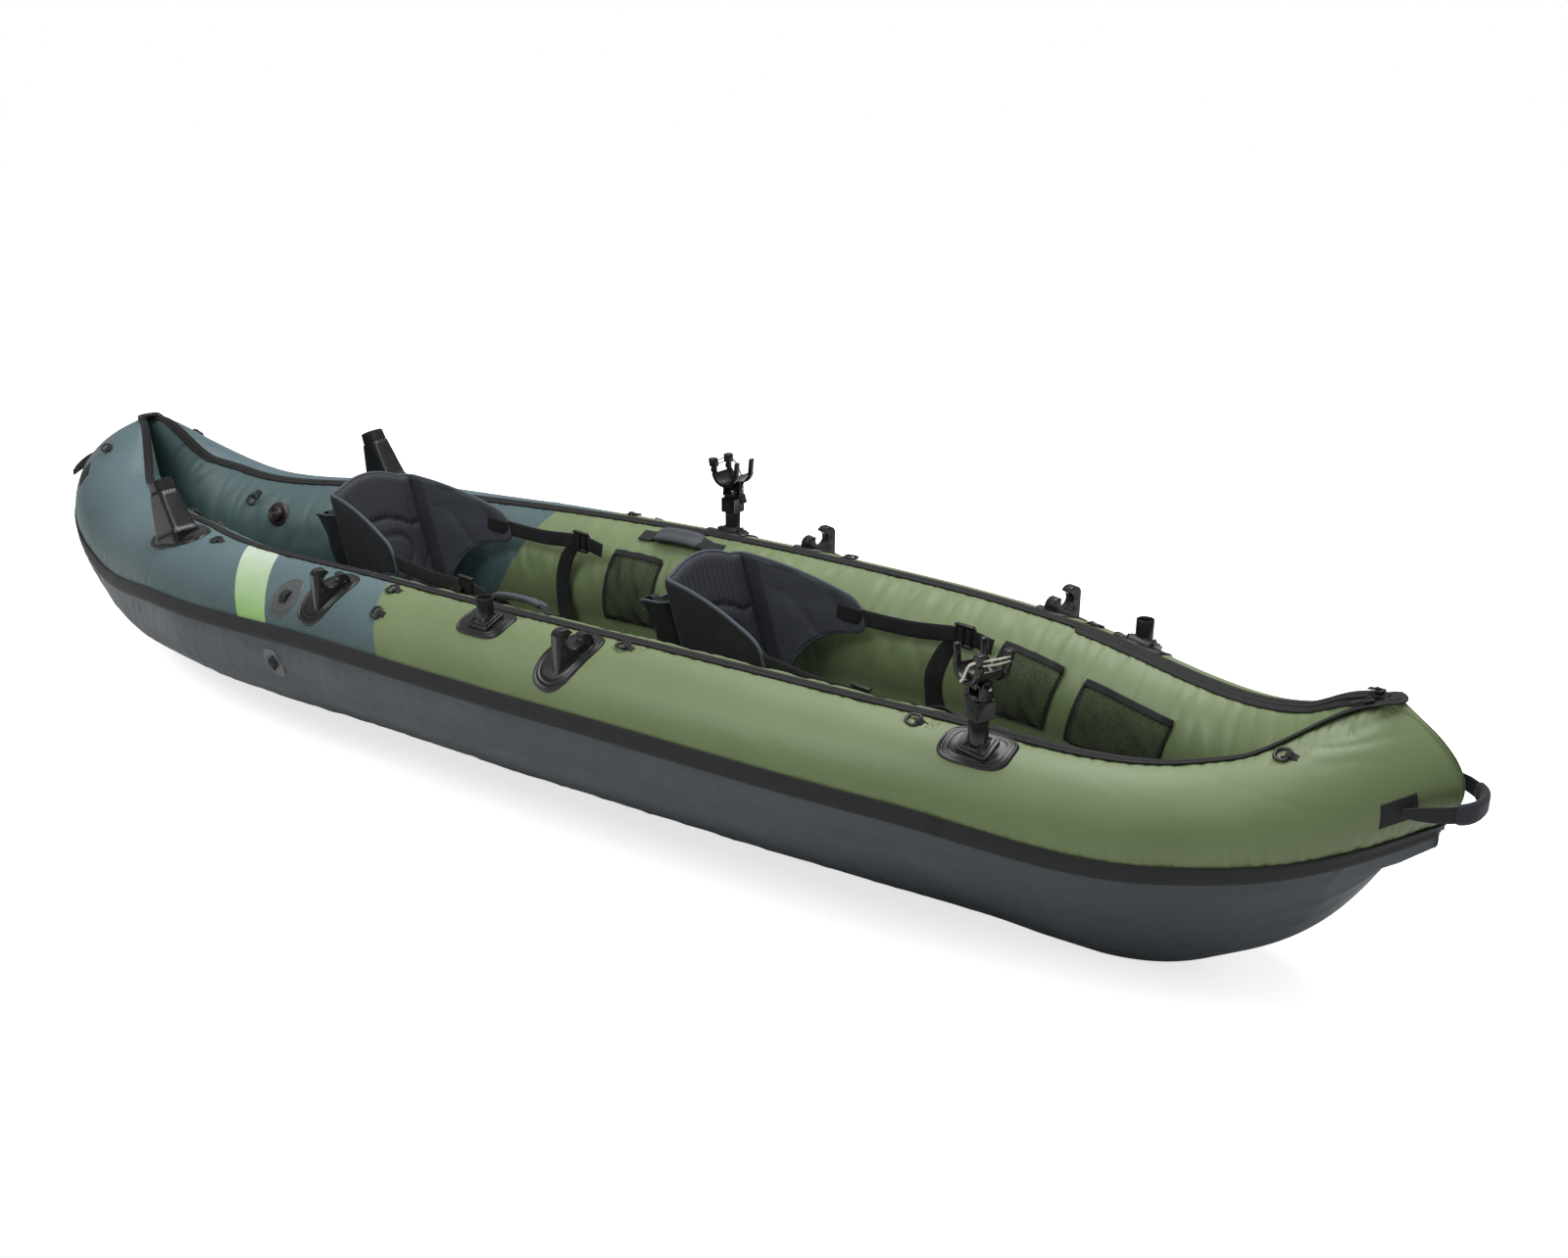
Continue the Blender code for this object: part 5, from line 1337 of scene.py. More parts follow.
def handle_patch(end, side_name):
    """Square of heavy cloth that anchors a handle's end, sewn round its edge."""
    side = SIDES[side_name]
    sign = 1 if end == "bow" else -1
    height, half = HANDLES[end]
    x = sign * (half[0][0] - 0.004)
    cut = section(x / HALF_LENGTH)
    angle = math.degrees(math.asin((height - cut.centre_z) / cut.tall))
    spot = tube_cloth(x, angle, side, 0.0)

    def place(u, v):
        rise = 0.0013 if 0.02 < u < 0.98 and 0.02 < v < 0.98 else -0.0004
        along, round_ = (u - 0.5) * 0.036, (v - 0.5) * 0.036
        point, out = spot(along, round_)
        return point + out * (rise + 0.0004 * swell(along, round_, 0, 0.012, 3.0)), (along, round_)

    piece = cloth_piece(end + "_handle_patch_" + side_name, 24, 24, place, WEBBING,
                        inside=lambda p: Vector((p.x, p.y - side * 0.05, p.z - 0.02)))
    lines = boxed_cross(tube_cloth(x, angle, side, 0.0016), 0.0145, 0.0145)
    stitches(end + "_handle_patch_stitching_" + side_name, lines[:4], BLACK_THREAD)


for end in HANDLES:
    carry_handle(end)
    for side_name in SIDES:
        handle_patch(end, side_name)


# Seats

HINGE_HEIGHT = 0.140
FOOT = HINGE_HEIGHT + 0.004
RECLINE = math.tan(math.radians(17.5))
PANEL_HALF = 0.080
CORNER = 0.030
WING = 0.203
FLARE = {"rear": 0.047, "front": 0.038}
TIP_LOW = 0.352
TIP_HIGH = 0.430
BACK_TOP = 0.488
BACK_CROWN = 0.020
REACH = PANEL_HALF + CORNER * math.pi / 2 + WING
PANEL_HEIGHT = 0.32
QUILTED_HALF = 0.104
CORNER_SEAM = 0.108
CLOSE_HALF = 0.112  # the quilted middle, which has CLOSE_SHARE of the columns
CLOSE_SHARE = 0.62
BACK_COLUMNS = 190
BACK_LINES = 72
FLOOR_GAP = 0.0012
CUSHION = SimpleNamespace(half=0.132, length=0.360, thick=0.058, start=0.015, welt=0.012, channel=0.36,
                          waist_x=0.032, waist_y=0.050)


def swell_up(piece, pressure, cap, pinned=None):
    cloth = piece.modifiers.new("swell", "CLOTH")
    settings = cloth.settings
    settings.quality = 4
    settings.mass = 0.2
    settings.tension_stiffness = 12.0
    settings.compression_stiffness = 12.0
    settings.bending_stiffness = 0.3
    settings.use_pressure = True
    settings.uniform_pressure_force = pressure
    settings.effector_weights.gravity = 0.0
    if pinned:
        group = piece.vertex_groups.new(name="sewn")
        group.add(pinned, 1.0, "REPLACE")
        settings.vertex_group_mass = "sewn"
    cloth.point_cache.frame_start = 1
    cloth.point_cache.frame_end = 20
    scene = bpy.context.scene
    for step in range(1, 21):
        scene.frame_set(step)
    blown = piece.evaluated_get(bpy.context.evaluated_depsgraph_get()).data
    places = [vert.co.copy() for vert in blown.vertices]
    piece.modifiers.remove(cloth)
    for vert, place in zip(piece.data.vertices, places):
        shift = place - vert.co
        if shift.length > cap:
            shift *= cap / shift.length
        vert.co += shift
    scene.frame_set(1)


def close_ends(mesh):
    """Turns a pad's faces outwards and fills its last small holes."""
    bm = bmesh.new()
    bm.from_mesh(mesh)
    if bm.calc_volume(signed=True) < 0:
        bmesh.ops.reverse_faces(bm, faces=bm.faces)
    bmesh.ops.holes_fill(bm, edges=[edge for edge in bm.edges if edge.is_boundary], sides=4)
    bm.to_mesh(mesh)
    bm.free()


def back_spot(label, s, v):
    """Middle of a backrest, s metres across from its centre and v from its foot to its top."""
    away = abs(s)
    share = max(away - PANEL_HALF, 0.0) / (REACH - PANEL_HALF)
    top = BACK_TOP - (BACK_TOP - TIP_HIGH) * share ** 2 - BACK_CROWN * min(away / PANEL_HALF, 1.0) ** 2
    foot = FOOT + (TIP_LOW - FOOT) * (1 - (1 - share) ** 2.4)
    if share > 0.93:
        middle = 0.5 * (top + foot)
        pinch = math.sqrt(max(1 - 0.72 * ((share - 0.93) / 0.07) ** 2, 0.0))
        top, foot = middle + (top - middle) * pinch, middle + (foot - middle) * pinch
    turn = min(max(away - PANEL_HALF, 0.0) / CORNER, math.pi / 2)
    forward = CORNER * (1 - math.cos(turn))
    y = min(away, PANEL_HALF) + CORNER * math.sin(turn)
    along = max(away - PANEL_HALF - CORNER * math.pi / 2, 0.0)
    forward += along
    y += FLARE[label] * (along / WING) ** 1.15
    z = foot + (top - foot) * v
    lean = (HINGE_HEIGHT - z) * RECLINE
    way = Vector((math.cos(turn), -math.copysign(math.sin(turn), s), 0.0))
    return Vector((forward + lean, math.copysign(y, s), z)), way


def round_box(x, y, half_x, half_y, radius):
    """Distance to the line of a box with rounded corners."""
    dx, dy = abs(x) - half_x + radius, abs(y) - half_y + radius
    outside = math.hypot(max(dx, 0.0), max(dy, 0.0))
    return abs(outside + min(max(dx, dy), 0.0) - radius)


def quilt_lines(s, v):
    """Distances in metres to the lines sewn through a backrest's front."""
    z = v * PANEL_HEIGHT
    away = abs(s)
    arch = abs(z - (0.232 - 0.020 * (s / 0.1) ** 2)) if away < QUILTED_HALF else 1.0
    low_arch = abs(z - (0.105 + 0.022 * (s / 0.1) ** 2)) if away < QUILTED_HALF else 1.0
    tongue = round_box(s, z - 0.168, 0.064, 0.030, 0.029)
    lobes = min(abs(math.hypot(away - 0.052, z - 0.058) - 0.033), abs(math.hypot(away, z - 0.030) - 0.020))
    corner = abs(away - CORNER_SEAM)
    return min(arch, low_arch), tongue, lobes, corner


def quilt(s, v):
    """Height of the padding's front over its middle: full between the sewn lines and drawn in along them."""
    away = abs(s)
    edge = min(1.0, (REACH - away) / 0.018, v * PANEL_HEIGHT / 0.016, (1 - v) * PANEL_HEIGHT / 0.016)
    round_ = math.sqrt(max(1 - (1 - edge) ** 2, 0.0))
    full = 0.0105 - 0.0045 * ease(0.095, 0.125, away)
    height = 0.0022 + (full - 0.0022) * round_
    sewn = 0.0
    for distance, deep in zip(quilt_lines(s, v), (0.0045, 0.0034, 0.0032, 0.0050)):
        sewn = max(sewn, deep * math.exp(-(distance / 0.0032) ** 2) + 0.4 * deep * math.exp(-(distance / 0.011) ** 2))
    z = v * PANEL_HEIGHT
    if away < QUILTED_HALF:
        above = ease(0.214, 0.226, z + 0.020 * (s / 0.1) ** 2)
        ribs = 0.5 + 0.5 * math.cos(2 * math.pi * s / 0.0137)
        sewn += 0.0017 * above * ribs ** 2 * round_
        inside = ease(0.0, 0.006, 0.027 - abs(z - 0.168)) * ease(0.0, 0.006, 0.060 - away)
        sewn += 0.0010 * inside * (0.5 + 0.5 * math.cos(2 * math.pi * s / 0.0062)) ** 2
        sewn += 0.0009 * (1 - above) * (1 - inside) * crease(s / 0.016, z / 0.12, 91.0, 0.35)
    else:
        along = (away - QUILTED_HALF) / 0.22
        fold = crease(away / 0.060 + 0.9 * v, v * 0.7, 95.0, 0.34)
        sewn += 0.0030 * fold * ease(0.10, 0.35, along) * (1 - ease(0.86, 0.97, along))
        pucker = crease(away / 0.011, v * 2, 97.0, 0.40)
        sewn += 0.0012 * pucker * math.exp(-((1 - v) * PANEL_HEIGHT / 0.030) ** 2) * edge
    return height - sewn * (0.25 + 0.75 * edge)


def back_face(label, lift=0.0):
    """Function of (s, v) that gives a point on a backrest's front and its way out."""
    def spot(s, v):
        point, way = back_spot(label, s, v)
        return Vector((SEATS[label], 0, 0)) + point + way * (quilt(s, v) + lift), way
    return spot


def back_across(u):
    """Place across the backrest for an even step u from 0 to 1, with closer steps over the quilting."""
    w = 2 * u - 1
    if abs(w) < CLOSE_SHARE:
        return CLOSE_HALF * w / CLOSE_SHARE
    return math.copysign(CLOSE_HALF + (REACH - CLOSE_HALF) * (abs(w) - CLOSE_SHARE) / (1 - CLOSE_SHARE), w)


def backrest(label):
    """Padded panel and wings in one piece, with their binding, stitches and strap tabs."""
    hinge = SEATS[label]
    body = "back_" + label
    front = back_face(label)
    lines = BACK_LINES

    def place(u, v):
        s = back_across(u)
        step = round(v * 2 * lines)
        faces_front = step <= lines
        step = step if faces_front else 2 * lines - step
        high = 0.35 * (0.5 - 0.5 * math.cos(math.pi * step / lines)) + 0.65 * step / lines
        if faces_front:
            point, _ = front(s, high)
        else:
            point, way = back_spot(label, s, high)
            edge = min(1.0, (REACH - abs(s)) / 0.018, high * 16, (1 - high) * 16)
            full = 0.0085 - 0.0045 * ease(0.095, 0.125, abs(s))
            back = 0.0018 + (full - 0.0018) * math.sqrt(max(1 - (1 - edge) ** 2, 0.0))
            back -= 0.0012 * crease(s / 0.035, high * 1.2, 99.0, 0.3)
            point = Vector((hinge, 0, 0)) + point - way * back
        return point, (s, high * PANEL_HEIGHT)

    piece = cloth_piece("backrest_padding_" + label, BACK_COLUMNS, 2 * lines, place, QUILT_CLOTH, body, closed=True)
    mesh = piece.data
    # The wings take the lighter navy, a painted-light copy of the quilt's cloth; the back takes the black cloth.
    for cloth in (WING_CLOTH_PAINTED_LIGHT, BACK_CLOTH):
        mesh.materials.append(cloth)
    for face in mesh.polygons:
        step = face.index // BACK_COLUMNS
        face.material_index = 2 if step >= lines else 1 if abs(face.center.y) > 0.1065 else 0
    close_ends(mesh)
    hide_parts("backrest_" + label)

    rim = [(back_across(k / 160), 1.0) for k in range(161)]
    rim += [(REACH, v / 10) for v in range(9, 0, -1)]
    rim += [(back_across(1 - k / 160), 0.0) for k in range(161)]
    rim += [(-REACH, v / 10) for v in range(1, 10)]
    points = []
    for s, v in rim:
        point, way = back_spot(label, s, v)
        points.append(Vector((hinge, 0, 0)) + point + way * 0.0006)
    # Binding in the dark piping, whose grey-blue colour is a painted sheen.
    cord_piece("backrest_binding_" + label, points, 0.0036, PIPING_PAINTED_SHEEN, body, closed=True)

    spot = back_face(label, 0.0004)
    lines_sewn, tip_lines = [], []
    for offset in (-0.004, 0.004):
        for sign in (-1, 1):
            lines_sewn.append([spot(sign * (CORNER_SEAM + offset), 0.03 + 0.94 * k / 40) for k in range(41)])
    arch = [-0.10 + 0.20 * k / 40 for k in range(41)]
    lines_sewn.append([spot(s, (0.236 - 0.020 * (s / 0.1) ** 2) / PANEL_HEIGHT) for s in arch])
    for sign in (-1, 1):
        def box(along, round_):
            return spot(sign * 0.050 + along, 0.27 + round_ / PANEL_HEIGHT)
        lines_sewn += boxed_cross(box, 0.011, 0.011)
        lines_sewn.append([spot(sign * 0.050 + 0.016 * math.cos(a * math.pi / 12),
                                0.27 + 0.017 * math.sin(a * math.pi / 12) / PANEL_HEIGHT) for a in range(25)])

        tab = [spot(sign * (REACH - 0.044 + 0.044 * k / 8), 0.50) for k in range(9)]
        ribbon("backrest_tab_" + label + ("_starboard" if sign < 0 else "_port"),
               [point + way * 0.0012 for point, way in tab], [way for _, way in tab],
               0.0150, 0.0016, WEBBING, body, 30)

        def tip(along, round_):
            point, way = spot(sign * (REACH - 0.030) + along, 0.50)
            return point + way * 0.0023 + Vector((0, 0, round_)), way
        tip_lines += boxed_cross(tip, 0.012, 0.010)
    stitches("backrest_stitching_" + label, lines_sewn, BLACK_THREAD, body, pitch=0.0038)
    stitches("backrest_tab_stitching_" + label, tip_lines, GREY_THREAD, body)


def seat_cushion(label):
    """Waisted cushion with two sewn channels and a piped edge."""
    hinge = SEATS[label]
    lines, columns = 44, 60
    low = FLOOR_TOP + FLOOR_GAP

    def place(u, v):
        step = round(v * 2 * lines)
        top = step <= lines
        across = -1 + 2 * (step if top else 2 * lines - step) / lines
        along = 2 * u - 1
        along = math.copysign(1 - (1 - abs(along)) ** 1.25, along)
        across = math.copysign(1 - (1 - abs(across)) ** 1.25, across)
        waist_y = 1 - CUSHION.waist_y * (1 - along * along)
        waist_x = 1 - CUSHION.waist_x * (1 - across * across)
        x = hinge + CUSHION.start + CUSHION.length / 2 * (1 + along * waist_x)
        y = CUSHION.half * across * waist_y
        full = max((1 - abs(along) ** 5) * (1 - abs(across) ** 5), 0.0) ** 0.62
        if not top:
            return Vector((x, y, low + CUSHION.welt * (1 - full))), (x, y)
        channel = math.exp(-((abs(along) - CUSHION.channel) / 0.045) ** 2)
        ridge = 1 - 0.34 * channel
        z = low + CUSHION.welt + (CUSHION.thick - 0.016) * full * (0.90 + 0.10 * (1 - across * across)) * ridge
        z -= 0.0016 * crease(x / 0.05 + across, y / 0.05, 103.0, 0.3) * full
        return Vector((x, y, z)), (x, y)

    piece = cloth_piece("seat_cushion_padding_" + label, columns, 2 * lines, place, QUILT_CLOTH, closed=True)
    close_ends(piece.data)
    sewn = [vert.index for vert in piece.data.vertices
            if vert.co.z < low + 0.013
            or abs(abs((vert.co.x - hinge - CUSHION.start) / (CUSHION.length / 2) - 1) - CUSHION.channel) < 0.02]
    swell_up(piece, 3.0, 0.006, sewn)
    piece.modifiers.new("smoother", "SUBSURF").levels = 1
    piece.modifiers["smoother"].render_levels = 1
    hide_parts("seat_cushion_" + label)
    piping = []
    for k in range(160):
        turn = 2 * math.pi * k / 160
        cosine, sine = math.cos(turn), math.sin(turn)
        along = curved(cosine, 0.22)
        across = curved(sine, 0.22)
        waist_x = 1 - CUSHION.waist_x * (1 - across * across)
        waist_y = 1 - CUSHION.waist_y * (1 - along * along)
        piping.append(Vector((hinge + CUSHION.start + CUSHION.length / 2 * (1 + along * waist_x),
                              CUSHION.half * across * waist_y, low + CUSHION.welt)))
    # Piping in the dark binding cloth, whose grey-blue colour is a painted sheen.
    cord_piece("seat_cushion_piping_" + label, piping, 0.0026, PIPING_PAINTED_SHEEN, closed=True)


BAG_MIDDLE = 0.045
BAG_COLUMNS = 96
BAG_FLOOR_SHARE = 0.12  # of a bag's lines


def gear_pocket(label):
    """Bag with an open mouth on the back of the backrest."""
    hinge = SEATS[label]
    body = "back_" + label

    def behind(z, away):
        """Middle of the boat, so far behind the backrest's middle at a height."""
        return Vector((hinge + (HINGE_HEIGHT - z) * RECLINE - away, 0, z))

    rows = ((0.204, 0.020, 0.062), (0.222, 0.050, 0.080), (0.262, 0.070, 0.088), (0.330, 0.080, 0.090),
            (0.385, 0.086, 0.090), (0.414, 0.094, 0.094))

    def ring(row, turn):
        z, depth, half = row
        near = behind(z, 0.0125).x
        cosine, sine = math.cos(turn), math.sin(turn)
        out = 0.5 + 0.5 * curved(cosine, 0.55)
        return Vector((near - depth * out, half * curved(sine, 0.60), z))

    def level(v):
        i, w = row_at(rows, v)
        w = w * w * (3 - 2 * w) * 0.4 + w * 0.6
        return tuple(a * (1 - w) + b * w for a, b in zip(rows[i], rows[i + 1]))

    def place(u, v):
        turn = 2 * math.pi * u
        if v < BAG_FLOOR_SHARE:
            point = ring(rows[0], turn)
            middle = behind(0.206, 0.022) - Vector((0, 0, 0.003))
            out = v / BAG_FLOOR_SHARE
            return middle.lerp(point, out), (point.y * out, -point.x * out)
        v = (v - BAG_FLOOR_SHARE) / (1 - BAG_FLOOR_SHARE)
        point = ring(level(v), turn)
        free = ease(-0.4, 0.3, math.cos(turn))
        sag = 0.0060 * crease(u * 9 + v, v * 1.4, 107.0, 0.34) + 0.0030 * crease(u * 17, v * 3, 109.0, 0.30)
        point += (behind(point.z, BAG_MIDDLE) - point).normalized() * sag * free
        point.z -= 0.022 * free * ease(0.55, 1.0, v) * (0.6 + 0.4 * math.cos(2 * turn))
        return point, (0.42 * u, 0.22 * v)

    def inside(p):
        return Vector((behind(p.z, BAG_MIDDLE).x, 0, 0.32))

    bag = cloth_piece("gear_bag_" + label, BAG_COLUMNS, 44, place, BAG_CLOTH, body, wall=0.0016, inside=inside,
                      closed=True)
    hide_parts("gear_pocket_" + label)
    mouth = [place(k / BAG_COLUMNS, 1.0)[0] + Vector((0, 0, 0.0010)) for k in range(BAG_COLUMNS)]
    # Rim in the dark piping, whose grey-blue colour is a painted sheen.
    cord_piece("gear_bag_rim_" + label, mouth, 0.0026, PIPING_PAINTED_SHEEN, body, closed=True)
    for y in (-0.040, 0.040):
        path, ways = [], []
        for k in range(9):
            v = 0.30 + 0.70 * k / 8
            turn = math.asin(min(max(curved(y / 0.083, 1 / 0.60), -1.0), 1.0)) / (2 * math.pi)
            point, _ = place(turn % 1.0, v)
            path.append(point - Vector((0.0022, 0, 0)))
            ways.append(Vector((-1, 0, 0)))
        path[-1].z += 0.004
        loop = path + [path[-1] + Vector((0.014, 0, 0.006)), path[-1] + Vector((0.026, 0, -0.010))]
        ribbon("gear_bag_webbing_" + label + ("_starboard" if y < 0 else "_port"), loop,
               ways + [Vector((-0.3, 0, 1)), Vector((1, 0, 0.3))], 0.0095, 0.0016, WEBBING, body, 40)


for label in SEATS:
    backrest(label)
    seat_cushion(label)
    gear_pocket(label)


# Straps, buckles and grips

def padded_grip(name, path, ways, half_wide, thick):
    """Padded sleeve round a band, with a seam down its middle."""
    count = 57
    middle = spline(path, count)
    facing = spline(ways, count)

    def place(u, v):
        i = min(round(u * (count - 1)), count - 1)
        along = (middle[min(i + 1, count - 1)] - middle[max(i - 1, 0)]).normalized()
        across = facing[i].cross(along).normalized()
        turn = 2 * math.pi * v
        cosine, sine = math.cos(turn), math.sin(turn)
        pinch = math.sqrt(max(1 - abs(2 * u - 1) ** 12, 0.0))
        wide = half_wide * curved(cosine, 0.6) * pinch
        seam = 1 - 0.50 * math.exp(-(wide / 0.0024) ** 2)
        out = (thick * sine * seam - 0.0006 * crease(u * 11, v * 3, 77.0, 0.3)) * pinch
        return middle[i] + across * wide + facing[i].normalized() * (out + 0.0008), (0.11 * u, 0.07 * v)

    # The sleeve takes the wings' lighter navy, a painted-light copy of the cloth.
    piece = cloth_piece(name, count - 1, 40, place, WING_CLOTH_PAINTED_LIGHT, closed=True,
                        inside=nearest(middle))


WALL_CLEARANCE = 0.005


def wall_y(x, z):
    """Distance from the boat's middle to the inner wall at a height, less a small clearance."""
    cut = section(x / HALF_LENGTH)
    share = min(abs(z - cut.centre_z) / cut.tall, 1.0)
    return cut.centre_y - cut.wide * math.sqrt(1 - share * share) - WALL_CLEARANCE


def buckle_place(label, side_name):
    side = SIDES[side_name]
    lower = side < 0
    return Vector((SEATS[label] + 0.3693, side * (0.154 + 0.012 * lower), 0.3903 - 0.014 * lower))


def seat_strap(label, side_name):
    """Webbing from the wing's tip through the buckle, with its loose tail."""
    side = SIDES[side_name]
    name = "seat_strap_" + label + "_" + side_name
    hinge = Vector((SEATS[label], 0, 0))
    inside = hinge + back_spot(label, side * (REACH - 0.014), 0.5)[0]
    tip = hinge + back_spot(label, side * REACH, 0.5)[0]
    buckle = buckle_place(label, side_name)
    path = [inside, tip, tip + Vector((0.022, 0, -0.001)), tip.lerp(buckle, 0.5) + Vector((0, 0, -0.005)),
            buckle + Vector((-0.022, 0, -0.001)), buckle + Vector((0, -side * 0.001, 0)),
            buckle + Vector((0.020, side * 0.002, -0.002)), buckle + Vector((0.056, side * 0.004, -0.010))]
    ways = [Vector((0.1 * math.sin(3 * k), -side, 0.10 - 0.02 * k)) for k in range(8)]
    strap = ribbon(name + "_webbing", path, ways, 0.0152, 0.0017, WEBBING, None, columns=96)
    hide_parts(name)
    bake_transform(strap)


def strap_buckle(label, side_name):
    """Ladder buckle: two rails, three bars and a lip to lift."""
    side = SIDES[side_name]
    name = "buckle_" + label + "_" + side_name
    turn = Matrix.Translation(buckle_place(label, side_name)) @ Matrix.Rotation(0.05, 4, "Y")
    bm = bmesh.new()
    for z in (-0.0188, 0.0188):
        add_shape(bm, block((-0.0195, -0.0044, z - 0.0027), (0.0195, 0.0044, z + 0.0027), 0.0015, 3), turn)
    for x, radius, y in ((-0.0155, 0.0028, 0.0), (0.0, 0.0024, -side * 0.0030), (0.0150, 0.0026, 0.0)):
        bar = rod([(x, y, z) for z in (-0.0190, -0.008, 0.008, 0.0190)], [radius] * 4, 14)
        add_shape(bm, bar, turn)
    lip = block((0.0120, -0.0016, -0.0166), (0.0230, 0.0016, 0.0166), 0.0009, 2)
    add_shape(bm, lip, turn @ Matrix.Translation((0, -side * 0.0035, 0)) @ Matrix.Rotation(side * 0.35, 4, "Z"))
    piece = new_piece(bm, name + "_frame", GLOSS, sharp=40)
    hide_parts(name)


def anchor_webbing(label, side_name):
    """Webbing that folds over the strap behind the buckle and goes down the wall to the floor."""
    side = SIDES[side_name]
    buckle = buckle_place(label, side_name)
    path = [buckle + Vector((-0.0155, side * 0.0045, 0.004))]
    for ahead, z in ((-0.026, 0.372), (-0.043, 0.345), (-0.056, 0.305), (-0.058, 0.255), (-0.052, 0.195),
                     (-0.048, 0.145), (-0.046, 0.100)):
        x = buckle.x + ahead
        z = min(z, buckle.z - 0.016)
        y = min(abs(buckle.y) + 0.002, wall_y(x, z)) if z > 0.15 else min(wall_y(x, z), 0.160)
        path.append(Vector((x, side * y, z)))
    ways = [Vector((0.5 - 0.1 * k, -side, 0.3 - 0.04 * k)) for k in range(len(path))]
    ribbon("anchor_webbing_" + label + "_" + side_name, path, ways,
           (0.0140, 0.0130, 0.0155, 0.0165, 0.0168, 0.0168, 0.0168, 0.0168), 0.0016, WEBBING, columns=80)


GRAB_ANGLE = 115.0


def grab_strap(side_name):
    """Short padded handle on the inner wall, just under the zip."""
    x = 0.025 if side_name == "starboard" else -0.008
    spot = tube_cloth(x, GRAB_ANGLE, SIDES[side_name], 0.0)
    half = ((0.106, 0.0008), (0.090, 0.0009), (0.074, 0.0016), (0.060, 0.0090), (0.036, 0.0140))
    steps = [(-along, lift) for along, lift in half] + [(0.0, 0.0155)] + list(half[::-1])
    path, ways = lifted_path(lambda along: spot(along, 0.0), steps)
    ribbon("grab_strap_" + side_name, path, ways, 0.0150, 0.0016, WEBBING, columns=70)
    padded_grip("grab_strap_grip_" + side_name, path[3:8], ways[3:8], 0.0200, 0.0066)
    lines = []
    for middle in (-0.090, 0.090):
        tab = tube_cloth(x + middle, GRAB_ANGLE, SIDES[side_name], 0.0028)
        lines += boxed_cross(tab, 0.009, 0.009)
    stitches("grab_strap_stitching_" + side_name, lines, GREY_THREAD)


for label in SEATS:
    for side_name in SIDES:
        seat_strap(label, side_name)
        strap_buckle(label, side_name)
        anchor_webbing(label, side_name)
for side_name in SIDES:
    grab_strap(side_name)


# Zip flap and sliders

SLIDER_PLACE = 0.985 * ZIP_REACH
FLAP_START = 0.370


def zip_flap(side_name):
    """Strip of cloth beside the zip, on the inner cover."""
    side = SIDES[side_name]

    def place(u, v):
        q = FLAP_START + (SLIDER_PLACE - FLAP_START) * u
        t = along_hull(q)
        cut = section(t)
        reach = 0.0150 * ease(0.0, 0.012, u) * (1 - 0.75 * ease(0.94, 1.0, u)) + 0.0005
        arc = 0.0095 + reach * v
        start = wall_start(cut)
        angle = cut.zip + math.degrees(arc / cut.wide)
        share = WALL_SHARE * (angle - start) / (INNER_FOOT_ANGLE - start)
        wave = 0.0005 * noise.noise(Vector((HALF_LENGTH * t / 0.03, 7.0, side)))
        point = tube_point(t, angle, side, 0.0024 - 0.0010 * v + wave)
        if abs(t) > RIM_SHIFT_START:
            point += rim_shift(q, side) * (1 - ease(0.0, 0.60, share))
        return point, (HALF_LENGTH * t, arc)

    flap = cloth_piece("zip_flap_" + side_name, 240, 6, place, BINDING, wall=0.0010, inside=inside_tube(side))


def zip_slider(name, q, side):
    """Slider with its pull tab, lying on the zip."""
    def at(s, share):
        return zip_surface(s, share, ZIP_HALF_WIDTH)

    here = at(q, 0.0)
    ahead = (at(q + 0.004, 0.0) - at(q - 0.004, 0.0)).normalized()
    across = (at(q, 0.4) - at(q, -0.4)).normalized()
    z = ahead.cross(across).normalized()
    z = -z if z.z < 0 else z
    y = z.cross(ahead)
    turn = frame_at(ahead, y, z, here)
    if side > 0:
        turn = Matrix.Scale(-1, 4, (0, 1, 0)) @ turn @ Matrix.Scale(-1, 4, (0, 1, 0))
    bm = bmesh.new()
    add_shape(bm, block((-0.0080, -0.0055, 0.0052), (0.0080, 0.0055, 0.0092), 0.0014, 3), turn)
    add_shape(bm, block((-0.0050, -0.0020, 0.0088), (0.0050, 0.0020, 0.0120), 0.0010, 2), turn)
    rings = [[(radius * math.cos(a) - 0.004, radius * math.sin(a)) for a in [k * math.pi / 8 for k in range(16)]]
             for radius in (0.0045, 0.0026)]
    tab = ring_plate(*rings, 0.0014, 0.0004)
    add_shape(bm, tab, turn @ Matrix.Translation((-0.004, 0.001, 0.0100)))
    add_shape(bm, block((-0.0240, -0.0030, 0.0082), (-0.0100, 0.0040, 0.0100), 0.0008, 2), turn)
    piece = new_piece(bm, name, SATIN, sharp=40)


for side_name in SIDES:
    zip_flap(side_name)
zip_slider("zip_slider_bow", SLIDER_PLACE, -1)
zip_slider("zip_slider_bow_port", SLIDER_PLACE, 1)


# Net pockets, inner rings and lash patches

NET_POCKETS = {
    "seat": ((-0.148, 139.0), (-0.020, 140.5), (-0.158, 201.0), (-0.030, 201.0)),
    "mid_bow": ((0.790, 138.0), (0.918, 144.0), (0.768, 198.0), (0.888, 200.0)),
    "bow": ((0.966, 146.0), (1.142, 150.0), (0.936, 203.0), (1.112, 203.0)),
}
NET_CELL = 0.0056
NET_THICKNESS = 0.00135


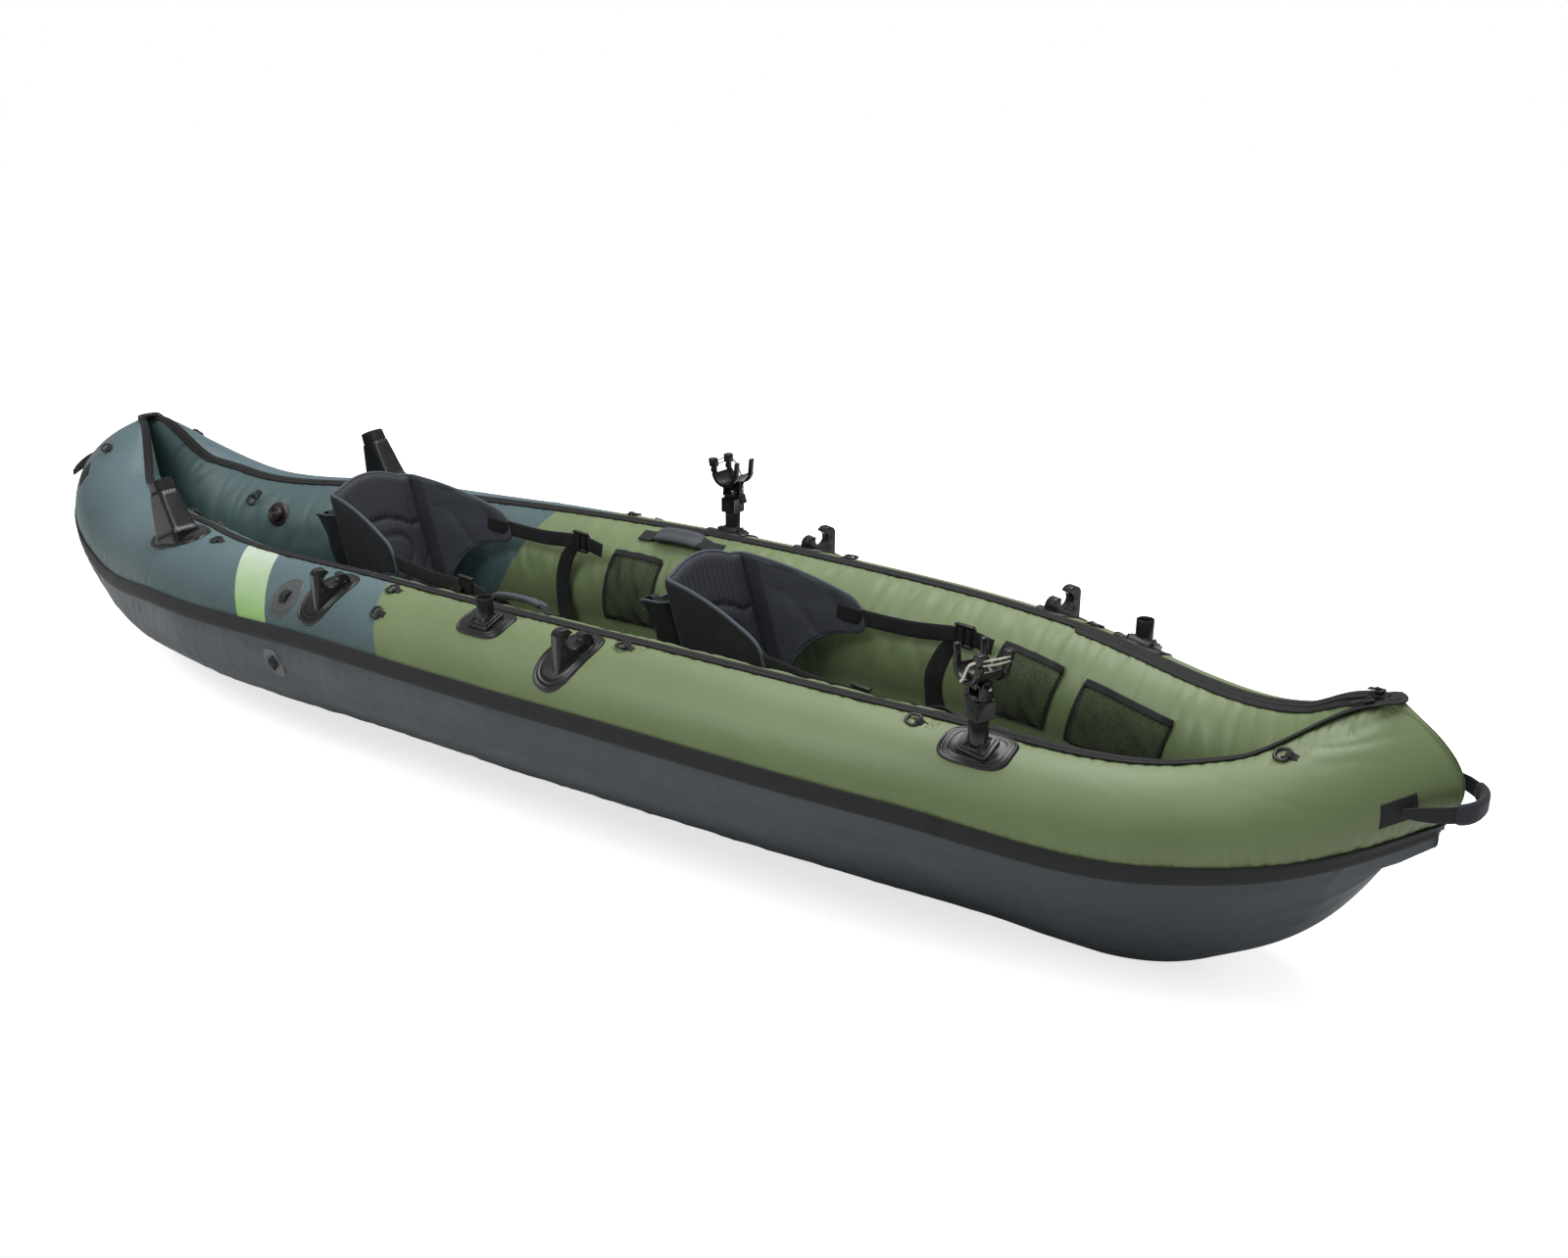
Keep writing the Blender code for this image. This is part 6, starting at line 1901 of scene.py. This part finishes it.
def net_pocket(label, side_name):
    """Loose front of knitted net, sewn down at its sides and foot, with a bound top edge."""
    side = SIDES[side_name]
    top_a, top_b, low_a, low_b = NET_POCKETS[label]
    length = top_b[0] - top_a[0]
    depth = math.radians(low_a[1] - top_a[1]) * section(top_a[0] / HALF_LENGTH).tall

    def spot(u, v, lift):
        x = (top_a[0] * (1 - u) + top_b[0] * u) * (1 - v) + (low_a[0] * (1 - u) + low_b[0] * u) * v
        angle = (top_a[1] * (1 - u) + top_b[1] * u) * (1 - v) + (low_a[1] * (1 - u) + low_b[1] * u) * v
        t = x / HALF_LENGTH
        return tube_point(t, angle, side) + outward(hull_step(t), angle, side) * lift

    def slack(u, v):
        hold = min(1.0, u / 0.10, (1 - u) / 0.10, (1 - v) / 0.10)
        fold = noise.noise(Vector((2.4 * u + 0.8 * v, 1.6 * v, 5.0 + side + length * 40)))
        fold += 0.5 * noise.noise(Vector((6.0 * u - 2.5 * v, 3.0 * v, 9.0)))
        return 0.0016 + hold * (0.0060 + 0.0085 * fold + 0.0035 * (1 - v)) if hold > 0 else 0.0016

    bm = bmesh.new()
    columns, lines = round(length / NET_CELL), round(depth / NET_CELL)
    bmesh.ops.create_grid(bm, x_segments=columns, y_segments=lines, size=0.5)
    straight = bm.edges[:]
    bmesh.ops.poke(bm, faces=bm.faces[:])
    bmesh.ops.dissolve_edges(bm, edges=[edge for edge in straight if not edge.is_boundary], use_verts=False)
    for vert in bm.verts:
        u, v = vert.co.x + 0.5, 0.5 - vert.co.y
        vert.co = spot(u, v, max(slack(u, v), 0.0016))
    bm.normal_update()
    bmesh.ops.wireframe(bm, faces=bm.faces[:], thickness=NET_THICKNESS, use_replace=True, use_boundary=True,
                        use_even_offset=False)
    bmesh.ops.recalc_face_normals(bm, faces=bm.faces)
    net = new_piece(bm, "net_pocket_" + label + "_" + side_name, NET_THREAD)
    hem = [spot(u / 24, 0.0, max(slack(u / 24, 0.0), 0.0016) + 0.0012) for u in range(25)]
    ways = [outward(hull_step(p.x / HALF_LENGTH), top_a[1], side) for p in hem]
    ribbon("net_pocket_hem_" + label + "_" + side_name, hem, ways, 0.0068, 0.0018, WEBBING, columns=50)
    for u, end in ((0.0, "aft"), (1.0, "forward")):
        edge = [spot(u, v / 16, 0.0020) for v in range(17)]
        ways = [outward(hull_step(p.x / HALF_LENGTH), top_a[1] + (low_a[1] - top_a[1]) * v / 16, side)
                for v, p in enumerate(edge)]
        ribbon("net_pocket_edge_" + label + "_" + side_name + "_" + end, edge, ways, 0.0028, 0.0012, WEBBING,
               columns=40)


for side_name in SIDES:
    for label in NET_POCKETS:
        net_pocket(label, side_name)


INNER_RING = (-1.205, 132.0)


def inner_ring(side_name):
    """Ring for a tie on the inner wall near the stern, under its sewn tab."""
    side = SIDES[side_name]
    spot = tube_cloth(*INNER_RING, side, 0.0)
    loop = []
    for k in range(40):
        turn = 2 * math.pi * k / 40
        cosine, sine = math.cos(turn), math.sin(turn)
        along = 0.0125 * curved(cosine, 0.7)
        round_ = 0.0100 + 0.0115 * curved(sine, 0.7)
        point, out = spot(along, round_)
        loop.append(point + out * (0.0040 + 0.0016 * (1 - sine)))
    cord_piece("inner_ring_" + side_name, loop, 0.0021, SATIN, closed=True)
    path, ways = [], []
    for round_, lift in ((-0.020, 0.0008), (-0.010, 0.0010), (-0.003, 0.0060), (0.001, 0.0075), (0.004, 0.0045),
                         (0.003, 0.0012)):
        point, out = spot(0.0, round_)
        path.append(point + out * lift)
        ways.append(out + (spot(0.0, round_ + 0.001)[0] - point).normalized() * (0.9 if round_ > 0 else 0.0))
    ribbon("inner_ring_tab_" + side_name, path, ways, 0.0085, 0.0014, WEBBING, columns=40)
    lines = []
    for middle in (-0.036, 0.036):
        lines += boxed_cross(tube_cloth(INNER_RING[0] + middle, INNER_RING[1] - 1.0, side, 0.0008), 0.018, 0.014)
    stitches("inner_ring_stitching_" + side_name, lines, GOLD_THREAD, pitch=0.0030, size=(0.0011, 0.0004, 0.0003))


def lash_patch(name, half_long, half_round, turn, surface):
    """Oval patch with a loop of webbing across it; surface(along, round) gives (point, way out)."""
    def place(u, v):
        around = 2 * math.pi * u
        share = min(v / 0.9, 1.0)
        along = half_long * math.cos(around) * share
        round_ = half_round * math.sin(around) * share
        a = along * math.cos(turn) - round_ * math.sin(turn)
        r = along * math.sin(turn) + round_ * math.cos(turn)
        point, out = surface(a, r)
        rise = 0.0016 + 0.0009 * math.exp(-((share - 0.94) / 0.04) ** 2) if v <= 0.9 else 0.0
        rise += 0.0007 * math.exp(-((share - 0.72) / 0.05) ** 2) if v <= 0.9 else 0.0
        return point + out * rise, (a, r)

    base, out = surface(0.0, 0.0)
    patch = cloth_piece(name, 56, 24, place, PATCH, closed=True, inside=lambda p: base - out * 0.004)
    path, ways = lifted_path(lambda step: surface(-step * math.sin(turn), step * math.cos(turn)),
                             ((-0.014, 0.0018), (-0.010, 0.0022), (-0.006, 0.0052), (0.0, 0.0068), (0.006, 0.0052),
                              (0.010, 0.0022), (0.014, 0.0018)))
    ribbon(name + "_loop", path, ways, 0.0100, 0.0020, WEBBING, columns=40)


def bottom_cloth(x, w):
    """Function of (metres along, metres up) that gives a point on the bottom's side and its way out."""
    def at(x_, w_):
        y, z = bottom_curve(x_ / HALF_LENGTH)(w_)
        return Vector((x_, -y, z))

    def spot(along, round_):
        here = w - round_ / 0.42
        point = at(x + along, here)
        out = (at(x + along + 0.002, here) - at(x + along - 0.002, here)).cross(
            at(x + along, here - 0.005) - at(x + along, here + 0.005)).normalized()
        if out.y > 0:
            out = -out
        return point, out
    return spot


for side_name, side in SIDES.items():
    inner_ring(side_name)
    lash_patch("side_lash_patch_" + side_name, 0.036, 0.046, 0.0, tube_cloth(-0.466, 46.0, side, 0.0))
lash_patch("bottom_lash_patch", 0.034, 0.024, 2.35, bottom_cloth(-0.470, 0.145))


# Valves

CAP_RADIUS = 0.0188

def valve(side_name):
    """Ribbed cap with a swirl of ridges on its face, on a round boss."""
    side = SIDES[side_name]
    joint = joint_of("valve_" + side_name)
    low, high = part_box("valve_cap_" + side_name)
    centre = (Vector(low) + Vector(high)) / 2
    z = Vector(joint["axis"]).normalized()
    if z.y * side > 0:
        z = -z
    x = (Vector((1, 0, 0)) - z * z.x).normalized()
    turn = frame_at(x, z.cross(x), z, centre)
    rows = ((0.0, 0.0), (0.30, 0.0), (0.62, 0.0), (0.86, 0.0), (0.97, -0.0010), (1.0, -0.0030), (1.0, -0.0105),
            (0.90, -0.0110), (0.0, -0.0110))

    def place(u, v):
        around = 2 * math.pi * u
        i, w = row_at(rows, v)
        share = rows[i][0] * (1 - w) + rows[i + 1][0] * w
        height = rows[i][1] * (1 - w) + rows[i + 1][1] * w
        radius = CAP_RADIUS * share
        if height > -0.0012:
            swirl = math.cos(2 * around + share * 15.0)
            height += 0.0011 * swirl * min(1.0, share / 0.2) * (1 - ease(0.90, 1.0, share))
            height += 0.0012 * (1 - share * share)
        elif i < 7:
            radius *= 1 - 0.055 * (0.5 + 0.5 * math.cos(16 * around + 220 * height)) ** 2
        return turn @ Vector((radius * math.cos(around), radius * math.sin(around), 0.0055 + height)), \
            (radius * around, height)

    cap = cloth_piece("valve_cap_ribbed_" + side_name, 128, 64, place, VALVE_PLASTIC, "valve_" + side_name,
                      closed=True, inside=lambda p: centre)
    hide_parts("valve_cap_" + side_name)
    bm = bmesh.new()
    boss = turned(((0.0, -0.0006), (0.0285, -0.0006), (0.0288, 0.0006), (0.0275, 0.0016), (0.0245, 0.0022),
                   (0.0240, 0.0038), (0.0215, 0.0042), (0.0, 0.0042)), 48)
    add_shape(bm, boss, turn @ Matrix.Translation((0, 0, -0.0055 - 0.0043)))
    piece = new_piece(bm, "valve_boss_" + side_name, VALVE_PLASTIC, sharp=40)


for side_name in SIDES:
    valve(side_name)


# Rod holders

POST_TOP = 0.046
TILT_PIVOT = 0.0526
STANDING = Matrix(((0, 0, 1, 0), (1, 0, 0, 0), (0, 1, 0, 0), (0, 0, 0, 1)))  # x to y, y to z


def holder_place(side_name):
    """Frame on top of the mount's post, turned with the holder."""
    side = SIDES[side_name]
    x, angle = ROD_MOUNTS[ROD_HOLDERS[side_name]]
    top = tube_point(x / HALF_LENGTH, angle, side) + Vector((0, 0, POST_TOP))
    turn = -25.0 if side < 0 else 180.0
    return Matrix.Translation(top) @ Matrix.Rotation(math.radians(turn), 4, "Z")


def holder_foot(side_name, turn):
    """Round shank, and the block on top of it with its two screws."""
    bm = bmesh.new()
    add_shape(bm, turned(((0.0, -0.036), (0.0112, -0.036), (0.0121, -0.0345), (0.0121, 0.0004), (0.0, 0.0004)), 32),
              turn)
    body = block((-0.017, -0.017, 0.0003), (0.017, 0.017, 0.0303))
    sides = [face for face in body.faces if abs(face.normal.z) < 0.5]
    bmesh.ops.inset_individual(body, faces=sides, thickness=0.0042, depth=-0.0011)
    soften(body, 0.0010, 2, 25)
    add_shape(bm, body, turn)
    for y in (-1, 1):
        screw = turned(((0.0, -0.0006), (0.0030, -0.0006), (0.0030, 0.0010), (0.0022, 0.0016), (0.0, 0.0016)), 20)
        add_shape(bm, screw, turn @ Matrix.Translation((0, y * 0.0159, 0.016)) @
                  Matrix.Rotation(-y * math.pi / 2, 4, "X"))
    name = "rod_holder_shank_" + side_name
    piece = new_piece(bm, name + "_block", GLOSS, "holder_shank_" + side_name, sharp=35)
    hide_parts(name)


def holder_head(side_name, turn):
    """Turntable with a ribbed edge, and two ears for the axle."""
    base = 0.0306
    bm = bmesh.new()
    table = turned(((0.0, 0.0), (0.0162, 0.0), (0.0175, 0.0012), (0.0175, 0.0066), (0.0162, 0.0080), (0.0, 0.0080)),
                   48)
    add_shape(bm, table, turn @ Matrix.Translation((0, 0, base)))
    for k in range(24):
        rib = block((0.0168, -0.0009, 0.0014), (0.0181, 0.0009, 0.0064), 0.0003, 1)
        add_shape(bm, rib, turn @ Matrix.Translation((0, 0, base)) @ Matrix.Rotation(k * math.pi / 12, 4, "Z"))
    outline = [(-0.0125, 0.004), (0.0125, 0.004), (0.0112, 0.017)]
    outline += [(0.0098 * math.cos(a), 0.022 + 0.0098 * math.sin(a)) for a in
                [math.radians(10 + 16 * k) for k in range(11)]]
    outline += [(-0.0112, 0.017)]
    for sign in (-1, 1):
        ear = plate(outline, 0.005, 0.0009, 2)
        add_shape(bm, ear, turn @ Matrix.Translation((sign * 0.0145, 0, base)) @ STANDING)
    name = "rod_holder_head_" + side_name
    piece = new_piece(bm, name + "_table", GLOSS, "holder_head_" + side_name, sharp=35)
    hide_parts(name)


TROUGH = 0.0305
BED = 0.0262
TROUGH_LIFT = 0.0050
FINGER_Y = 0.0235


def holder_cradle(side_name, turn):
    """Half-round trough with two plain fingers, two broad hooked ones and a hub."""
    body = "holder_cradle_" + side_name
    pivot = turn @ Matrix.Translation((0, 0, TILT_PIVOT))
    across = Matrix.Rotation(math.pi / 2, 4, "Y")
    bm = bmesh.new()
    add_shape(bm, turned(((0.0, -0.0112), (0.0080, -0.0112), (0.0088, -0.0100), (0.0088, 0.0100), (0.0080, 0.0112),
                          (0.0, 0.0112)), 32), pivot @ across)
    add_shape(bm, turned(((0.0, -0.0250), (0.0034, -0.0250), (0.0040, -0.0244), (0.0040, 0.0244), (0.0034, 0.0250),
                          (0.0, 0.0250)), 20), pivot @ across)
    add_shape(bm, block((-0.0085, -0.0150, 0.0010), (0.0085, 0.0150, 0.0105), 0.0015, 2), pivot)
    lift = Matrix.Translation((0, 0, TROUGH + TROUGH_LIFT))
    facing = Matrix.Rotation(math.pi / 2, 4, "X")
    for outer, inner, length, shift in ((TROUGH - 0.0008, BED, 0.054, 0.0), (0.0322, 0.0238, 0.0080, 0.0255),
                                        (0.0322, 0.0238, 0.0080, -0.0255)):
        turns = [math.radians(192.0 + 156.0 * k / 32) for k in range(33)]
        outline = [(outer * math.cos(a), outer * math.sin(a)) for a in turns]
        outline += [(inner * math.cos(a), inner * math.sin(a)) for a in turns[::-1]]
        trough = plate(outline, length, 0.0007, 2)
        add_shape(bm, trough, pivot @ Matrix.Translation((0, shift, 0)) @ lift @ facing)
    rim = 0.5 * (TROUGH + BED) * math.cos(math.radians(12))
    low = TROUGH + TROUGH_LIFT - TROUGH * math.sin(math.radians(12)) - 0.006
    for sx in (-1, 1):
        for sy in (-1, 1):
            y = sy * FINGER_Y
            finger = block((-0.0042, -0.0054, 0.0), (0.0042, 0.0054, 0.036), 0.0028, 3)
            bmesh.ops.bisect_plane(finger, geom=finger.verts[:] + finger.edges[:] + finger.faces[:],
                                   plane_co=(0, 0, 0.018), plane_no=(0, 0, 1))
            for vert in finger.verts:
                vert.co.x += sx * 0.0030 * (vert.co.z / 0.036) ** 2
            add_shape(bm, finger, pivot @ Matrix.Translation((sx * rim, y, low)))
            if sx > 0:
                head = block((-0.0058, -0.0084, 0.0190), (0.0088, 0.0084, 0.0372), 0.0030, 3)
                for vert in head.verts:
                    vert.co.x += 0.0020 * max((vert.co.z - 0.024) / 0.012, 0.0)
                    vert.co.y += sy * 0.0012 * max((vert.co.z - 0.024) / 0.012, 0.0)
                add_shape(bm, head, pivot @ Matrix.Translation((rim, y, low)))
                add_shape(bm, block((0.0030, -0.0058, 0.0080), (0.0064, 0.0058, 0.0180), 0.0012, 2),
                          pivot @ Matrix.Translation((rim, y, low)))
    hook = rod([(0.004, -0.029, 0.012), (0.004, -0.0345, 0.012), (0.004, -0.0365, 0.017)],
               [0.0028, 0.0028, 0.0024], 14)
    add_shape(bm, hook, pivot)
    shield = plate([(-0.0150, 0.002), (-0.013, -0.003), (0.013, -0.003), (0.0150, 0.002), (0.017, 0.018),
                    (-0.017, 0.018)], 0.0024, 0.0007, 2)
    add_shape(bm, shield, pivot @ Matrix.Translation((0, -0.0165, 0.0010)) @ facing)
    name = "rod_holder_cradle_" + side_name
    piece = new_piece(bm, name + "_trough", GLOSS, body, sharp=35)
    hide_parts(name)

    def at(x, y, z):
        return pivot @ Vector((x, y, z))

    top = low + 0.0225
    for k, (z, sag) in enumerate(((top + 0.006, 0.0010), (top - 0.001, 0.0016))):
        points = [at(rim + 0.0092, FINGER_Y * (w / 6 - 1), z - sag * math.sin(math.pi * w / 12)) for w in range(13)]
        cord_piece("rod_elastic_" + side_name + "_" + str(k + 1), points, 0.0015, ELASTIC, body)
    run = spline([at(rim + 0.0040, -0.0320, top + 0.004), at(0.018, -0.0350, top - 0.006), at(0.010, -0.0375, 0.020),
                  at(0.0040, -0.0378, 0.0125)], 14)
    cord_piece("rod_elastic_" + side_name + "_3", run, 0.0021, ELASTIC, body)
    pins = bmesh.new()
    for sign in (-1, 1):
        pin = turned(((0.0, 0.0), (0.0026, 0.0), (0.0026, 0.0010), (0.0018, 0.0016), (0.0, 0.0016)), 20)
        add_shape(pins, pin, pivot @ Matrix.Translation((sign * 0.0249, 0, 0)) @
                  Matrix.Rotation(sign * math.pi / 2, 4, "Y"))
    piece = new_piece(pins, "rod_pivot_screws_" + side_name, STEEL, body, sharp=40)


def holder_lever(side_name, turn):
    """Thumb lever on one end of the axle."""
    pivot = turn @ Matrix.Translation((0, 0, TILT_PIVOT))
    bm = bmesh.new()
    arm = [(0.0075 * math.cos(a), 0.0075 * math.sin(a)) for a in [math.radians(-20 + 20 * k) for k in range(12)]]
    arm += [(-0.0070, -0.016), (0.0060, -0.016)]
    add_shape(bm, plate(arm, 0.0058, 0.0008, 2), pivot @ Matrix.Translation((-0.0207, 0, 0)) @ STANDING)
    paddle = block((-0.0105, -0.0085, -0.0300), (-0.0035, 0.0085, -0.0120), 0.0014, 3)
    for vert in paddle.verts:
        vert.co.x -= 0.0065 * (-0.012 - vert.co.z) / 0.018
    add_shape(bm, paddle, pivot @ Matrix.Translation((-0.0150, 0, 0)))
    name = "rod_holder_lever_" + side_name
    piece = new_piece(bm, name + "_paddle", SATIN, "holder_lever_" + side_name, sharp=35)
    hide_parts(name)


for side_name in SIDES:
    turn = holder_place(side_name)
    holder_foot(side_name, turn)
    holder_head(side_name, turn)
    holder_cradle(side_name, turn)
    holder_lever(side_name, turn)


# Material of the solid parts that stay, the air chambers

for obj in NODES.values():
    if not obj.data.materials:
        obj.data.materials.append(BLADDER)
    for slot in obj.material_slots:
        slot.material = BLADDER


# Floor, light and camera

def floor():
    material, tree, shader = new_material("pale_floor")
    _, grain = object_noise(tree, 3.0, 3.0)
    seen = node(tree, "LightPath").outputs["Is Camera Ray"]
    set_inputs(tree, shader, Base_Color=ranged(tree, grain, 0.3, 0.7, 0.84, 0.86), Roughness=0.9,
               Emission_Color=(1.0, 1.0, 1.0, 1.0), Emission_Strength=maths(tree, "MULTIPLY", seen, 0.72))
    bm = bmesh.new()
    bmesh.ops.create_grid(bm, x_segments=2, y_segments=2, size=14.0)
    obj = new_piece(bm, "studio_floor", material, None)


def area_light(name, place, aim, size, power):
    light = bpy.data.lights.new(name, "AREA")
    light.shape = "RECTANGLE"
    light.size, light.size_y = size
    light.energy = power
    obj = bpy.data.objects.new(name, light)
    obj.location = place
    obj.rotation_euler = (Vector(aim) - Vector(place)).to_track_quat("-Z", "Y").to_euler()
    link(obj)


AMBIENT = (0.12, 0.62)


def studio():
    """White surroundings with a soft sky, and two large lamps."""
    world = bpy.data.worlds.new("studio")
    bpy.context.scene.world = world
    world.use_nodes = True
    tree = world.node_tree
    back = tree.nodes["Background"]
    back.inputs["Color"].default_value = (1.0, 1.0, 1.0, 1.0)
    path = node(tree, "LightPath").outputs
    seen = maths(tree, "MAXIMUM", path["Is Camera Ray"], path["Is Transmission Ray"])
    split = node(tree, "SeparateXYZ", in_Vector=node(tree, "TexCoord").outputs["Generated"])
    soft = ranged(tree, split.outputs[2], 0.05, 0.75, *AMBIENT)
    set_inputs(tree, back, Strength=maths(tree, "MAXIMUM", seen, soft))
    area_light("key", (-1.2, -3.4, 4.2), (0, 0, 0.2), (3.2, 2.2), 120.0)
    area_light("top", (0.6, 1.2, 4.4), (0, 0.1, 0.2), (4.5, 2.5), 190.0)
    bpy.context.scene.view_settings.view_transform = "Standard"


# Camera, solved from points of the photograph: azimuth, elevation and roll in degrees
VIEW_ANGLES = (36.94, 19.80, 0.356)
VIEW_TARGET = (0.439, 0.0, 0.385)
VIEW_DISTANCE = 3.041
SENSOR = 36.0
FOCAL_SHARE = 1741.0 / 1600.0


def camera():
    """The photograph's view."""
    azimuth, elevation, roll = (math.radians(angle) for angle in VIEW_ANGLES)
    back = Vector((math.sin(azimuth) * math.cos(elevation), -math.cos(azimuth) * math.cos(elevation),
                   math.sin(elevation)))
    right = Vector((math.cos(azimuth), math.sin(azimuth), 0.0))
    up = back.cross(right)
    level = right * math.cos(roll) + up * math.sin(roll)
    upright = up * math.cos(roll) - right * math.sin(roll)
    view = bpy.data.cameras.new("photo_view")
    view.sensor_width = SENSOR
    view.lens = SENSOR * FOCAL_SHARE
    view.clip_end = 60.0
    obj = bpy.data.objects.new("photo_view", view)
    obj.matrix_world = frame_at(level, upright, back, Vector(VIEW_TARGET) + back * VIEW_DISTANCE)
    link(obj)
    bpy.context.scene.camera = obj


floor()
studio()
camera()
